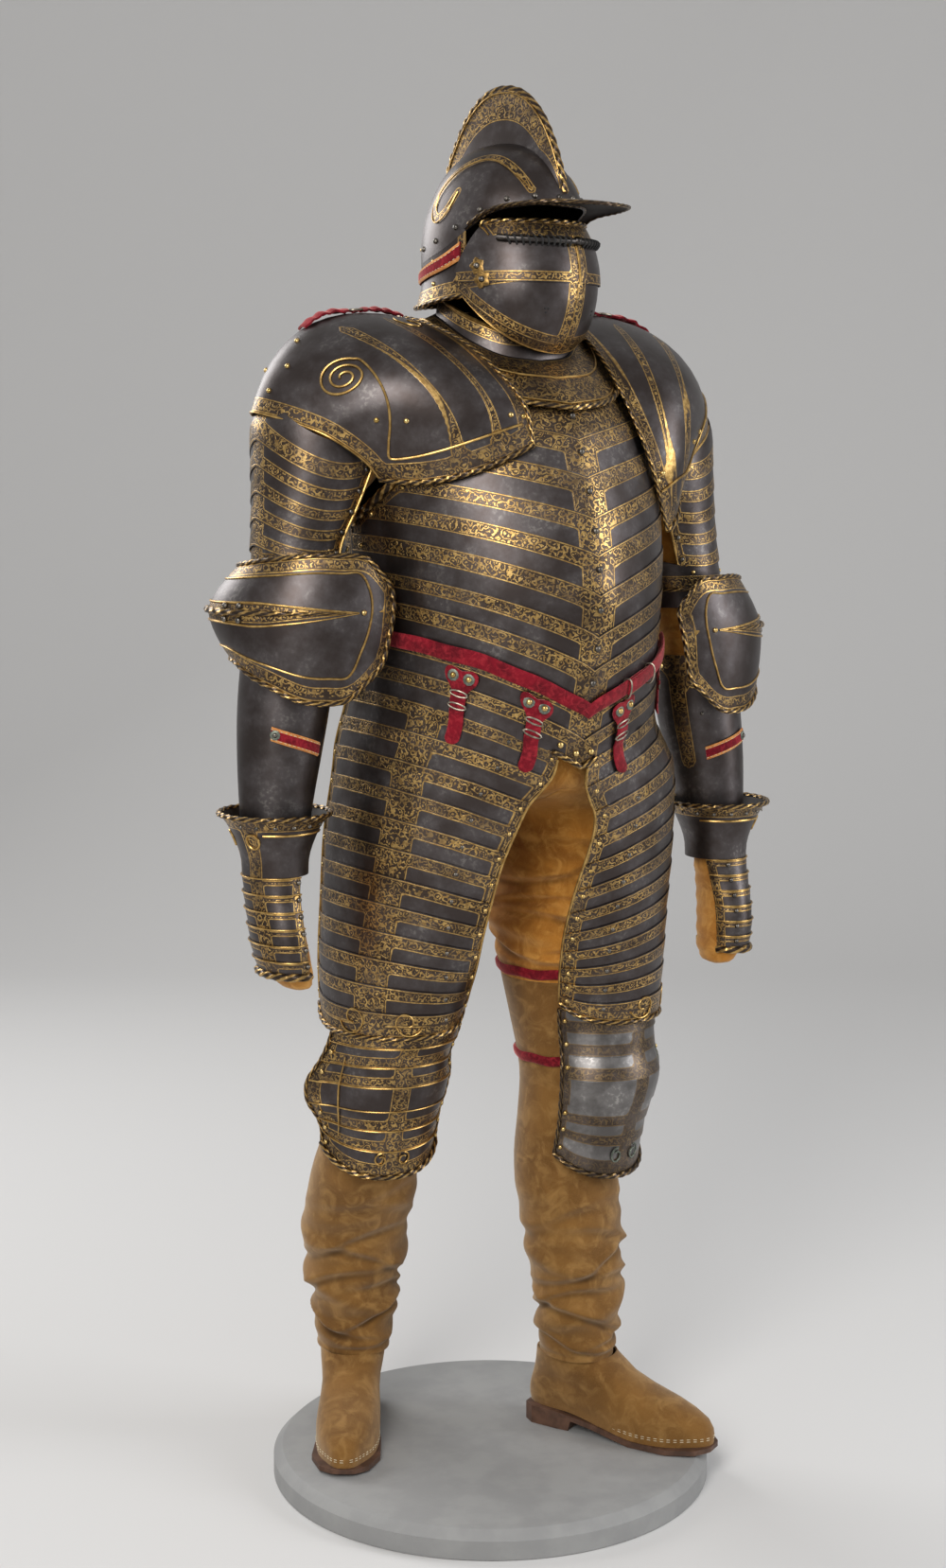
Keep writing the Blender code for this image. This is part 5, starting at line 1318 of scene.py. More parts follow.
def build_torso():
    front = Piece("breastplate_gilt")
    torso_lames(front, BREAST_EDGES, 0.0, full_first=True)
    for i, v in enumerate(BREAST_EDGES[:-1]):
        place = v + (BREAST_EDGES[i + 1] - v) * 0.36
        front.stud(torso(0.0, edge(place, 0.0), 0.0024), (0.0, -1.0, 0.05), LARGE_RIVET, "iron", 0.7)
        for sign in (-1, 1):
            angle = sign * (armhole_reach(place) - 5.0)
            away = torso(angle, place, 1.0) - torso(angle, place, 0.0)
            front.stud(torso(angle, edge(place, angle), 0.0022), away, RIVET, "brass")
    for sign in (-1, 1):
        armhole_rope(front, sign)
    front.build(["breastplate"])
    back = Piece("backplate_gilt")
    torso_lames(back, BACK_EDGES, 180.0)
    back.build(["backplate"])
    skirt_front = Piece("fauld_gilt")
    torso_lames(skirt_front, FAULD_EDGES, 0.0)
    low = FAULD_EDGES[-1]
    arch = [torso(angle, edge(low, angle) - 0.0010, 0.0030) for angle in np.linspace(-11.0, 6.0, 9)]
    skirt_front.rope(arch, WIDE_EDGE)
    for angle in (-8.5, -2.5, 3.5):
        skirt_front.stud(torso(angle, edge(low, angle) + 0.012, 0.0020), (0.0, -1.0, 0.0), LARGE_RIVET, "brass")
    skirt_front.build(["fauld"])
    skirt_back = Piece("culet_gilt")
    torso_lames(skirt_back, FAULD_EDGES, 180.0)
    path = [torso(angle, edge(low, angle), 0.0012) for angle in np.linspace(90.0, 270.0, 40)]
    skirt_back.rope(path, ROPE)
    skirt_back.build(["culet"])


V_END = 12.0  # within this angle the tassets' lames run on straight


def tasset_angles(side, t, columns):
    """The angles round a tasset at its columns, -1 to 1."""
    section = TASSET_SECTION[side]
    first, last = along(section, "first", t), along(section, "last", t)
    return first + (last - first) * (columns + 1) / 2


def tasset_row(side, t, columns, off):
    """One row of a tasset: its columns from the inner edge (-1) to the outer edge (1)."""
    angle = tasset_angles(side, t, columns)
    row = skirt(side, np.full(columns.shape, t), angle, off)
    row[:, 2] += HEM_CORNER * t**6 * np.abs(columns) ** 5
    low, sign = FAULD_EDGES[-1], SIDES[side]
    slope = edge(low, sign * (V_END + 0.5)) - edge(low, sign * (V_END - 0.5))
    straight = edge(low, sign * V_END) + slope * (angle - V_END)
    share = (1 - t) * np.clip(t / 0.10, 0.0, 1.0)
    row[:, 2] += np.where(angle < V_END, straight - edge(low, sign * angle), 0.0) * share
    return row


TASSET_BAND = table("t angle", (0.0, 57.0), (0.5, 54.0), (1.0, 51.0))
TASSET_COLUMNS = np.linspace(-1.0, 1.0, 49)
SCROLL_WIDTH = 0.115  # the metres that one column takes near the hem
SCROLL_HEIGHT = 0.33  # and the metres from the top edge to the hem
INNER_BAND = {"right": 0.014, "left": 0.022}
INNER_RIVETS = {"right": -0.955, "left": -0.93}


def build_tasset(side):
    """The long tasset's lames, its gilt bands and borders, its rivets and its scrolls."""
    piece = Piece(f"tasset_gilt_{side}")
    inside = np.array([SIDES[side] * 0.12, 0.0, 0.78])
    for i in range(TASSET_LAMES):
        last = i == TASSET_LAMES - 1
        shares = LAME_SHARES[:-1] if last else LAME_SHARES
        grid, across = [], []
        for share in shares:
            t = (i + share) / TASSET_LAMES
            row = tasset_row(side, t, TASSET_COLUMNS, PROUD + (TUCKED - PROUD) * share)
            angle = tasset_angles(side, t, TASSET_COLUMNS)
            run = np.concatenate([[0.0], np.cumsum(np.linalg.norm(np.diff(row, axis=0), axis=1))])
            grid.append(row)
            across.append(run - np.interp(along(TASSET_BAND, "angle", t), angle, run))
        grid, across = np.array(grid), np.array(across)
        down, _ = lengths(grid)
        height = down[len(shares) - 1] if last else down[-2]
        band = np.minimum(down - EDGE_LINE, (0.50 - shares[:, None]) * height)
        centre = np.minimum(CENTRE_BAND - np.abs(across), down - EDGE_LINE)
        edges = banded(grid, ("first", DEEP_INSET, INNER_BAND[side]), ("last", DEEP_INSET, 0.014))
        depth = np.maximum(np.maximum(band, centre), edges)
        if last:
            depth = np.maximum(depth, banded(grid, ("bottom", DEEP_INSET, 0.018)))
        piece.wall(grid, inside, depth=depth)
        for column, kind in ((0.965, "brass"), (INNER_RIVETS[side], "brass"), (-0.62, "iron")):
            row = tasset_row(side, (i + 0.30) / TASSET_LAMES, np.array([column]), 0.0018)[0]
            piece.stud(row, row - np.array([SIDES[side] * 0.13, 0.0, row[2]]), SMALL_RIVET, kind)
    hem = tasset_row(side, 1.0, np.linspace(-0.99, 0.99, 24), 0.0012)
    piece.rope(hem, TURNED_EDGE)
    for column in (-1.0, 1.0):
        path = [tasset_row(side, t, np.array([column]), 0.0014)[0] for t in np.linspace(0.02, 0.99, 20)]
        piece.tube(path, BORDER_LINE, "gold")
    for centre, turn in ((0.30, -1), (-0.22, 1)):
        curl = []
        scale = (turn * SCROLL_WIDTH, -SCROLL_HEIGHT)
        for column, t in spiral((centre, 0.945), 0.017, 0.78, 200.0, 430.0, 22, scale):
            curl.append(tasset_row(side, t, np.array([column]), 0.0022)[0])
        piece.tube(curl, 0.0011, "gold")
    piece.build([f"tasset_{side}"])


# The belt and the straps


def ribbon(piece, low, high, inside, kind="velvet", thick=STRAP, crown=0.0007, edging=None):
    """A flat strap between two edge lines, slightly crowned, with soft edges and perhaps an edging."""
    low, high = np.asarray(low), np.asarray(high)
    shares = np.array([0.0, 0.06, 0.2, 0.5, 0.8, 0.94, 1.0])
    rise = np.array([-0.0009, 0.0, 0.8, 1.0, 0.8, 0.0, -0.0009])
    grid = low[None] * (1 - shares[:, None, None]) + high[None] * shares[:, None, None]
    away = normals(grid, inside)
    lift = np.where(rise < 0, rise, rise * crown)
    grid = grid + away * lift[:, None, None]
    piece.wall(grid, inside, kind, thick=thick, lining=kind)
    if edging:
        piece.trim(edging, len(low) - 1, (0, 1, 4, 5))


def build_belt():
    """The belt once round the waist, its free tail and the two keepers."""
    piece = Piece("belt_velvet")
    inside = np.array([TORSO_X, 0.0, BELT_V])
    angle = np.linspace(0.0, 360.0, 181)
    ripple = 0.0012 * np.sin(np.radians(angle * 7.0)) + 0.0008 * np.sin(np.radians(angle * 17.0 + 40.0))
    rows = [edge(BELT_V, angle) - BELT_DROP + lift + ripple for lift in (BELT_HALF, -BELT_HALF)]
    out = BELT_OFF + STRAP
    ribbon(piece, torso(angle, rows[1], out), torso(angle, rows[0], out), inside)
    belt = piece.build(["belt"])
    tail = Piece("belt_tail_velvet")
    angle = np.linspace(17.0, 63.0, 30)
    swing = 0.014 * np.linspace(0.0, 1.0, len(angle)) ** 2
    start = BELT_OFF + 2 * STRAP + SEAM + 0.0006
    taper = np.clip((63.4 - angle) / 4.0, 0.0, 1.0) ** 0.5
    rows = [edge(BELT_V, angle) - BELT_DROP + lift * taper + swing for lift in (BELT_HALF, -BELT_HALF)]
    ribbon(tail, torso(angle, rows[1], start), torso(angle, rows[0], start), inside)
    end = tail.build(["belt_tail"])
    keepers = Piece("belt_keepers")
    for place in (16.0, 30.0):
        level = float(edge(BELT_V, place)) - BELT_DROP
        corners = []
        for lift, off in ((0.0125, 0.002), (0.0125, 0.0102), (-0.0125, 0.0102), (-0.0125, 0.002)):
            corners.append(torso(place, level + lift, off))
        keepers.tube(corners, 0.0012, "buckle", closed=True)
    keepers.build(())


def hanging(side, angle, drop, off):
    """A point on the fauld or tasset, drop below the belt line."""
    sign = SIDES[side]
    v = BELT_V - drop
    low = edge(FAULD_EDGES[-1], sign * angle)
    t = np.clip((FAULD_EDGES[-1] - v) / (low - HEM), 0.0, 1.0)
    on_fauld = torso(sign * angle, edge(v, sign * angle), off)
    return np.where((v > FAULD_EDGES[-1])[..., None], on_fauld, skirt(side, t, angle, off))


PAD = table(
    "share half",
    (0.00, 0.62),
    (0.015, 0.86),
    (0.05, 1.00),
    (0.12, 1.02),
    (0.19, 0.88),
    (0.25, 0.64),
    (0.31, 0.47),
    (0.55, 0.45),
    (0.93, 0.45),
    (0.975, 0.36),
    (1.00, 0.16),
)
STRAP_SHARES = np.concatenate([np.linspace(0.0, 0.08, 6), np.linspace(0.11, 0.93, 22), [0.96, 0.985, 1.0]])
STRAP_ACROSS = np.array([-1.0, -0.96, -0.7, 0.0, 0.7, 0.96, 1.0])
STRAP_CROWN = np.array([-0.9, 0.0, 0.7, 1.0, 0.7, 0.0, -0.9]) * 0.0009


def build_tasset_strap(number, sign, angle, length):
    side = "right" if sign < 0 else "left"
    piece = Piece(f"tasset_strap_velvet_{number}")
    inside = np.array([SIDES[side] * 0.06, 0.0, 0.98])
    radius = 0.21
    grid = []
    for share in STRAP_SHARES:
        half = float(np.interp(share, PAD["share"], PAD["half"])) * PAD_HALF
        turn = angle + np.degrees(half / radius) * STRAP_ACROSS
        notch = 0.004 * math.exp(-((share / 0.04) ** 2)) * (1 - np.abs(STRAP_ACROSS))
        drop = STRAP_TOP + share * length + notch
        bulge = 0.0022 * math.exp(-(((share - 0.42) / 0.07) ** 2))
        grid.append(hanging(side, turn, drop, STRAP_OFF + STRAP + bulge + STRAP_CROWN))
    piece.wall(np.array(grid), inside, "velvet", thick=STRAP, lining="velvet")
    strap = piece.build([f"tasset_strap_{number}"])
    fittings = Piece(f"tasset_strap_fittings_{number}")
    for across in (-0.47, 0.47):
        turn = np.array([angle + math.degrees(across * PAD_HALF / radius)])
        drop = np.array([STRAP_TOP + 0.115 * length])
        spot = hanging(side, turn, drop, STRAP_OFF + STRAP + 0.0008)[0]
        away = spot - hanging(side, turn, drop, -0.02)[0]
        away = away / np.linalg.norm(away)
        fittings.stud(spot, away, 0.0078, "washer", 0.16)
        fittings.stud(spot + away * 0.0012, away, 0.0040, "brass", 0.8)
    for share, reach in ((0.335, 0.0112), (0.50, 0.0116)):
        ring = []
        for spin in np.linspace(0.0, 2 * math.pi, 16, endpoint=False):
            turn = angle + math.degrees(reach * math.cos(spin) / radius)
            drop = STRAP_TOP + share * length + 0.0035 * math.sin(spin)
            off = STRAP_OFF + STRAP + 0.0022 - 0.0015 * abs(math.cos(spin))
            ring.append(hanging(side, np.array([turn]), np.array([drop]), off)[0])
        fittings.tube(ring, 0.0013, "buckle", closed=True)
    fittings.build(())


# Shoulders: the pauldrons with their radiating bands, raised lines and spiral

PAULDRON_C = np.linspace(-0.999, 0.999, 57)
PAULDRON_T = np.concatenate([[0.001, 0.02, 0.06], np.linspace(0.12, 0.84, 10), [0.9, 0.95, 0.98, 0.999]])
RADIAL_BANDS = ((0.22, 0.0065), (0.46, 0.0085))
WING_BAND = 0.026
PAULDRON_RIVETS = (
    (-0.82, 0.03), (-0.80, 0.10), (-0.585, 0.80), (-0.68, 0.68), (-0.077, 0.768), (-0.01, 0.618), (0.12, 0.80),
    (0.4, 0.7), (0.7, 0.5), (0.93, 0.4), (0.93, 0.6), (-0.05, 0.90), (0.3, 0.92),
)
SPIRAL = (-0.31, 0.715)
SPIRAL_RADIUS = 0.031
SPIRAL_STEM = (
    (-0.86, 0.05), (-0.87, 0.30), (-0.875, 0.55), (-0.865, 0.74), (-0.83, 0.86), (-0.74, 0.83),
    (-0.66, 0.77), (-0.56, 0.70), (-0.45, 0.64),
)
LEFT_LINE = ((-0.86, 0.04), (-0.84, 0.3), (-0.82, 0.6), (-0.70, 0.80), (-0.5, 0.85), (-0.2, 0.86), (0.1, 0.86))


def on_pauldron(side, places, off):
    """A line of points on a pauldron, moved out by off. places are (c, t) pairs, joined by a smooth curve."""
    places = np.asarray(places, float)
    rows = {"step": np.arange(len(places)), "c": places[:, 0], "t": places[:, 1]}
    steps = np.linspace(0, len(places) - 1, 4 * len(places))
    c = np.clip(along(rows, "c", steps), -0.998, 0.998)
    t = np.clip(along(rows, "t", steps), 0.002, 0.998)
    return moved_out(lambda first, second: pauldron(side, first, second), c, t, -SIDES[side] * off)


def build_pauldron(side):
    piece = Piece(f"pauldron_gilt_{side}")
    inside = np.array([SIDES[side] * 0.20, 0.0, 1.33])
    c, t = np.meshgrid(PAULDRON_C, PAULDRON_T)
    grid = pauldron(side, c, t)
    down, _ = lengths(grid)
    sides = (("first", DEEP_INSET, WING_BAND), ("last", DEEP_INSET, 0.018))
    depth = banded(grid, ("top", INSET, 0.017), ("bottom", INSET, 0.020), *sides)
    for share, half in RADIAL_BANDS:
        band = half - np.abs(down - down[-1] * share)
        depth = np.maximum(depth, np.minimum(band, (-0.10 - c) * 0.25))
    piece.wall(grid, inside, depth=depth, thick=STEEL)
    piece.rope(on_pauldron(side, [(c, 0.0) for c in np.linspace(-1, 1, 15)], 0.0004), FINE_EDGE, FINE_GROOVE)
    piece.rope(on_pauldron(side, [(-1, t) for t in np.linspace(0, 1, 9)], 0.0004), WIDE_EDGE)
    piece.rope(on_pauldron(side, [(1, t) for t in np.linspace(0, 1, 9)], 0.0004), 0.0030)
    piece.tube(on_pauldron(side, [(c, 1.0) for c in np.linspace(-1, 1, 15)], 0.0002), BOLD_LINE, "gold")
    if side == "right":
        line = list(SPIRAL_STEM)
        c, t = SPIRAL
        wide = np.linalg.norm(pauldron(side, c + 0.01, t) - pauldron(side, c - 0.01, t)) / 0.02
        tall = np.linalg.norm(pauldron(side, c, t + 0.01) - pauldron(side, c, t - 0.01)) / 0.02
        line.extend(spiral(SPIRAL, SPIRAL_RADIUS, 0.84, 90.0, -860.0, 40, (wide, -tall)))
        piece.tube(on_pauldron(side, line, 0.0008), 0.0017, "gold")
        curl = spiral((-0.16, 0.12), 0.013, 0.5, 40.0, 300.0, 14, (0.2, 0.22))
        piece.tube(on_pauldron(side, curl, 0.0006), FINE_LINE, "gold")
    else:
        piece.tube(on_pauldron(side, LEFT_LINE, 0.0008), 0.0017, "gold")
    for place in PAULDRON_RIVETS:
        spot = on_pauldron(side, [place, place], 0.0)[0]
        away = on_pauldron(side, [place, place], 0.01)[0] - spot
        piece.stud(spot, away, WIDE_RIVET, "brass", 0.7)
    piece.build([f"pauldron_{side}"])
    build_shoulder_strap(side, inside)


def build_shoulder_strap(side, inside):
    """A crumpled velvet strap in two lengths, with its buckle between them."""
    strap = Piece(f"shoulder_strap_velvet_{side}")
    for first, last, rise in ((0.02, 0.22, 0.0030), (0.25, 0.52, 0.0045)):
        t = np.linspace(first, last, 26)
        share = (t - first) / (last - first)
        arch = np.sin(share * math.pi)
        bunch = rise * arch**0.8 + 0.0013 * np.sin(share * 25.0) * arch
        grid = []
        for across in np.linspace(-1.0, 1.0, 7):
            c = 0.09 + across * (0.052 + 0.006 * np.sin(share * 19.0 + 2.0 * across))
            crown = 0.0022 * (1 - across**2) + STRAP
            grid.append(moved_out(lambda a, b: pauldron(side, a, b), c, t, -SIDES[side] * (crown + bunch)))
        grid = np.array(grid)
        strap.wall(grid, inside, "velvet", thick=0.0028, lining="velvet")
    made = strap.build([f"shoulder_strap_{side}"], sharp=70.0)
    buckle = Piece(f"shoulder_buckle_{side}")
    ring = [(0.03, 0.215), (0.15, 0.215), (0.15, 0.255), (0.03, 0.255)]
    corners = [on_pauldron(side, [place, place], 0.0045)[0] for place in ring]
    buckle.tube(corners, 0.0016, "buckle", closed=True)
    buckle.build(())


# Arms

LAME_TURNS = np.linspace(-118.0, 118.0, 61)
ARM_BAND = 0.0145
FIRST_LAME_RISE = 0.008
ARM_SHARES = np.array([0.0, 0.03, 0.25, 0.48, 0.52, 0.56, 0.78, 0.96, 1.0])


def arm_inside(side, z):
    """The middle of the arm at a height."""
    return np.array([SIDES[side] * along(ARM[side], "out", z), along(ARM[side], "y", z), z])


def outward_on_arm(side, spot):
    """The direction from the arm's middle to a spot on it."""
    away = spot - arm_inside(side, spot[2])
    return away / np.linalg.norm(away)


def build_arm_lames(side):
    piece = Piece(f"arm_lames_gilt_{side}")
    for number in range(5):
        grid = []
        top, low = (lame_height(side, number + i, LAME_TURNS) for i in (0, 1))
        if number == 0:
            top = top + FIRST_LAME_RISE
        for share in ARM_SHARES:
            z = top + 0.004 + (low - 0.001 - top - 0.004) * share
            grid.append(arm(side, LAME_TURNS, z, LAME_OFF + TUCKED + (PROUD - TUCKED) * share))
        grid = np.array(grid)
        down, across = lengths(grid)
        height = down[-1]
        middle = across[:, 30:31]
        band = np.minimum(height - down - EDGE_LINE, down - 0.52 * height)
        band = np.minimum(band, (np.abs(LAME_TURNS) - 8.0) * 0.001 + 0.004)
        centre = np.minimum(ARM_BAND - np.abs(across - middle - 0.004), height - down - EDGE_LINE)
        sides = banded(grid, ("first", INSET, 0.012), ("last", INSET, 0.012))
        depth = np.maximum(np.maximum(band, centre), sides)
        piece.wall(grid, arm_inside(side, float(low.mean())), depth=depth)
        for turn in (-112.0, 112.0):
            spot = arm(side, turn, float(lame_height(side, number + 1, turn)) + 0.008, 0.0006)
            piece.stud(spot, outward_on_arm(side, spot), WIDE_RIVET, "iron")
    for turn in (-118.0, 118.0):
        path = []
        for number in np.linspace(0.3, 5.0, 16):
            path.append(arm(side, turn, lame_height(side, number, turn), 0.0008))
        piece.tube(path, BORDER_LINE, "gold")
    piece.build([f"arm_lames_{side}"])


ROUND = np.linspace(0.0, 360.0, 61)[:-1]
ARM_RADIUS = 0.058  # turns degrees into metres along an arm's girth
VEE_TURN = 112.0  # where the lower cannon's gilt point hangs down
SEAM_TURN = 150.0  # where its gilt edge runs


def build_forearm(side):
    """The cannons above and below the elbow, then the couter and the forearm's strap."""
    z0 = ELBOW[side]
    top = lame_height(side, 5, ROUND) - SEAM - STEP
    grid = []
    for share in (0.0, 0.02, 0.2, 0.4, 0.6, 0.72, 0.80, 0.86, 0.92, 0.98, 1.0):
        grid.append(arm(side, ROUND, top + (z0 + 0.026 - top) * share, CANNON_OFF))
    grid = np.array(grid)
    piece = Piece(f"upper_cannon_gilt_{side}")
    centre = ARM_BAND - np.radians(folded(ROUND)) * ARM_RADIUS
    depth = np.maximum(banded(grid, ("bottom", 0.024, 0.046)), centre[None, :])
    piece.wall(grid, arm_inside(side, z0 + 0.06), depth=depth, thick=STEEL, wrap=True)
    level = arm(side, ROUND[::3], z0 + 0.048 + 0.004 * sine(ROUND[::3]), CANNON_OFF + 0.0006)
    piece.rope(level, FINE_EDGE, FINE_GROOVE, closed=True)
    for t in (-30.0, 30.0, 100.0, 150.0):
        spot = arm(side, t, z0 + 0.075, CANNON_OFF)
        piece.stud(spot, outward_on_arm(side, spot), 0.0032, "brass")
    piece.build([f"upper_cannon_{side}"])

    grid = []
    low = WRIST[side]
    levels = np.concatenate([[z0 - 0.040, z0 - 0.046], np.linspace(z0 - 0.06, low + 0.06, 14), [low + 0.034]])
    for z in levels:
        grid.append(arm(side, ROUND, z, 0.0))
    grid = np.array(grid)
    piece = Piece(f"lower_cannon_gilt_{side}")
    slant = 0.030 * folded(ROUND - VEE_TURN) / 60.0
    seam = 0.012 - np.radians(folded(ROUND - SEAM_TURN)) * ARM_RADIUS
    down, _ = lengths(grid)
    vee = np.minimum(0.052 - slant[None, :] - down, 0.012)
    depth = np.maximum(vee, np.minimum(seam[None, :], 0.16 - down))
    piece.wall(grid, arm_inside(side, z0 - 0.12), depth=depth, thick=STEEL, wrap=True)
    for t, drop in ((55.0, 0.078), (20.0, 0.070), (120.0, 0.12)):
        spot = arm(side, t, z0 - drop, 0.0)
        piece.stud(spot, outward_on_arm(side, spot), 0.0026, "iron")
    piece.build([f"lower_cannon_{side}"])
    build_couter(side)
    build_forearm_strap(side)


def build_couter(side):
    """The elbow plate: a roped ridge with two gilt lines that close to a point on the front wing."""
    z0 = ELBOW[side]
    turns = np.linspace(-122.0, 127.0, 73)
    half = np.array([0.08, 0.16, 0.24, 0.38, 0.55, 0.72, 0.86, 0.96, 1.0])
    shares = np.concatenate([-half[::-1], [0.0], half])
    turn, share = np.meshgrid(turns, shares)
    grid = couter(side, turn, share)
    down, _ = lengths(grid)
    middle = down[9:10]
    ridge_half = 0.0125 * np.clip((104.0 - turns) / 60.0, 0.0, 1.0)[None, :]
    depth = banded(grid, ("top", DEEP_INSET, 0.019), ("bottom", DEEP_INSET, 0.021), ("last", DEEP_INSET, 0.018))
    depth = np.maximum(depth, ridge_half - np.abs(down - middle))
    piece = Piece(f"couter_gilt_{side}")
    inside = arm_inside(side, z0)
    piece.wall(grid, inside, depth=depth, thick=STEEL)

    def on_couter(places, off):
        return [couter(side, np.array(a), np.array(b), off) for a, b in places]

    rim = [(a, -1.0) for a in np.linspace(-122, 127, 26)] + [(127.0, b) for b in np.linspace(-0.8, 0.8, 7)]
    rim += [(a, 1.0) for a in np.linspace(127, -122, 26)]
    piece.rope(on_couter(rim, 0.0002), SLIM_EDGE)
    ridge = on_couter([(a, 0.0) for a in np.linspace(-118, 96, 22)], 0.0014)
    piece.rope(ridge, 0.0042, 0.0068, ends=0.25)
    for sign in (-1, 1):
        line = []
        for a in np.linspace(-110.0, 104.0, 22):
            away = 0.20 * np.clip((106.0 - a) / 70.0, 0.02, 1.0)
            line.append((a, sign * away))
        piece.tube(on_couter(line, 0.0006), BOLD_LINE, "gold", ends=0.4)
    inner = [(a, -0.70) for a in np.linspace(-112, 104, 24)]
    inner += [(110.0, -0.45), (112.0, -0.15), (112.0, 0.15), (110.0, 0.45)]
    inner += [(a, 0.72) for a in np.linspace(104, -112, 24)]
    piece.tube(on_couter(inner, 0.0004), 0.0014, "gold")
    for a in (8.0, 22.0):
        for b in (-0.13, 0.13):
            spot = couter(side, np.array(a), np.array(b), 0.001)
            piece.stud(spot, outward_on_arm(side, spot), LARGE_RIVET, "iron", 0.75)
    spot = couter(side, np.array(107.0), np.array(0.0), 0.0006)
    piece.stud(spot, outward_on_arm(side, spot), WIDE_RIVET, "brass", 0.8)
    piece.build([f"couter_{side}"])


def build_forearm_strap(side):
    z0 = ELBOW[side]
    turn = np.linspace(52.0, 122.0, 26)
    middle = z0 - 0.165 - 0.010 * (turn - 90.0) / 30.0
    inside = arm_inside(side, z0 - 0.165)
    piece = Piece(f"forearm_strap_velvet_{side}")
    low, high = (arm(side, turn, middle + lift, STRAP_LIFT + STRAP) for lift in (-0.009, 0.009))
    ribbon(piece, low, high, inside, edging="edging")
    strap = piece.build([f"forearm_strap_{side}"])
    piece = Piece(f"forearm_strap_fittings_{side}")
    spot = arm(side, 57.0, float(np.interp(57.0, turn, middle)), STRAP_LIFT + STRAP + 0.0008)
    away = outward_on_arm(side, spot)
    piece.stud(spot, away, 0.0066, "washer", 0.2)
    piece.stud(spot + away * 0.001, away, RIVET, "iron", 0.8)
    for lift in (-0.0062, 0.0062):
        for start in range(0, 25, 2):
            pair = slice(start, start + 2)
            stitch = arm(side, turn[pair], middle[pair] + lift, STRAP_LIFT + STRAP + 0.0009)
            piece.tube(stitch, 0.0003, "thread", sides=5)
    piece.build(())


# Gauntlets

HAND_BAND = 0.010  # half the width of the band down the back of the hand
HAND_BAND_TURN = 28.0
CUFF_TOP = 0.078
CUFF_RING = 0.0095
HAND_SHARES = np.array([0.0, 0.06, 0.3, 0.5, 0.56, 0.8, 1.0, 1.12])
HAND_END = {"right": 112.0, "left": 146.0}


def build_gauntlet(side):
    """The flared cuff and the lames over the back of the hand."""
    z = WRIST[side]
    sign = SIDES[side]
    out, y = float(along(ARM[side], "out", z)), float(along(ARM[side], "y", z))

    def cuff_at(turn, rise, off=0.0):
        wide, deep = along(CUFF, "width", rise) + off, along(CUFF, "depth", rise) + off
        return points(sign * (out + wide * cosine(turn)), y - deep * sine(turn), z + rise)

    rises = np.array([0.078, 0.077, 0.074, 0.070, 0.066, 0.062, 0.056, 0.048, 0.038, 0.028, 0.018, 0.008, 0.0])
    grid = np.array([cuff_at(ROUND, rise) for rise in rises])
    piece = Piece(f"gauntlet_cuff_gilt_{side}")
    inside = np.array([sign * out, y, z + 0.03])
    middle = HAND_BAND - np.radians(np.abs(folded(ROUND) - HAND_BAND_TURN)) * 0.045
    depth = np.maximum(banded(grid, ("top", INSET, 0.020)), middle[None, :])
    piece.wall(grid, inside, depth=depth, thick=STEEL, wrap=True)
    piece.rope([cuff_at(t, CUFF_TOP, 0.0004) for t in ROUND[::3]], TURNED_EDGE, closed=True)
    line = [cuff_at(t, 0.056, 0.0004) for t in np.linspace(48.0, 150.0, 12)]
    piece.tube(line, BOLD_LINE, "gold")
    for centre in (32.0, -24.0):
        ring = []
        for spin in np.linspace(0.0, 2 * math.pi, 12, endpoint=False):
            turn = centre + math.degrees(CUFF_RING * math.cos(spin) / 0.055)
            ring.append(cuff_at(turn, 0.047 + CUFF_RING * math.sin(spin), 0.0006))
        piece.tube(ring, 0.0017, "gold", closed=True)
    for t in np.arange(20.0, 200.0, 22.0):
        spot = cuff_at(t, 0.067, 0.0)
        piece.stud(spot, spot - np.array([sign * out, y, z + 0.045]), SMALL_RIVET, "iron")
    piece.build([f"gauntlet_cuff_{side}"])

    turns = np.linspace(-100.0, HAND_END[side], 55)
    piece = Piece(f"gauntlet_hand_gilt_{side}")
    total = float(HAND["drop"][-1])
    inside = np.array([sign * out, y - 0.012, z - 0.06])
    for i in range(HAND_LAMES):
        last = i == HAND_LAMES - 1
        grid = []
        for share in HAND_SHARES[:-1] if last else HAND_SHARES:
            drop = (i + share) * total / HAND_LAMES + (SEAM if i == 0 else 0.0)
            grid.append(hand(side, turns, np.full(turns.shape, drop), (TUCKED - PROUD) * share))
        grid = np.array(grid)
        down, _ = lengths(grid)
        height = down[6]
        band = np.minimum(down - 0.0008, 0.44 * height - down)
        spine = HAND_BAND - np.radians(np.abs(turns - HAND_BAND_TURN)) * 0.040
        sides = banded(grid, ("first", 0.001, 0.010), ("last", 0.001, 0.013))
        depth = np.maximum(np.maximum(band, spine[None, :]), sides)
        piece.wall(grid, inside, depth=depth)
        ridge = hand(side, turns[::3], np.full(turns[::3].shape, i * total / HAND_LAMES + 0.001), 0.0006)
        piece.tube(ridge, FINE_LINE, "gold", sides=6)
        for t in (-94.0, 106.0):
            spot = hand(side, t, (i + 0.35) * total / HAND_LAMES, 0.0002)
            piece.stud(spot, spot - np.array([sign * out, y - 0.012, spot[2]]), RIVET, "iron", 0.8)
    end = hand(side, turns[::3], np.full(turns[::3].shape, total - 0.001), -0.0004)
    piece.tube(end, 0.0050, "rope", groove=0.0062, sides=10)
    piece.build([f"gauntlet_hand_{side}"])


# The cloth under the plates

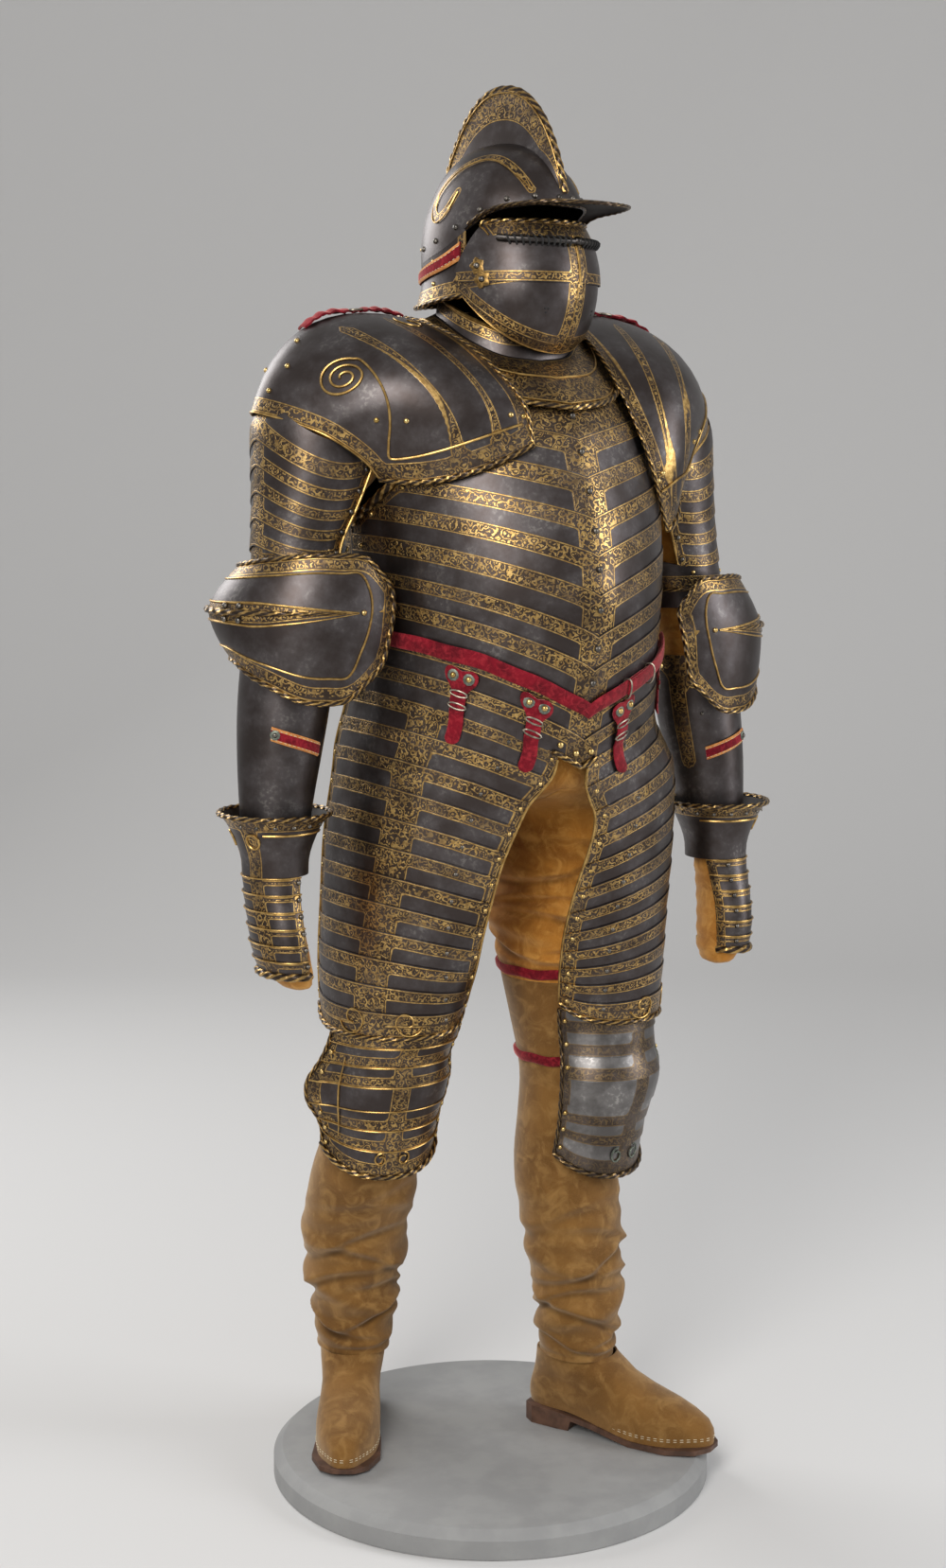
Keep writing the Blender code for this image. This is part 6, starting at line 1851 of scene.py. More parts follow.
SLEEVE_CREASES = table(
    "z depth facing lean width",
    (0.930, 0.0030, 40.0, 0.010, 0.0080),
    (1.010, 0.0030, 120.0, -0.014, 0.0090),
    (1.090, 0.0034, 80.0, 0.014, 0.0080),
    (1.126, 0.0036, 130.0, -0.012, 0.0070),
    (1.158, 0.0036, 60.0, 0.016, 0.0070),
    (1.196, 0.0036, 150.0, -0.016, 0.0080),
    (1.240, 0.0034, 90.0, 0.018, 0.0085),
    (1.300, 0.0034, 110.0, -0.018, 0.0090),
    (1.350, 0.0030, 70.0, 0.016, 0.0090),
)


def build_sleeve(side):
    """The sleeve runs from the armhole down inside the plates. Its creases only sink in, clear of the steel."""
    heights = SLEEVE[side]["z"]
    grid, creases = [], []
    for z in np.linspace(heights[-1], heights[0], 100):
        crease = crumple(SLEEVE_CREASES, ROUND, np.full(ROUND.shape, z))
        grid.append(arm(side, ROUND, z, -crease, SLEEVE))
        # Depths for the painted shade in the sleeve's creases.
        creases.append(crease)
    grid = np.array(grid)
    piece = Piece(f"sleeve_suede_{side}")
    piece.wall(grid, grid.mean(axis=(0, 1)), "suede", thick=SUEDE, wrap=True, lining="suede")
    piece.shade(np.array(creases))
    sleeve = piece.build([f"sleeve_{side}"], sharp=80.0)


def build_glove(side):
    """The glove inside the gauntlet: wrinkled across the palm and closed at the fingertips."""
    drops = np.concatenate([np.linspace(-0.075, 0.135, 64), [0.140, 0.144, 0.147, 0.1489]])
    grid, creases = [], []
    for drop in drops:
        wrinkle = 0.0013 * (0.5 + 0.5 * math.sin(drop * 290.0)) * np.clip(sine(ROUND + 200.0) + 0.3, 0.0, 1.0)
        grid.append(hand(side, ROUND, drop, -wrinkle, GLOVE))
        # The wrinkles' depths, scaled up, set the painted shade in the glove's creases.
        creases.append(wrinkle * 1.6)
    end = grid[-1].mean(axis=0)
    grid.append(end + (grid[-1] - end) * 0.04 - UP * 0.0001)
    creases.append(creases[-1])
    grid = np.array(grid)
    piece = Piece(f"glove_suede_{side}")
    piece.wall(grid, grid.mean(axis=(0, 1)), "suede", thick=SUEDE * 0.4, wrap=True, lining="suede")
    piece.shade(np.array(creases))
    glove = piece.build([f"glove_{side}"], sharp=80.0)


# The gorget

GORGET_ANGLES = np.linspace(0.0, 360.0, 97)[:-1]


def gorget_point(angle, share, off=0.0):
    """Points on the gorget's plate: share runs from the collar's foot (0) to the outer edge (1)."""
    half = folded(angle)
    rings = []
    for part in ("in", "mid", "out"):
        rings.append((along(GORGET, f"{part}_radius", half), along(GORGET, f"{part}_z", half)))
    first, second = np.clip(share * 2, 0.0, 1.0), np.clip(share * 2 - 1, 0.0, 1.0)
    radius = rings[0][0] + (rings[1][0] - rings[0][0]) * first + (rings[2][0] - rings[1][0]) * second
    z = rings[0][1] + (rings[1][1] - rings[0][1]) * first + (rings[2][1] - rings[1][1]) * second
    return gorget_ring(radius + off * 0.5, z, angle, off * 0.87)


def build_gorget():
    shares = (0.0, 0.04, 0.2, 0.4, 0.5, 0.6, 0.8, 0.93, 1.0)
    grid = np.array([gorget_point(GORGET_ANGLES, share) for share in shares])
    inside = np.array([TORSO_X, NECK_Y, 1.40])
    piece = Piece("gorget_plate_gilt")
    piece.wall(grid, inside, depth=banded(grid, ("top", DEEP_INSET, 0.2)), thick=GORGET_STEEL, wrap=True)
    round_edge = gorget_point(GORGET_ANGLES[::2], 0.985, 0.0012)
    piece.rope(round_edge, TURNED_EDGE, closed=True)
    piece.tube(gorget_point(GORGET_ANGLES[::2], 0.46, 0.0008), 0.0015, "gold", closed=True)
    piece.tube(gorget_point(GORGET_ANGLES[::2], 0.90, 0.0008), 0.0012, "gold", closed=True)
    piece.build(["gorget_plate"])

    half = folded(GORGET_ANGLES)
    rise = along(COLLAR_HEIGHT, "rise", half)
    rows = []
    for share in (0.0, 0.1, 0.4, 0.62, 0.78, 0.9, 1.0):
        radius = along(GORGET, "in_radius", half) - 0.0010 - 0.0048 * share
        rows.append(gorget_ring(radius, along(GORGET, "in_z", half) + SEAM + rise * share, GORGET_ANGLES))
    grid = np.array(rows)
    piece = Piece("gorget_collar_gilt")
    inside = np.array([TORSO_X, NECK_Y, 1.51])
    piece.wall(grid, inside, depth=banded(grid, ("bottom", INSET, 0.017)), thick=0.0013, wrap=True)
    piece.tube(grid[-1][::2] + UP * 0.0004, 0.0026, "gold", closed=True)
    piece.build(["gorget_collar"])


# The helmet's skull, its comb and its bands


def skull_path(places, off=0.0006):
    """A smooth line on the skull through (angle, share) places."""
    places = np.asarray(places, float)
    rows = {"step": np.arange(len(places)), "angle": places[:, 0], "share": places[:, 1]}
    steps = np.linspace(0, len(places) - 1, 6 * len(places))
    return skull(along(rows, "angle", steps), np.clip(along(rows, "share", steps), 0.0, 0.999), off)


HOOK = np.array([
    (328.0, 0.14), (321.0, 0.28), (312.0, 0.41), (300.0, 0.51), (284.0, 0.57), (266.0, 0.56), (252.0, 0.48),
    (244.0, 0.37), (245.0, 0.27), (252.0, 0.21), (261.0, 0.24), (268.0, 0.33),
])
HOOK_HALF = 0.0062
COMB_FIELD = 0.040
SKULL_RIVETS = (
    ((352.0, 330.0, 309.0, 290.0, 272.0, 253.0, 234.0, 8.0, 30.0, 51.0, 70.0, 88.0, 107.0, 126.0),
     0.075, 0.0040, "iron", 0.75),
    ((200.0, 212.0, 160.0, 148.0), 0.10, SMALL_RIVET, "brass", 0.7),
)
COMB_PLACES = np.concatenate([
    np.linspace(-0.117, -0.10, 6), np.linspace(-0.094, 0.090, 44), np.linspace(0.094, 0.106, 6)
])


def ribbon_field(grid, line):
    """How far every point of a grid lies from a line of points."""
    flat = grid.reshape(-1, 1, 3)
    reach = np.full(len(flat), 9.0)
    for start in range(0, len(line), 24):
        reach = np.minimum(reach, np.linalg.norm(flat - line[None, start:start + 24], axis=-1).min(axis=1))
    return reach.reshape(grid.shape[:2])


def build_skull():
    """The skull with its gilt hooks, and the comb's two sides under their roped crest."""
    angles = np.linspace(0.0, 360.0, 181)[:-1]
    shares = np.concatenate([[0.0, 0.02, 0.05], np.linspace(0.09, 0.97, 34), [0.999]])
    angle, share = np.meshgrid(angles, shares)
    grid = skull(angle, share)
    piece = Piece("helmet_skull_gilt")
    depth = np.full(grid.shape[:2], BARE)
    inside = np.array([*HEAD[:2], 1.62])
    hooks = (HOOK, np.stack([360.0 - HOOK[::-1, 0], HOOK[::-1, 1]], axis=-1))
    for line in hooks:
        reach = ribbon_field(grid, skull_path(line, 0.0))
        depth = np.maximum(depth, HOOK_HALF - reach)
    piece.wall(grid, inside, depth=depth, thick=HELMET_STEEL, wrap=True)
    for line in hooks:
        bend = skull_path(line, 0.0)
        ahead = np.gradient(bend, axis=0)
        away = bend - inside
        side = np.cross(ahead, away)
        side /= np.linalg.norm(side, axis=1, keepdims=True)
        away /= np.linalg.norm(away, axis=1, keepdims=True)
        steps = np.arange(len(bend))
        narrow = np.minimum(1.0, np.minimum(steps, steps[::-1]) / 9.0)[:, None]
        for sign in (-1, 1):
            piece.tube(bend + sign * side * HOOK_HALF * narrow + away * 0.0002, 0.0009, "gold", sides=6)
    for angles, share, radius, kind, height in SKULL_RIVETS:
        for angle in angles:
            spot = skull(np.array(angle), share, 0.0)
            piece.stud(spot, spot - np.array([*HEAD[:2], spot[2] - 0.01]), radius, kind, height)
    brim = [skull(np.array(a), 0.012, 0.0008) for a in np.linspace(-80.0, 80.0, 30)]
    piece.tube(brim, 0.0020, "dull_rope", groove=0.0044)
    holder = [skull(np.array(180.0), s, 0.0040) for s in (0.02, 0.10, 0.20, 0.26)]
    piece.tube(holder, 0.0060, "gold", flat=0.6, ends=0.6)

    places = COMB_PLACES
    foot, crest = comb_line(places, 0.0), comb_line(places, 1.0)
    crest = np.maximum(crest, foot + 0.0012)
    for sign in (-1, 1):
        rows = []
        for share in (0.0, 0.04, 0.2, 0.4, 0.55, 0.7, 0.85, 0.95, 1.0):
            wide = COMB_HALF_CREST + (COMB_HALF_FOOT - COMB_HALF_CREST) * (1 - share) ** 1.6
            rows.append(head(places, sign * wide, foot - 0.001 + (crest - foot) * share))
        grid = np.array(rows)
        down, _ = lengths(grid)
        from_crest = down[-1:] - down
        crescent = COMB_FIELD * np.clip(np.minimum(places + 0.119, 0.112 - places) / 0.045, 0.25, 1.0)
        middle = head(0.0, 0.0, np.array(1.70))
        piece.wall(grid, middle, depth=crescent[None, :] - from_crest, thick=0.0010)
        line = head(places[4:-4], sign * (COMB_HALF_CREST + 0.0009), crest[4:-4] - 0.0062)
        piece.tube(line, 0.0009, "gold", sides=6)
    piece.tube(head(places, 0.0, crest - 0.0008), 0.0040, "rope", groove=0.0056, ref=LEFTWARD)
    piece.build(["helmet_skull"])


def build_peak():
    angle = np.linspace(-80.0, 80.0, 41)
    ahead = cosine(angle)[:, None] * FORWARD + sine(angle)[:, None] * LEFTWARD
    rows = []
    for share in (0.0, 0.2, 0.4, 0.6, 0.8, 0.93, 1.0):
        reach = along(PEAK, "reach", angle) * share
        row = skull(angle, 0.0, SEAM) + ahead * reach[:, None]
        row[:, 2] += PEAK_LIFT + PEAK_STEEL + reach * (PEAK_ARCH * math.sin(share * math.pi) - PEAK_DROP)
        rows.append(row)
    grid = np.array(rows)
    piece = Piece("helmet_peak_gilt")
    below = grid.mean(axis=(0, 1)) - UP * 0.05
    piece.wall(grid, below, depth=banded(grid, ("bottom", INSET, 0.013)), thick=PEAK_STEEL)
    piece.tube(grid[-1][1:-1] - UP * 0.0008, 0.0022, "dull_rope", groove=0.0046)
    piece.build(["helmet_peak"])


def build_neck_guard():
    angles = np.linspace(80.0, 280.0, 61)
    shares = (0.0, 0.04, 0.12, 0.27, 0.42, 0.6, 0.75, 0.88, 0.96, 1.0)
    grid = np.array([guard(angles, share) for share in shares])
    piece = Piece("helmet_neck_guard_gilt")
    inside = np.array([HEAD[0], HEAD[1], 1.58])
    depth = banded(grid, ("bottom", DEEP_INSET, 0.020), ("first", INSET, 0.014), ("last", INSET, 0.014))
    piece.wall(grid, inside, depth=depth, thick=HELMET_STEEL)
    piece.rope(grid[-1][::2], SLIM_EDGE)
    for column in (0, -1):
        piece.tube(grid[:, column], 0.0008, "gold")
    for place in (-10, 9):
        for row in (2, 5):
            spot = grid[row, place]
            piece.stud(spot, spot - np.array([HEAD[0], HEAD[1], spot[2]]), 0.0032, "brass", 0.7)
    piece.build(["helmet_neck_guard"])
    strap = Piece("nape_strap_velvet")
    low, high = (guard(angles[1:-1], share, STRAP_LIFT + STRAP) for share in (0.42, 0.12))
    ribbon(strap, low, high, inside, edging="edging")
    made = strap.build(["nape_strap"])
    stitches = Piece("nape_strap_stitching")
    for share in (0.355, 0.185):
        line = guard(np.linspace(82.0, 278.0, 121), share, STRAP_LIFT + STRAP + 0.0009)
        for start in range(0, 120, 2):
            stitches.tube(line[start:start + 2], 0.00035, "thread", sides=5)
    stitches.build(())


# The falling face plates

BUFFE_NAMES = {1: "buffe_upper", 2: "buffe_middle", 3: "buffe_lower"}
BUFFE_BODIES = {1: "face_plate_upper", 2: "face_plate_middle", 3: "root"}
CHEEK_LATERALS = np.linspace(58.0, 90.0, 12)
LATERALS = np.concatenate([-CHEEK_LATERALS[::-1], np.linspace(-55.0, 55.0, 45), CHEEK_LATERALS])
KEEL_BAND = 0.0150
PIVOTS = ((0.62, 76.0, 0.0100), (0.95, 74.0, 0.0105))
BAR = 0.36  # the sight bar's place down the upper plate
SLIT = 0.0074  # how far a slit stands out at the bar


def buffe_top(number, laterals):
    """The height angle of a plate's upper edge."""
    row = number - 1
    if number > 1:
        return np.full(np.shape(laterals), BUFFE["first"][row])
    distance = CHEEK + (BUFFE["reach"][row] - CHEEK) * np.abs(cosine(laterals)) ** 0.86
    return np.degrees(np.arcsin(np.clip(SIGHT_HEIGHT / distance, -1.0, 0.86)))


def on_buffe(number, share, lateral, off=0.0):
    """Points on a face plate: share runs from its upper edge (0) to its lower (1)."""
    row = number - 1
    top = buffe_top(number, lateral)
    turn = top + (BUFFE["last"][row] - top) * share
    return buffe(turn, lateral, BUFFE["reach"][row] + off, BUFFE["half_width"][row] + off)


def build_buffe():
    """The three face plates, with the sight bar and its slits on the upper one; the slits are dark tubes of
    painted shade.
    """
    inside = head(0.0, 0.0, np.array(CHEEK_AXIS))
    for number, name in BUFFE_NAMES.items():
        shares = np.concatenate([[0.0, 0.03, 0.07], np.linspace(0.12, 0.9, 15), [0.95, 1.0]])
        grid = np.array([on_buffe(number, share, LATERALS) for share in shares])
        down, across = lengths(grid)
        middle = across[:, len(LATERALS) // 2][:, None]
        keel = KEEL_BAND - np.abs(across - middle)
        piece = Piece(f"{name}_gilt")
        low_band = banded(grid, ("bottom", 0.0008, 0.0135))
        if number == 1:
            bands = banded(grid, ("top", INSET, 0.0265))
            bands = np.minimum(bands, (58.0 - np.abs(LATERALS))[None, :] * 0.0016)
            keel = np.minimum(keel, down - 0.026)
        else:
            bands = banded(grid, ("top", INSET, 0.012))
        depth = np.maximum(np.maximum(bands, keel), low_band)
        if number == 3:
            depth = np.maximum(depth, banded(grid, ("bottom", 0.001, 0.014)))
        piece.wall(grid, inside, depth=depth, thick=BUFFE_STEEL)
        first, off, radius = (0.24, 0.0006, 0.0016) if number == 1 else (0.01, 0.0, 0.0007)
        front = [on_buffe(number, s, np.array(0.0), off) for s in np.linspace(first, 0.99, 9)]
        piece.tube(front, radius, "gold")
        if number == 1:
            top = [on_buffe(1, 0.0, np.array(a), 0.0004) for a in np.linspace(-60.0, 60.0, 41)]
            piece.rope(top, 0.0030)
            bar = [on_buffe(1, BAR, np.array(a), 0.0031) for a in np.linspace(-56.0, 56.0, 41)]
            piece.tube(bar, 0.0044, "bar", sides=10)
            for sign in (-1, 1):
                for step in range(11):
                    a = sign * (7.0 + 4.3 * step)
                    slit = []
                    for s in (0.285, 0.325, BAR, 0.395, 0.435):
                        bow = 0.0064 * (abs(s - BAR) / 0.075) ** 2
                        slit.append(on_buffe(1, s, np.array(a), SLIT - bow))
                    # Each slit is a tube in the deep-shadow paint: painted shade for the opening.
                    piece.tube(slit, 0.0015, "dark", sides=6)
            knob = on_buffe(1, BAR, np.array(0.0), 0.0045)
            piece.stud(knob, FORWARD, 0.0060, "bar", 1.0)
            for sign in (-1, 1):
                end = [on_buffe(1, s, np.array(sign * 60.0), 0.0006) for s in (0.0, 0.12, 0.24)]
                piece.tube(end, 0.0014, "gold")
        else:
            top = [on_buffe(number, 0.0, np.array(a), -0.0004) for a in np.linspace(-86.0, 86.0, 51)]
            piece.tube(top, 0.0007, "gold", sides=6)
        if number == 2:
            # Three flat dots a side in the deep-shadow paint: painted shade on the middle plate.
            for sign in (-1, 1):
                for place in ((0.0, 0.0), (2.4, 0.0), (1.2, 0.055)):
                    spot = on_buffe(2, 0.52 + place[1], np.array(sign * (24.0 + place[0])), 0.0)
                    piece.stud(spot, spot - inside, 0.0016, "dark", 0.2)
        if number == 3:
            low = [on_buffe(3, 0.985, np.array(a), -0.0003) for a in np.linspace(-86.0, 86.0, 51)]
            piece.tube(low, 0.0008, "gold")
        for sign in (-1, 1) if number == 1 else ():
            for share, lateral, size in PIVOTS:
                spot = on_buffe(number, share, np.array(sign * lateral), 0.0)
                away = spot - on_buffe(number, share, np.array(sign * lateral), -0.01)
                piece.stud(spot, away, size, "rope_lobe", 0.14, scallop=5)
                piece.stud(spot + away * 0.08, away, size * 0.42, "iron", 0.85)
        piece.build([name], body=BUFFE_BODIES[number])


# The breeches, boots, knees and garters


def smooth_share(share):
    """A share from 0 to 1 that starts and ends gently."""
    share = np.clip(share, 0.0, 1.0)
    return share * share * (3 - 2 * share)


EXTRA_FOLDS = table(
    "z depth facing lean width",
    (0.678, 0.0080, 40.0, 0.010, 0.0075),
    (0.700, 0.0095, -80.0, -0.016, 0.0080),
    (0.722, 0.0085, 30.0, 0.022, 0.0070),
    (0.744, 0.0100, -10.0, -0.018, 0.0085),
    (0.764, 0.0080, -100.0, 0.016, 0.0070),
    (0.788, 0.0090, 60.0, -0.024, 0.0085),
    (0.812, 0.0070, -40.0, 0.020, 0.0080),
    (0.842, 0.0050, 20.0, -0.022, 0.0090),
)
SHAFT_CREASES = table(
    "z depth facing lean width",
    (0.134, 0.0060, -40.0, -0.014, 0.0060),
    (0.152, 0.0085, 60.0, 0.020, 0.0070),
    (0.176, 0.0095, -10.0, -0.026, 0.0080),
    (0.198, 0.0090, -90.0, 0.024, 0.0075),
    (0.222, 0.0095, 80.0, -0.028, 0.0085),
    (0.250, 0.0080, -20.0, 0.030, 0.0085),
    (0.284, 0.0070, 50.0, -0.030, 0.0095),
    (0.322, 0.0050, -60.0, 0.028, 0.0110),
    (0.362, 0.0030, 20.0, -0.026, 0.0120),
)


def creased(folds, angle, z):
    """Sharp leaning folds, each a steep lip over a soft hollow, that fade on the side away from them."""
    total = np.zeros(np.broadcast(angle, z).shape)
    for i in range(len(folds["z"])):
        turned = angle - folds["facing"][i]
        wander = 0.0035 * sine(3.0 * angle + 70.0 * i)
        distance = (z - folds["z"][i] - folds["lean"][i] * sine(turned) - wander) / folds["width"][i]
        lip = np.exp(-np.abs(distance) ** 1.25)
        hollow = np.exp(-((distance + 1.3) ** 2) / 0.8)
        share = np.clip(0.52 + 0.60 * cosine(turned), 0.0, 1.0)
        total = total + folds["depth"][i] * share * (0.62 * lip - 0.60 * hollow)
    return total


FOLDS_START = 0.90
BREECHES_LEVELS = np.concatenate([
    np.linspace(BREECHES_TOP, FOLDS_START, 10)[:-1], np.linspace(FOLDS_START, BREECHES_HEM, 120)
])


def build_breeches():
    round_share = np.linspace(0.0, 1.0, 121)
    for side, sign in SIDES.items():
        rows, creases = [], []
        for z in BREECHES_LEVELS:
            high = max(z, TRUNK["z"][0])
            half_width, front, back = (along(TRUNK, name, high) for name in ("half_width", "front", "back"))
            trunk_turn = round_share * 180.0
            depth = np.where(trunk_turn < 90.0, front, back)
            trunk = points(sign * half_width * sine(trunk_turn), -depth * cosine(trunk_turn), z)
            leg_turn = -90.0 + round_share * 360.0
            blend = smooth_share((CROTCH_TOP - z) / (CROTCH_TOP - CROTCH_LOW))
            soft = smooth_share((z - 0.672) / 0.02) * blend
            fade = np.clip((FOLDS_START - z) / 0.03, 0.0, 1.0)
            bulge = crumple(BREECHES_FOLDS, leg_turn, np.full(leg_turn.shape, z)) * soft
            fine = creased(EXTRA_FOLDS, leg_turn, np.full(leg_turn.shape, z)) * soft * fade
            low = min(z, LEG[side]["z"][-1])
            round_leg = leg(side, leg_turn, np.full(leg_turn.shape, low), bulge + fine)
            round_leg[..., 2] = z
            row = trunk * (1 - blend) + round_leg * blend
            row[..., 0] = sign * np.maximum(row[..., 0] * sign, SEAM / 2)
            rows.append(row)
            # Depths for the painted shade in the breeches' creases.
            creases.append(-fine - 0.3 * bulge + 0.0008)
        grid = np.array(rows)
        piece = Piece(f"breeches_suede_{side}")
        inside = np.array([sign * 0.10, 0.0, 0.80])
        piece.wall(grid[:, :-1], inside, "suede", thick=SUEDE, wrap=True, lining="suede")
        piece.shade(np.array(creases)[:, :-1])
        made = piece.build([f"breeches_{side}"], sharp=80.0)


def build_boot(side):
    """The slouched shaft, the foot and the stitching above the sole."""
    angles = np.linspace(0.0, 360.0, 121)[:-1]
    levels = np.concatenate([
        [BOOT_TOP, BOOT_TOP - 0.003], np.linspace(BOOT_TOP - 0.012, 0.38, 16),
        np.linspace(0.374, ANKLE, 96), [ANKLE - 0.003],
    ])
    rows, creases = [], []
    for z in levels:
        flat = np.full(angles.shape, z)
        swell = float(np.clip((z - ANKLE) / 0.012, 0.0, 1.0))
        fade = float(np.clip((0.42 - z) / 0.04, 0.0, 1.0))
        fine = creased(SHAFT_CREASES, angles, flat) * swell * fade
        lap = 0.0016 * (z < ANKLE + 0.002)
        rows.append(leg(side, angles, flat, crumple(BOOT_FOLDS, angles, flat) * swell + fine + lap))
        # Depths for the painted shade in the boot's creases.
        creases.append(-fine)
    grid = np.array(rows)
    centre = leg(side, angles, np.full(angles.shape, 0.25), 0.0).mean(axis=0)
    piece = Piece(f"boot_shaft_suede_{side}")
    piece.wall(grid, centre, "boot", thick=SUEDE, wrap=True, lining="boot")
    piece.shade(np.array(creases))
    shaft = piece.build([f"boot_shaft_{side}"], sharp=80.0)

    rises = np.array([0.0, 0.02, 0.06, 0.12, 0.2, 0.3, 0.4, 0.5, 0.62, 0.74, 0.86, 0.95, 1.0])
    rows = []
    for rise in rises[::-1]:
        ring = foot_ring(side, rise)
        wrinkle = 0.0011 * math.sin(rise * 38.0) * np.clip(cosine(FOOT_ANGLES) + 0.2, 0.0, 1.0) * (rise > 0.3)
        away = ring - ring.mean(axis=0)
        away[:, 2] = 0.0
        away /= np.maximum(np.linalg.norm(away, axis=1, keepdims=True), 1e-6)
        rows.append(ring + away * wrinkle[:, None])
    grid = np.array(rows)
    piece = Piece(f"boot_foot_suede_{side}")
    piece.wall(grid, grid.mean(axis=(0, 1)), "boot", thick=SUEDE, wrap=True, lining="boot")
    foot = piece.build([f"boot_foot_{side}"], sharp=80.0)

    stitches = Piece(f"boot_stitching_{side}")
    for height in (0.0085, 0.0115):
        ring = foot_ring(side, 0.0, 0.0007) + UP * height
        path = smooth_path(ring, 0.0046, closed=True)
        for start in range(0, len(path) - 1, 2):
            first, last = path[start], path[start + 1]
            stitches.tube([first, (first + last) / 2, last], 0.00045, "thread", sides=5)
    stitches.build(())


GARTER_LIFT = 0.0006  # how far a garter lies off the suede


def build_garters(side):
    for place, (top, low) in GARTERS.items():
        angles = np.linspace(0.0, 360.0, 91)
        ripple = 0.0010 * sine(9.0 * angles + 40.0)
        lines = []
        for z in (low, top):
            flat = np.full(angles.shape, z) + ripple
            lines.append(leg(side, angles, flat, GARTER_LIFT + STRAP))
        piece = Piece(f"garter_velvet_{place}_{side}")
        inside = np.array([*lines[0].mean(axis=0)[:2], (top + low) / 2])
        ribbon(piece, lines[0], lines[1], inside, crown=0.0014)
        made = piece.build([f"garter_{place}_{side}"])


# Knees

POLEYN_ANGLES = np.linspace(-62.0, 92.0, 71)
POLEYN_MIDDLE = 12.0
KNEE_RADIUS = 0.085
FAN = 3  # the number of the knee's middle lame, the one with the wing


def poleyn_line(side, number, angle):
    """The height of a lame's edge on the knee."""
    columns = (angle - POLEYN_MIDDLE) / 80.0
    heights = np.array(POLEYN_EDGES[side])
    last = len(heights) - 1
    line = np.interp(number, np.arange(len(heights)), heights)
    return line + 0.040 * np.abs(columns) ** 2.2 * (number / last) ** 4


def poleyn_point(side, number, angle, off=0.0):
    """Points on the knee: number runs from the top edge (0) to the lowest (7)."""
    angle = np.asarray(angle, float)
    reach = np.interp(number, np.arange(len(POLEYN_PROUD)), POLEYN_PROUD)
    wing = WING * smooth_share((angle - 70.0) / 22.0) * math.exp(-((float(number) - 3.5) / 1.6) ** 2)
    z = poleyn_line(side, number, angle)
    return leg(side, angle, z, reach + wing + off, POLEYN)


def build_poleyn(side):
    kind = "worn" if side == "left" else "russet"
    piece = Piece(f"poleyn_gilt_{side}")
    centre = float(along(POLEYN[side], "out", 0.5))
    inside = np.array([SIDES[side] * centre, float(along(POLEYN[side], "y", 0.5)), 0.5])
    for number in range(7):
        rows = []
        for share in (0.0, 0.05, 0.28, 0.5, 0.72, 0.92, 1.0):
            lift = (TUCKED - PROUD) * (1 - share) if number != FAN else 0.0
            rows.append(poleyn_point(side, number + share, POLEYN_ANGLES, lift))
        grid = np.array(rows)
        down, across = lengths(grid)
        height = down[-1:]
        if number == FAN:
            bands = banded(grid, ("last", INSET, 0.024), ("first", INSET, 0.014))
        else:
            bands = banded(grid, ("last", INSET, 0.018), ("first", INSET, 0.010))
            bands = np.maximum(bands, np.minimum(height - down - 0.0008, down - 0.45 * height))
        if number == 6:
            bands = np.maximum(bands, banded(grid, ("bottom", INSET, 0.020)))
        middle = across[:, 34:35]
        bands = np.maximum(bands, 0.0125 - np.abs(across - middle))
        piece.wall(grid, inside, kind, depth=bands)
        if number != FAN:
            for angle in (-57.0, 84.0):
                spot = poleyn_point(side, number + 0.5, np.array([angle]), 0.0004)[0]
                piece.stud(spot, spot - np.array([inside[0], inside[1], spot[2]]), RIVET, "brass", 0.7)
        if number and side == "right":
            line = poleyn_point(side, float(number), POLEYN_ANGLES[::3], 0.0008)
            piece.tube(line, FINE_LINE, "gold", sides=6)
    rope = "rope" if side == "right" else "dull_rope"
    low = poleyn_point(side, 6.98, POLEYN_ANGLES[::2], 0.0010)
    piece.tube(low, 0.0036, rope, groove=0.0054)
    top = poleyn_point(side, 0.02, POLEYN_ANGLES[::2], 0.0006)
    piece.tube(top, 0.0022, rope, groove=0.0046)
    for angle in (-62.0, 92.0):
        wing = [poleyn_point(side, n, np.array([angle]), 0.0004)[0] for n in np.linspace(0.0, 7.0, 30)]
        piece.tube(wing, 0.0024, rope, groove=0.0048)
    line = [poleyn_point(side, n, np.array([68.0]), 0.0010)[0] for n in np.linspace(1.6, 5.6, 18)]
    line_kind = "gold" if side == "right" else "washer"
    piece.tube(line, 0.0013, line_kind, ends=0.5)
    for sign in (-1, 1):
        curl = []
        scale = (sign * math.radians(KNEE_RADIUS), -0.036)
        centre = (POLEYN_MIDDLE + sign * 11.0, 6.30)
        for angle, number in spiral(centre, 0.0095, 0.55, 90.0, -400.0, 16, scale):
            curl.append(poleyn_point(side, number, np.array([angle]), 0.0008)[0])
        piece.tube(curl, 0.0013, line_kind)
    piece.build([f"poleyn_{side}"])


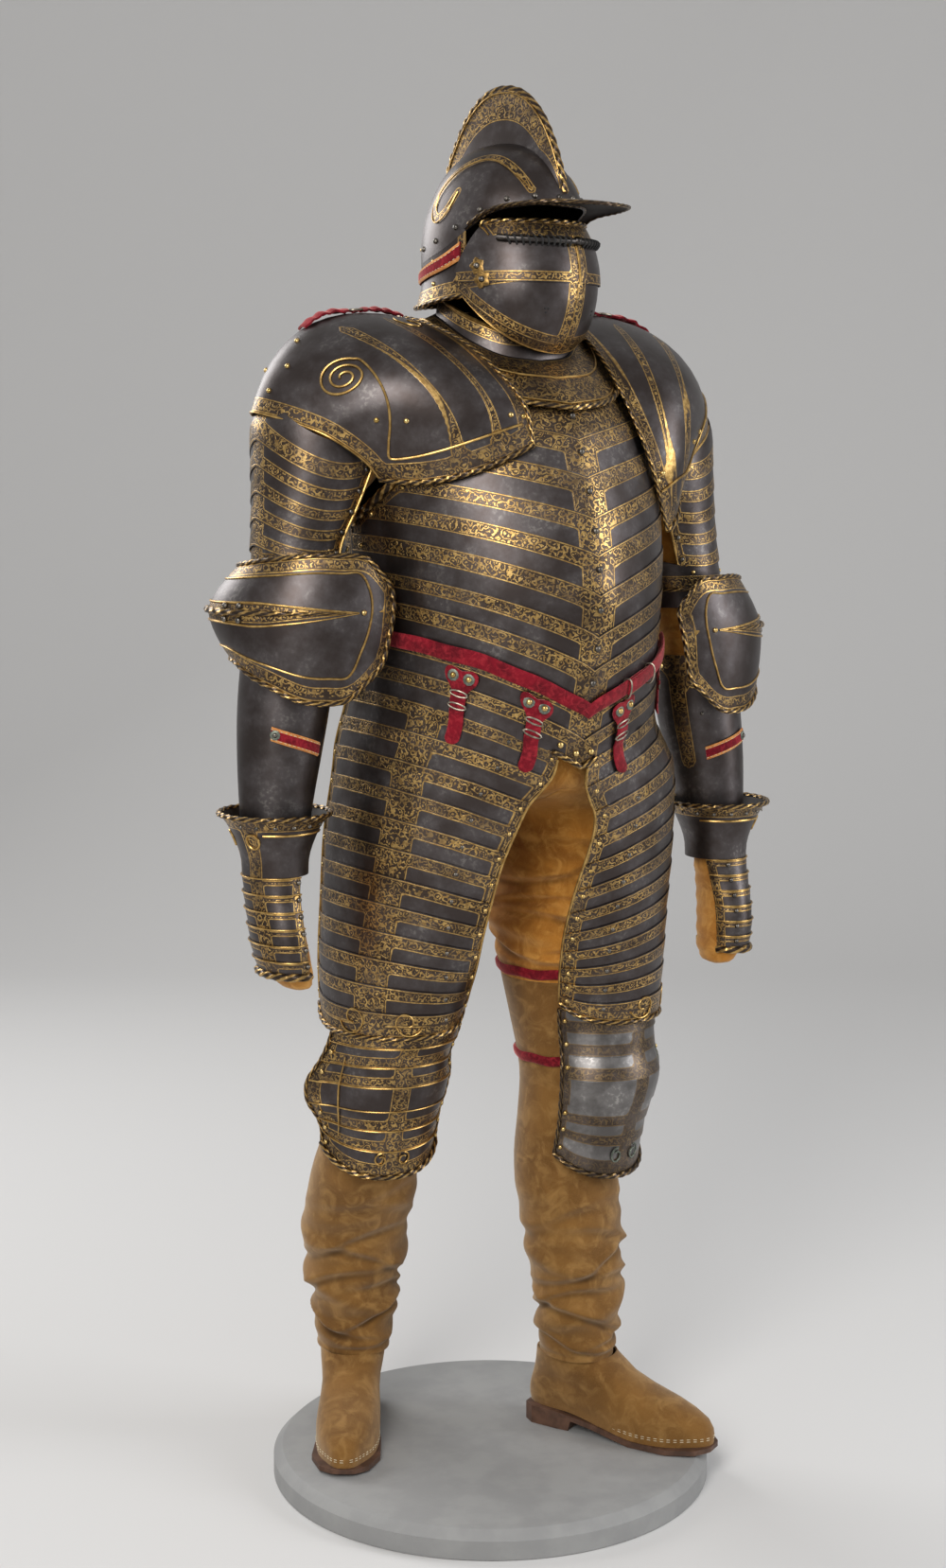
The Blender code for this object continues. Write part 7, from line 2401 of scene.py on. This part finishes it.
def build_base():
    turn = np.linspace(0.0, 360.0, 193)[:-1]
    rows = []
    inner = BASE_RADIUS - BASE_CHAMFER
    for radius, z in ((0.02, 0.0), (inner * 0.5, 0.0), (inner - 0.0008, 0.0), (inner, -0.0004),
                      (BASE_RADIUS - 0.0006, -BASE_CHAMFER + 0.0006), (BASE_RADIUS, -BASE_CHAMFER),
                      (BASE_RADIUS, -BASE_HEIGHT + 0.001), (BASE_RADIUS - 0.001, -BASE_HEIGHT)):
        rows.append(points(radius * sine(turn), -radius * cosine(turn), z))
    rings = np.array(rows)
    count = len(turn)
    index = np.arange(rings.shape[0] * count).reshape(rings.shape[0], count)
    index = np.concatenate([index, index[:, :1]], axis=1)
    cells = cells_over(index)[:, [0, 3, 2, 1]]
    piece = Piece("base_disc_painted")
    piece.add(rings, cells, "paint")
    for row, turned, z in ((0, False, 0.0), (len(rings) - 1, True, -BASE_HEIGHT)):
        ring = np.concatenate([rings[row], [[0.0, 0.0, z]]])
        piece.add(ring, cap_cells(count, turned), "paint")
    piece.build(["base_disc"], sharp=30.0)


# The nodes that stay as they were built

CARRIED = {
    "russet_steel": "russet",
    "worn_steel": "worn",
    "suede": "suede",
    "boot_suede": "boot",
    "sole_leather": "sole",
    "red_velvet": "velvet",
    "base_paint": "paint",
}


def dress_carried():
    """A material for every node that stays as it was built."""
    for entry in frame["record"]["subparts"]:
        data = frame["nodes"][entry["node"]].data
        data.materials.clear()
        data.materials.append(PAINTS[CARRIED[entry["material_slot"]]])


# The view and the studio

PHOTO_SIZE = (1000, 1657)
FOCAL_PIXELS = 2535.9
CAMERA_DISTANCE = 3.2
CAMERA_AZIMUTH = -30.0
CAMERA_SIDEWAYS = -0.024
CAMERA_HEIGHT = 1.3565 + BASE_HEIGHT
CAMERA_PITCH = -7.748
SENSOR = 24.0
SWEEP_START = 3.2
SWEEP_RADIUS = 2.2
SWEEP_TOP = 9.0
SWEEP_HALF = 9.0


def build_camera():
    data = bpy.data.cameras.new("camera")
    data.sensor_fit = "VERTICAL"
    data.sensor_height = SENSOR
    data.lens = FOCAL_PIXELS / PHOTO_SIZE[1] * SENSOR
    camera = bpy.data.objects.new("camera", data)
    turn = math.radians(CAMERA_AZIMUTH)
    away = np.array([math.sin(turn), -math.cos(turn)])
    across = np.array([math.cos(turn), math.sin(turn)])
    place = away * CAMERA_DISTANCE + across * CAMERA_SIDEWAYS
    camera.location = (place[0], place[1], CAMERA_HEIGHT)
    camera.rotation_euler = (math.radians(90.0 + CAMERA_PITCH), 0.0, turn)
    bpy.context.scene.collection.objects.link(camera)
    bpy.context.scene.camera = camera


def area_light(name, place, aim, size, power, colour):
    data = bpy.data.lights.new(name, "AREA")
    data.shape = "RECTANGLE"
    data.size, data.size_y = size
    data.energy = power
    data.color = colour
    light = bpy.data.objects.new(name, data)
    light.location = place
    light.rotation_euler = Vector(np.array(aim) - np.array(place)).to_track_quat("-Z", "Y").to_euler()
    bpy.context.scene.collection.objects.link(light)


def build_floor():
    """A plain pale floor that sweeps up behind the suit."""
    turn = math.radians(CAMERA_AZIMUTH)
    behind = np.array([-math.sin(turn), math.cos(turn), 0.0])
    across = np.array([math.cos(turn), math.sin(turn), 0.0])
    profile = [(-9.0, 0.0), (SWEEP_START, 0.0)]
    for angle in np.linspace(0.0, math.pi / 2, 25)[1:]:
        reach = SWEEP_START + SWEEP_RADIUS * math.sin(angle)
        profile.append((reach, SWEEP_RADIUS * (1 - math.cos(angle))))
    profile.append((SWEEP_START + SWEEP_RADIUS, SWEEP_TOP))
    corners = []
    for reach, height in profile:
        for side in (-SWEEP_HALF, SWEEP_HALF):
            corners.append(tuple(behind * reach + across * side + UP * (height - 0.0005)))
    faces = [(2 * i, 2 * i + 1, 2 * i + 3, 2 * i + 2) for i in range(len(profile) - 1)]
    mesh = bpy.data.meshes.new("floor")
    mesh.from_pydata(corners, [], faces)
    mesh.polygons.foreach_set("use_smooth", np.ones(len(faces), bool))
    paint = bpy.data.materials.new("floor_paint")
    paint.use_nodes = True
    shader = paint.node_tree.nodes["Principled BSDF"]
    shader.inputs["Base Color"].default_value = (0.63, 0.625, 0.62, 1.0)
    shader.inputs["Roughness"].default_value = 0.8
    mesh.materials.append(paint)
    floor = bpy.data.objects.new("floor", mesh)
    bpy.context.scene.collection.objects.link(floor)


def build_studio():
    world = bpy.data.worlds.new("studio")
    bpy.context.scene.world = world
    world.use_nodes = True
    world.node_tree.nodes["Background"].inputs["Color"].default_value = (0.86, 0.855, 0.85, 1.0)
    world.node_tree.nodes["Background"].inputs["Strength"].default_value = 0.55
    area_light("key", (-2.6, -2.4, 2.8), (0.0, 0.0, 1.1), (1.5, 2.2), 105.0, (1.0, 0.98, 0.95))
    area_light("fill", (2.6, -2.2, 1.9), (0.0, 0.0, 1.0), (1.2, 2.2), 60.0, (0.95, 0.97, 1.0))
    area_light("rim", (-1.0, 2.8, 2.6), (0.0, 0.0, 1.2), (2.0, 1.6), 60.0, (1.0, 1.0, 1.0))
    bpy.context.scene.view_settings.view_transform = "Standard"


dress_carried()
build_torso()
for side in SIDES:
    build_tasset(side)
build_belt()
for i, number in enumerate(STRAPS["number"]):
    build_tasset_strap(int(number), int(STRAPS["side"][i]), STRAPS["angle"][i], STRAPS["length"][i])
for side in SIDES:
    build_pauldron(side)
    build_arm_lames(side)
    build_forearm(side)
    build_gauntlet(side)
    build_sleeve(side)
    build_glove(side)
build_gorget()
build_skull()
build_peak()
build_neck_guard()
build_buffe()
build_breeches()
for side in SIDES:
    build_boot(side)
    build_poleyn(side)
    build_garters(side)
build_base()
build_floor()
build_camera()
build_studio()
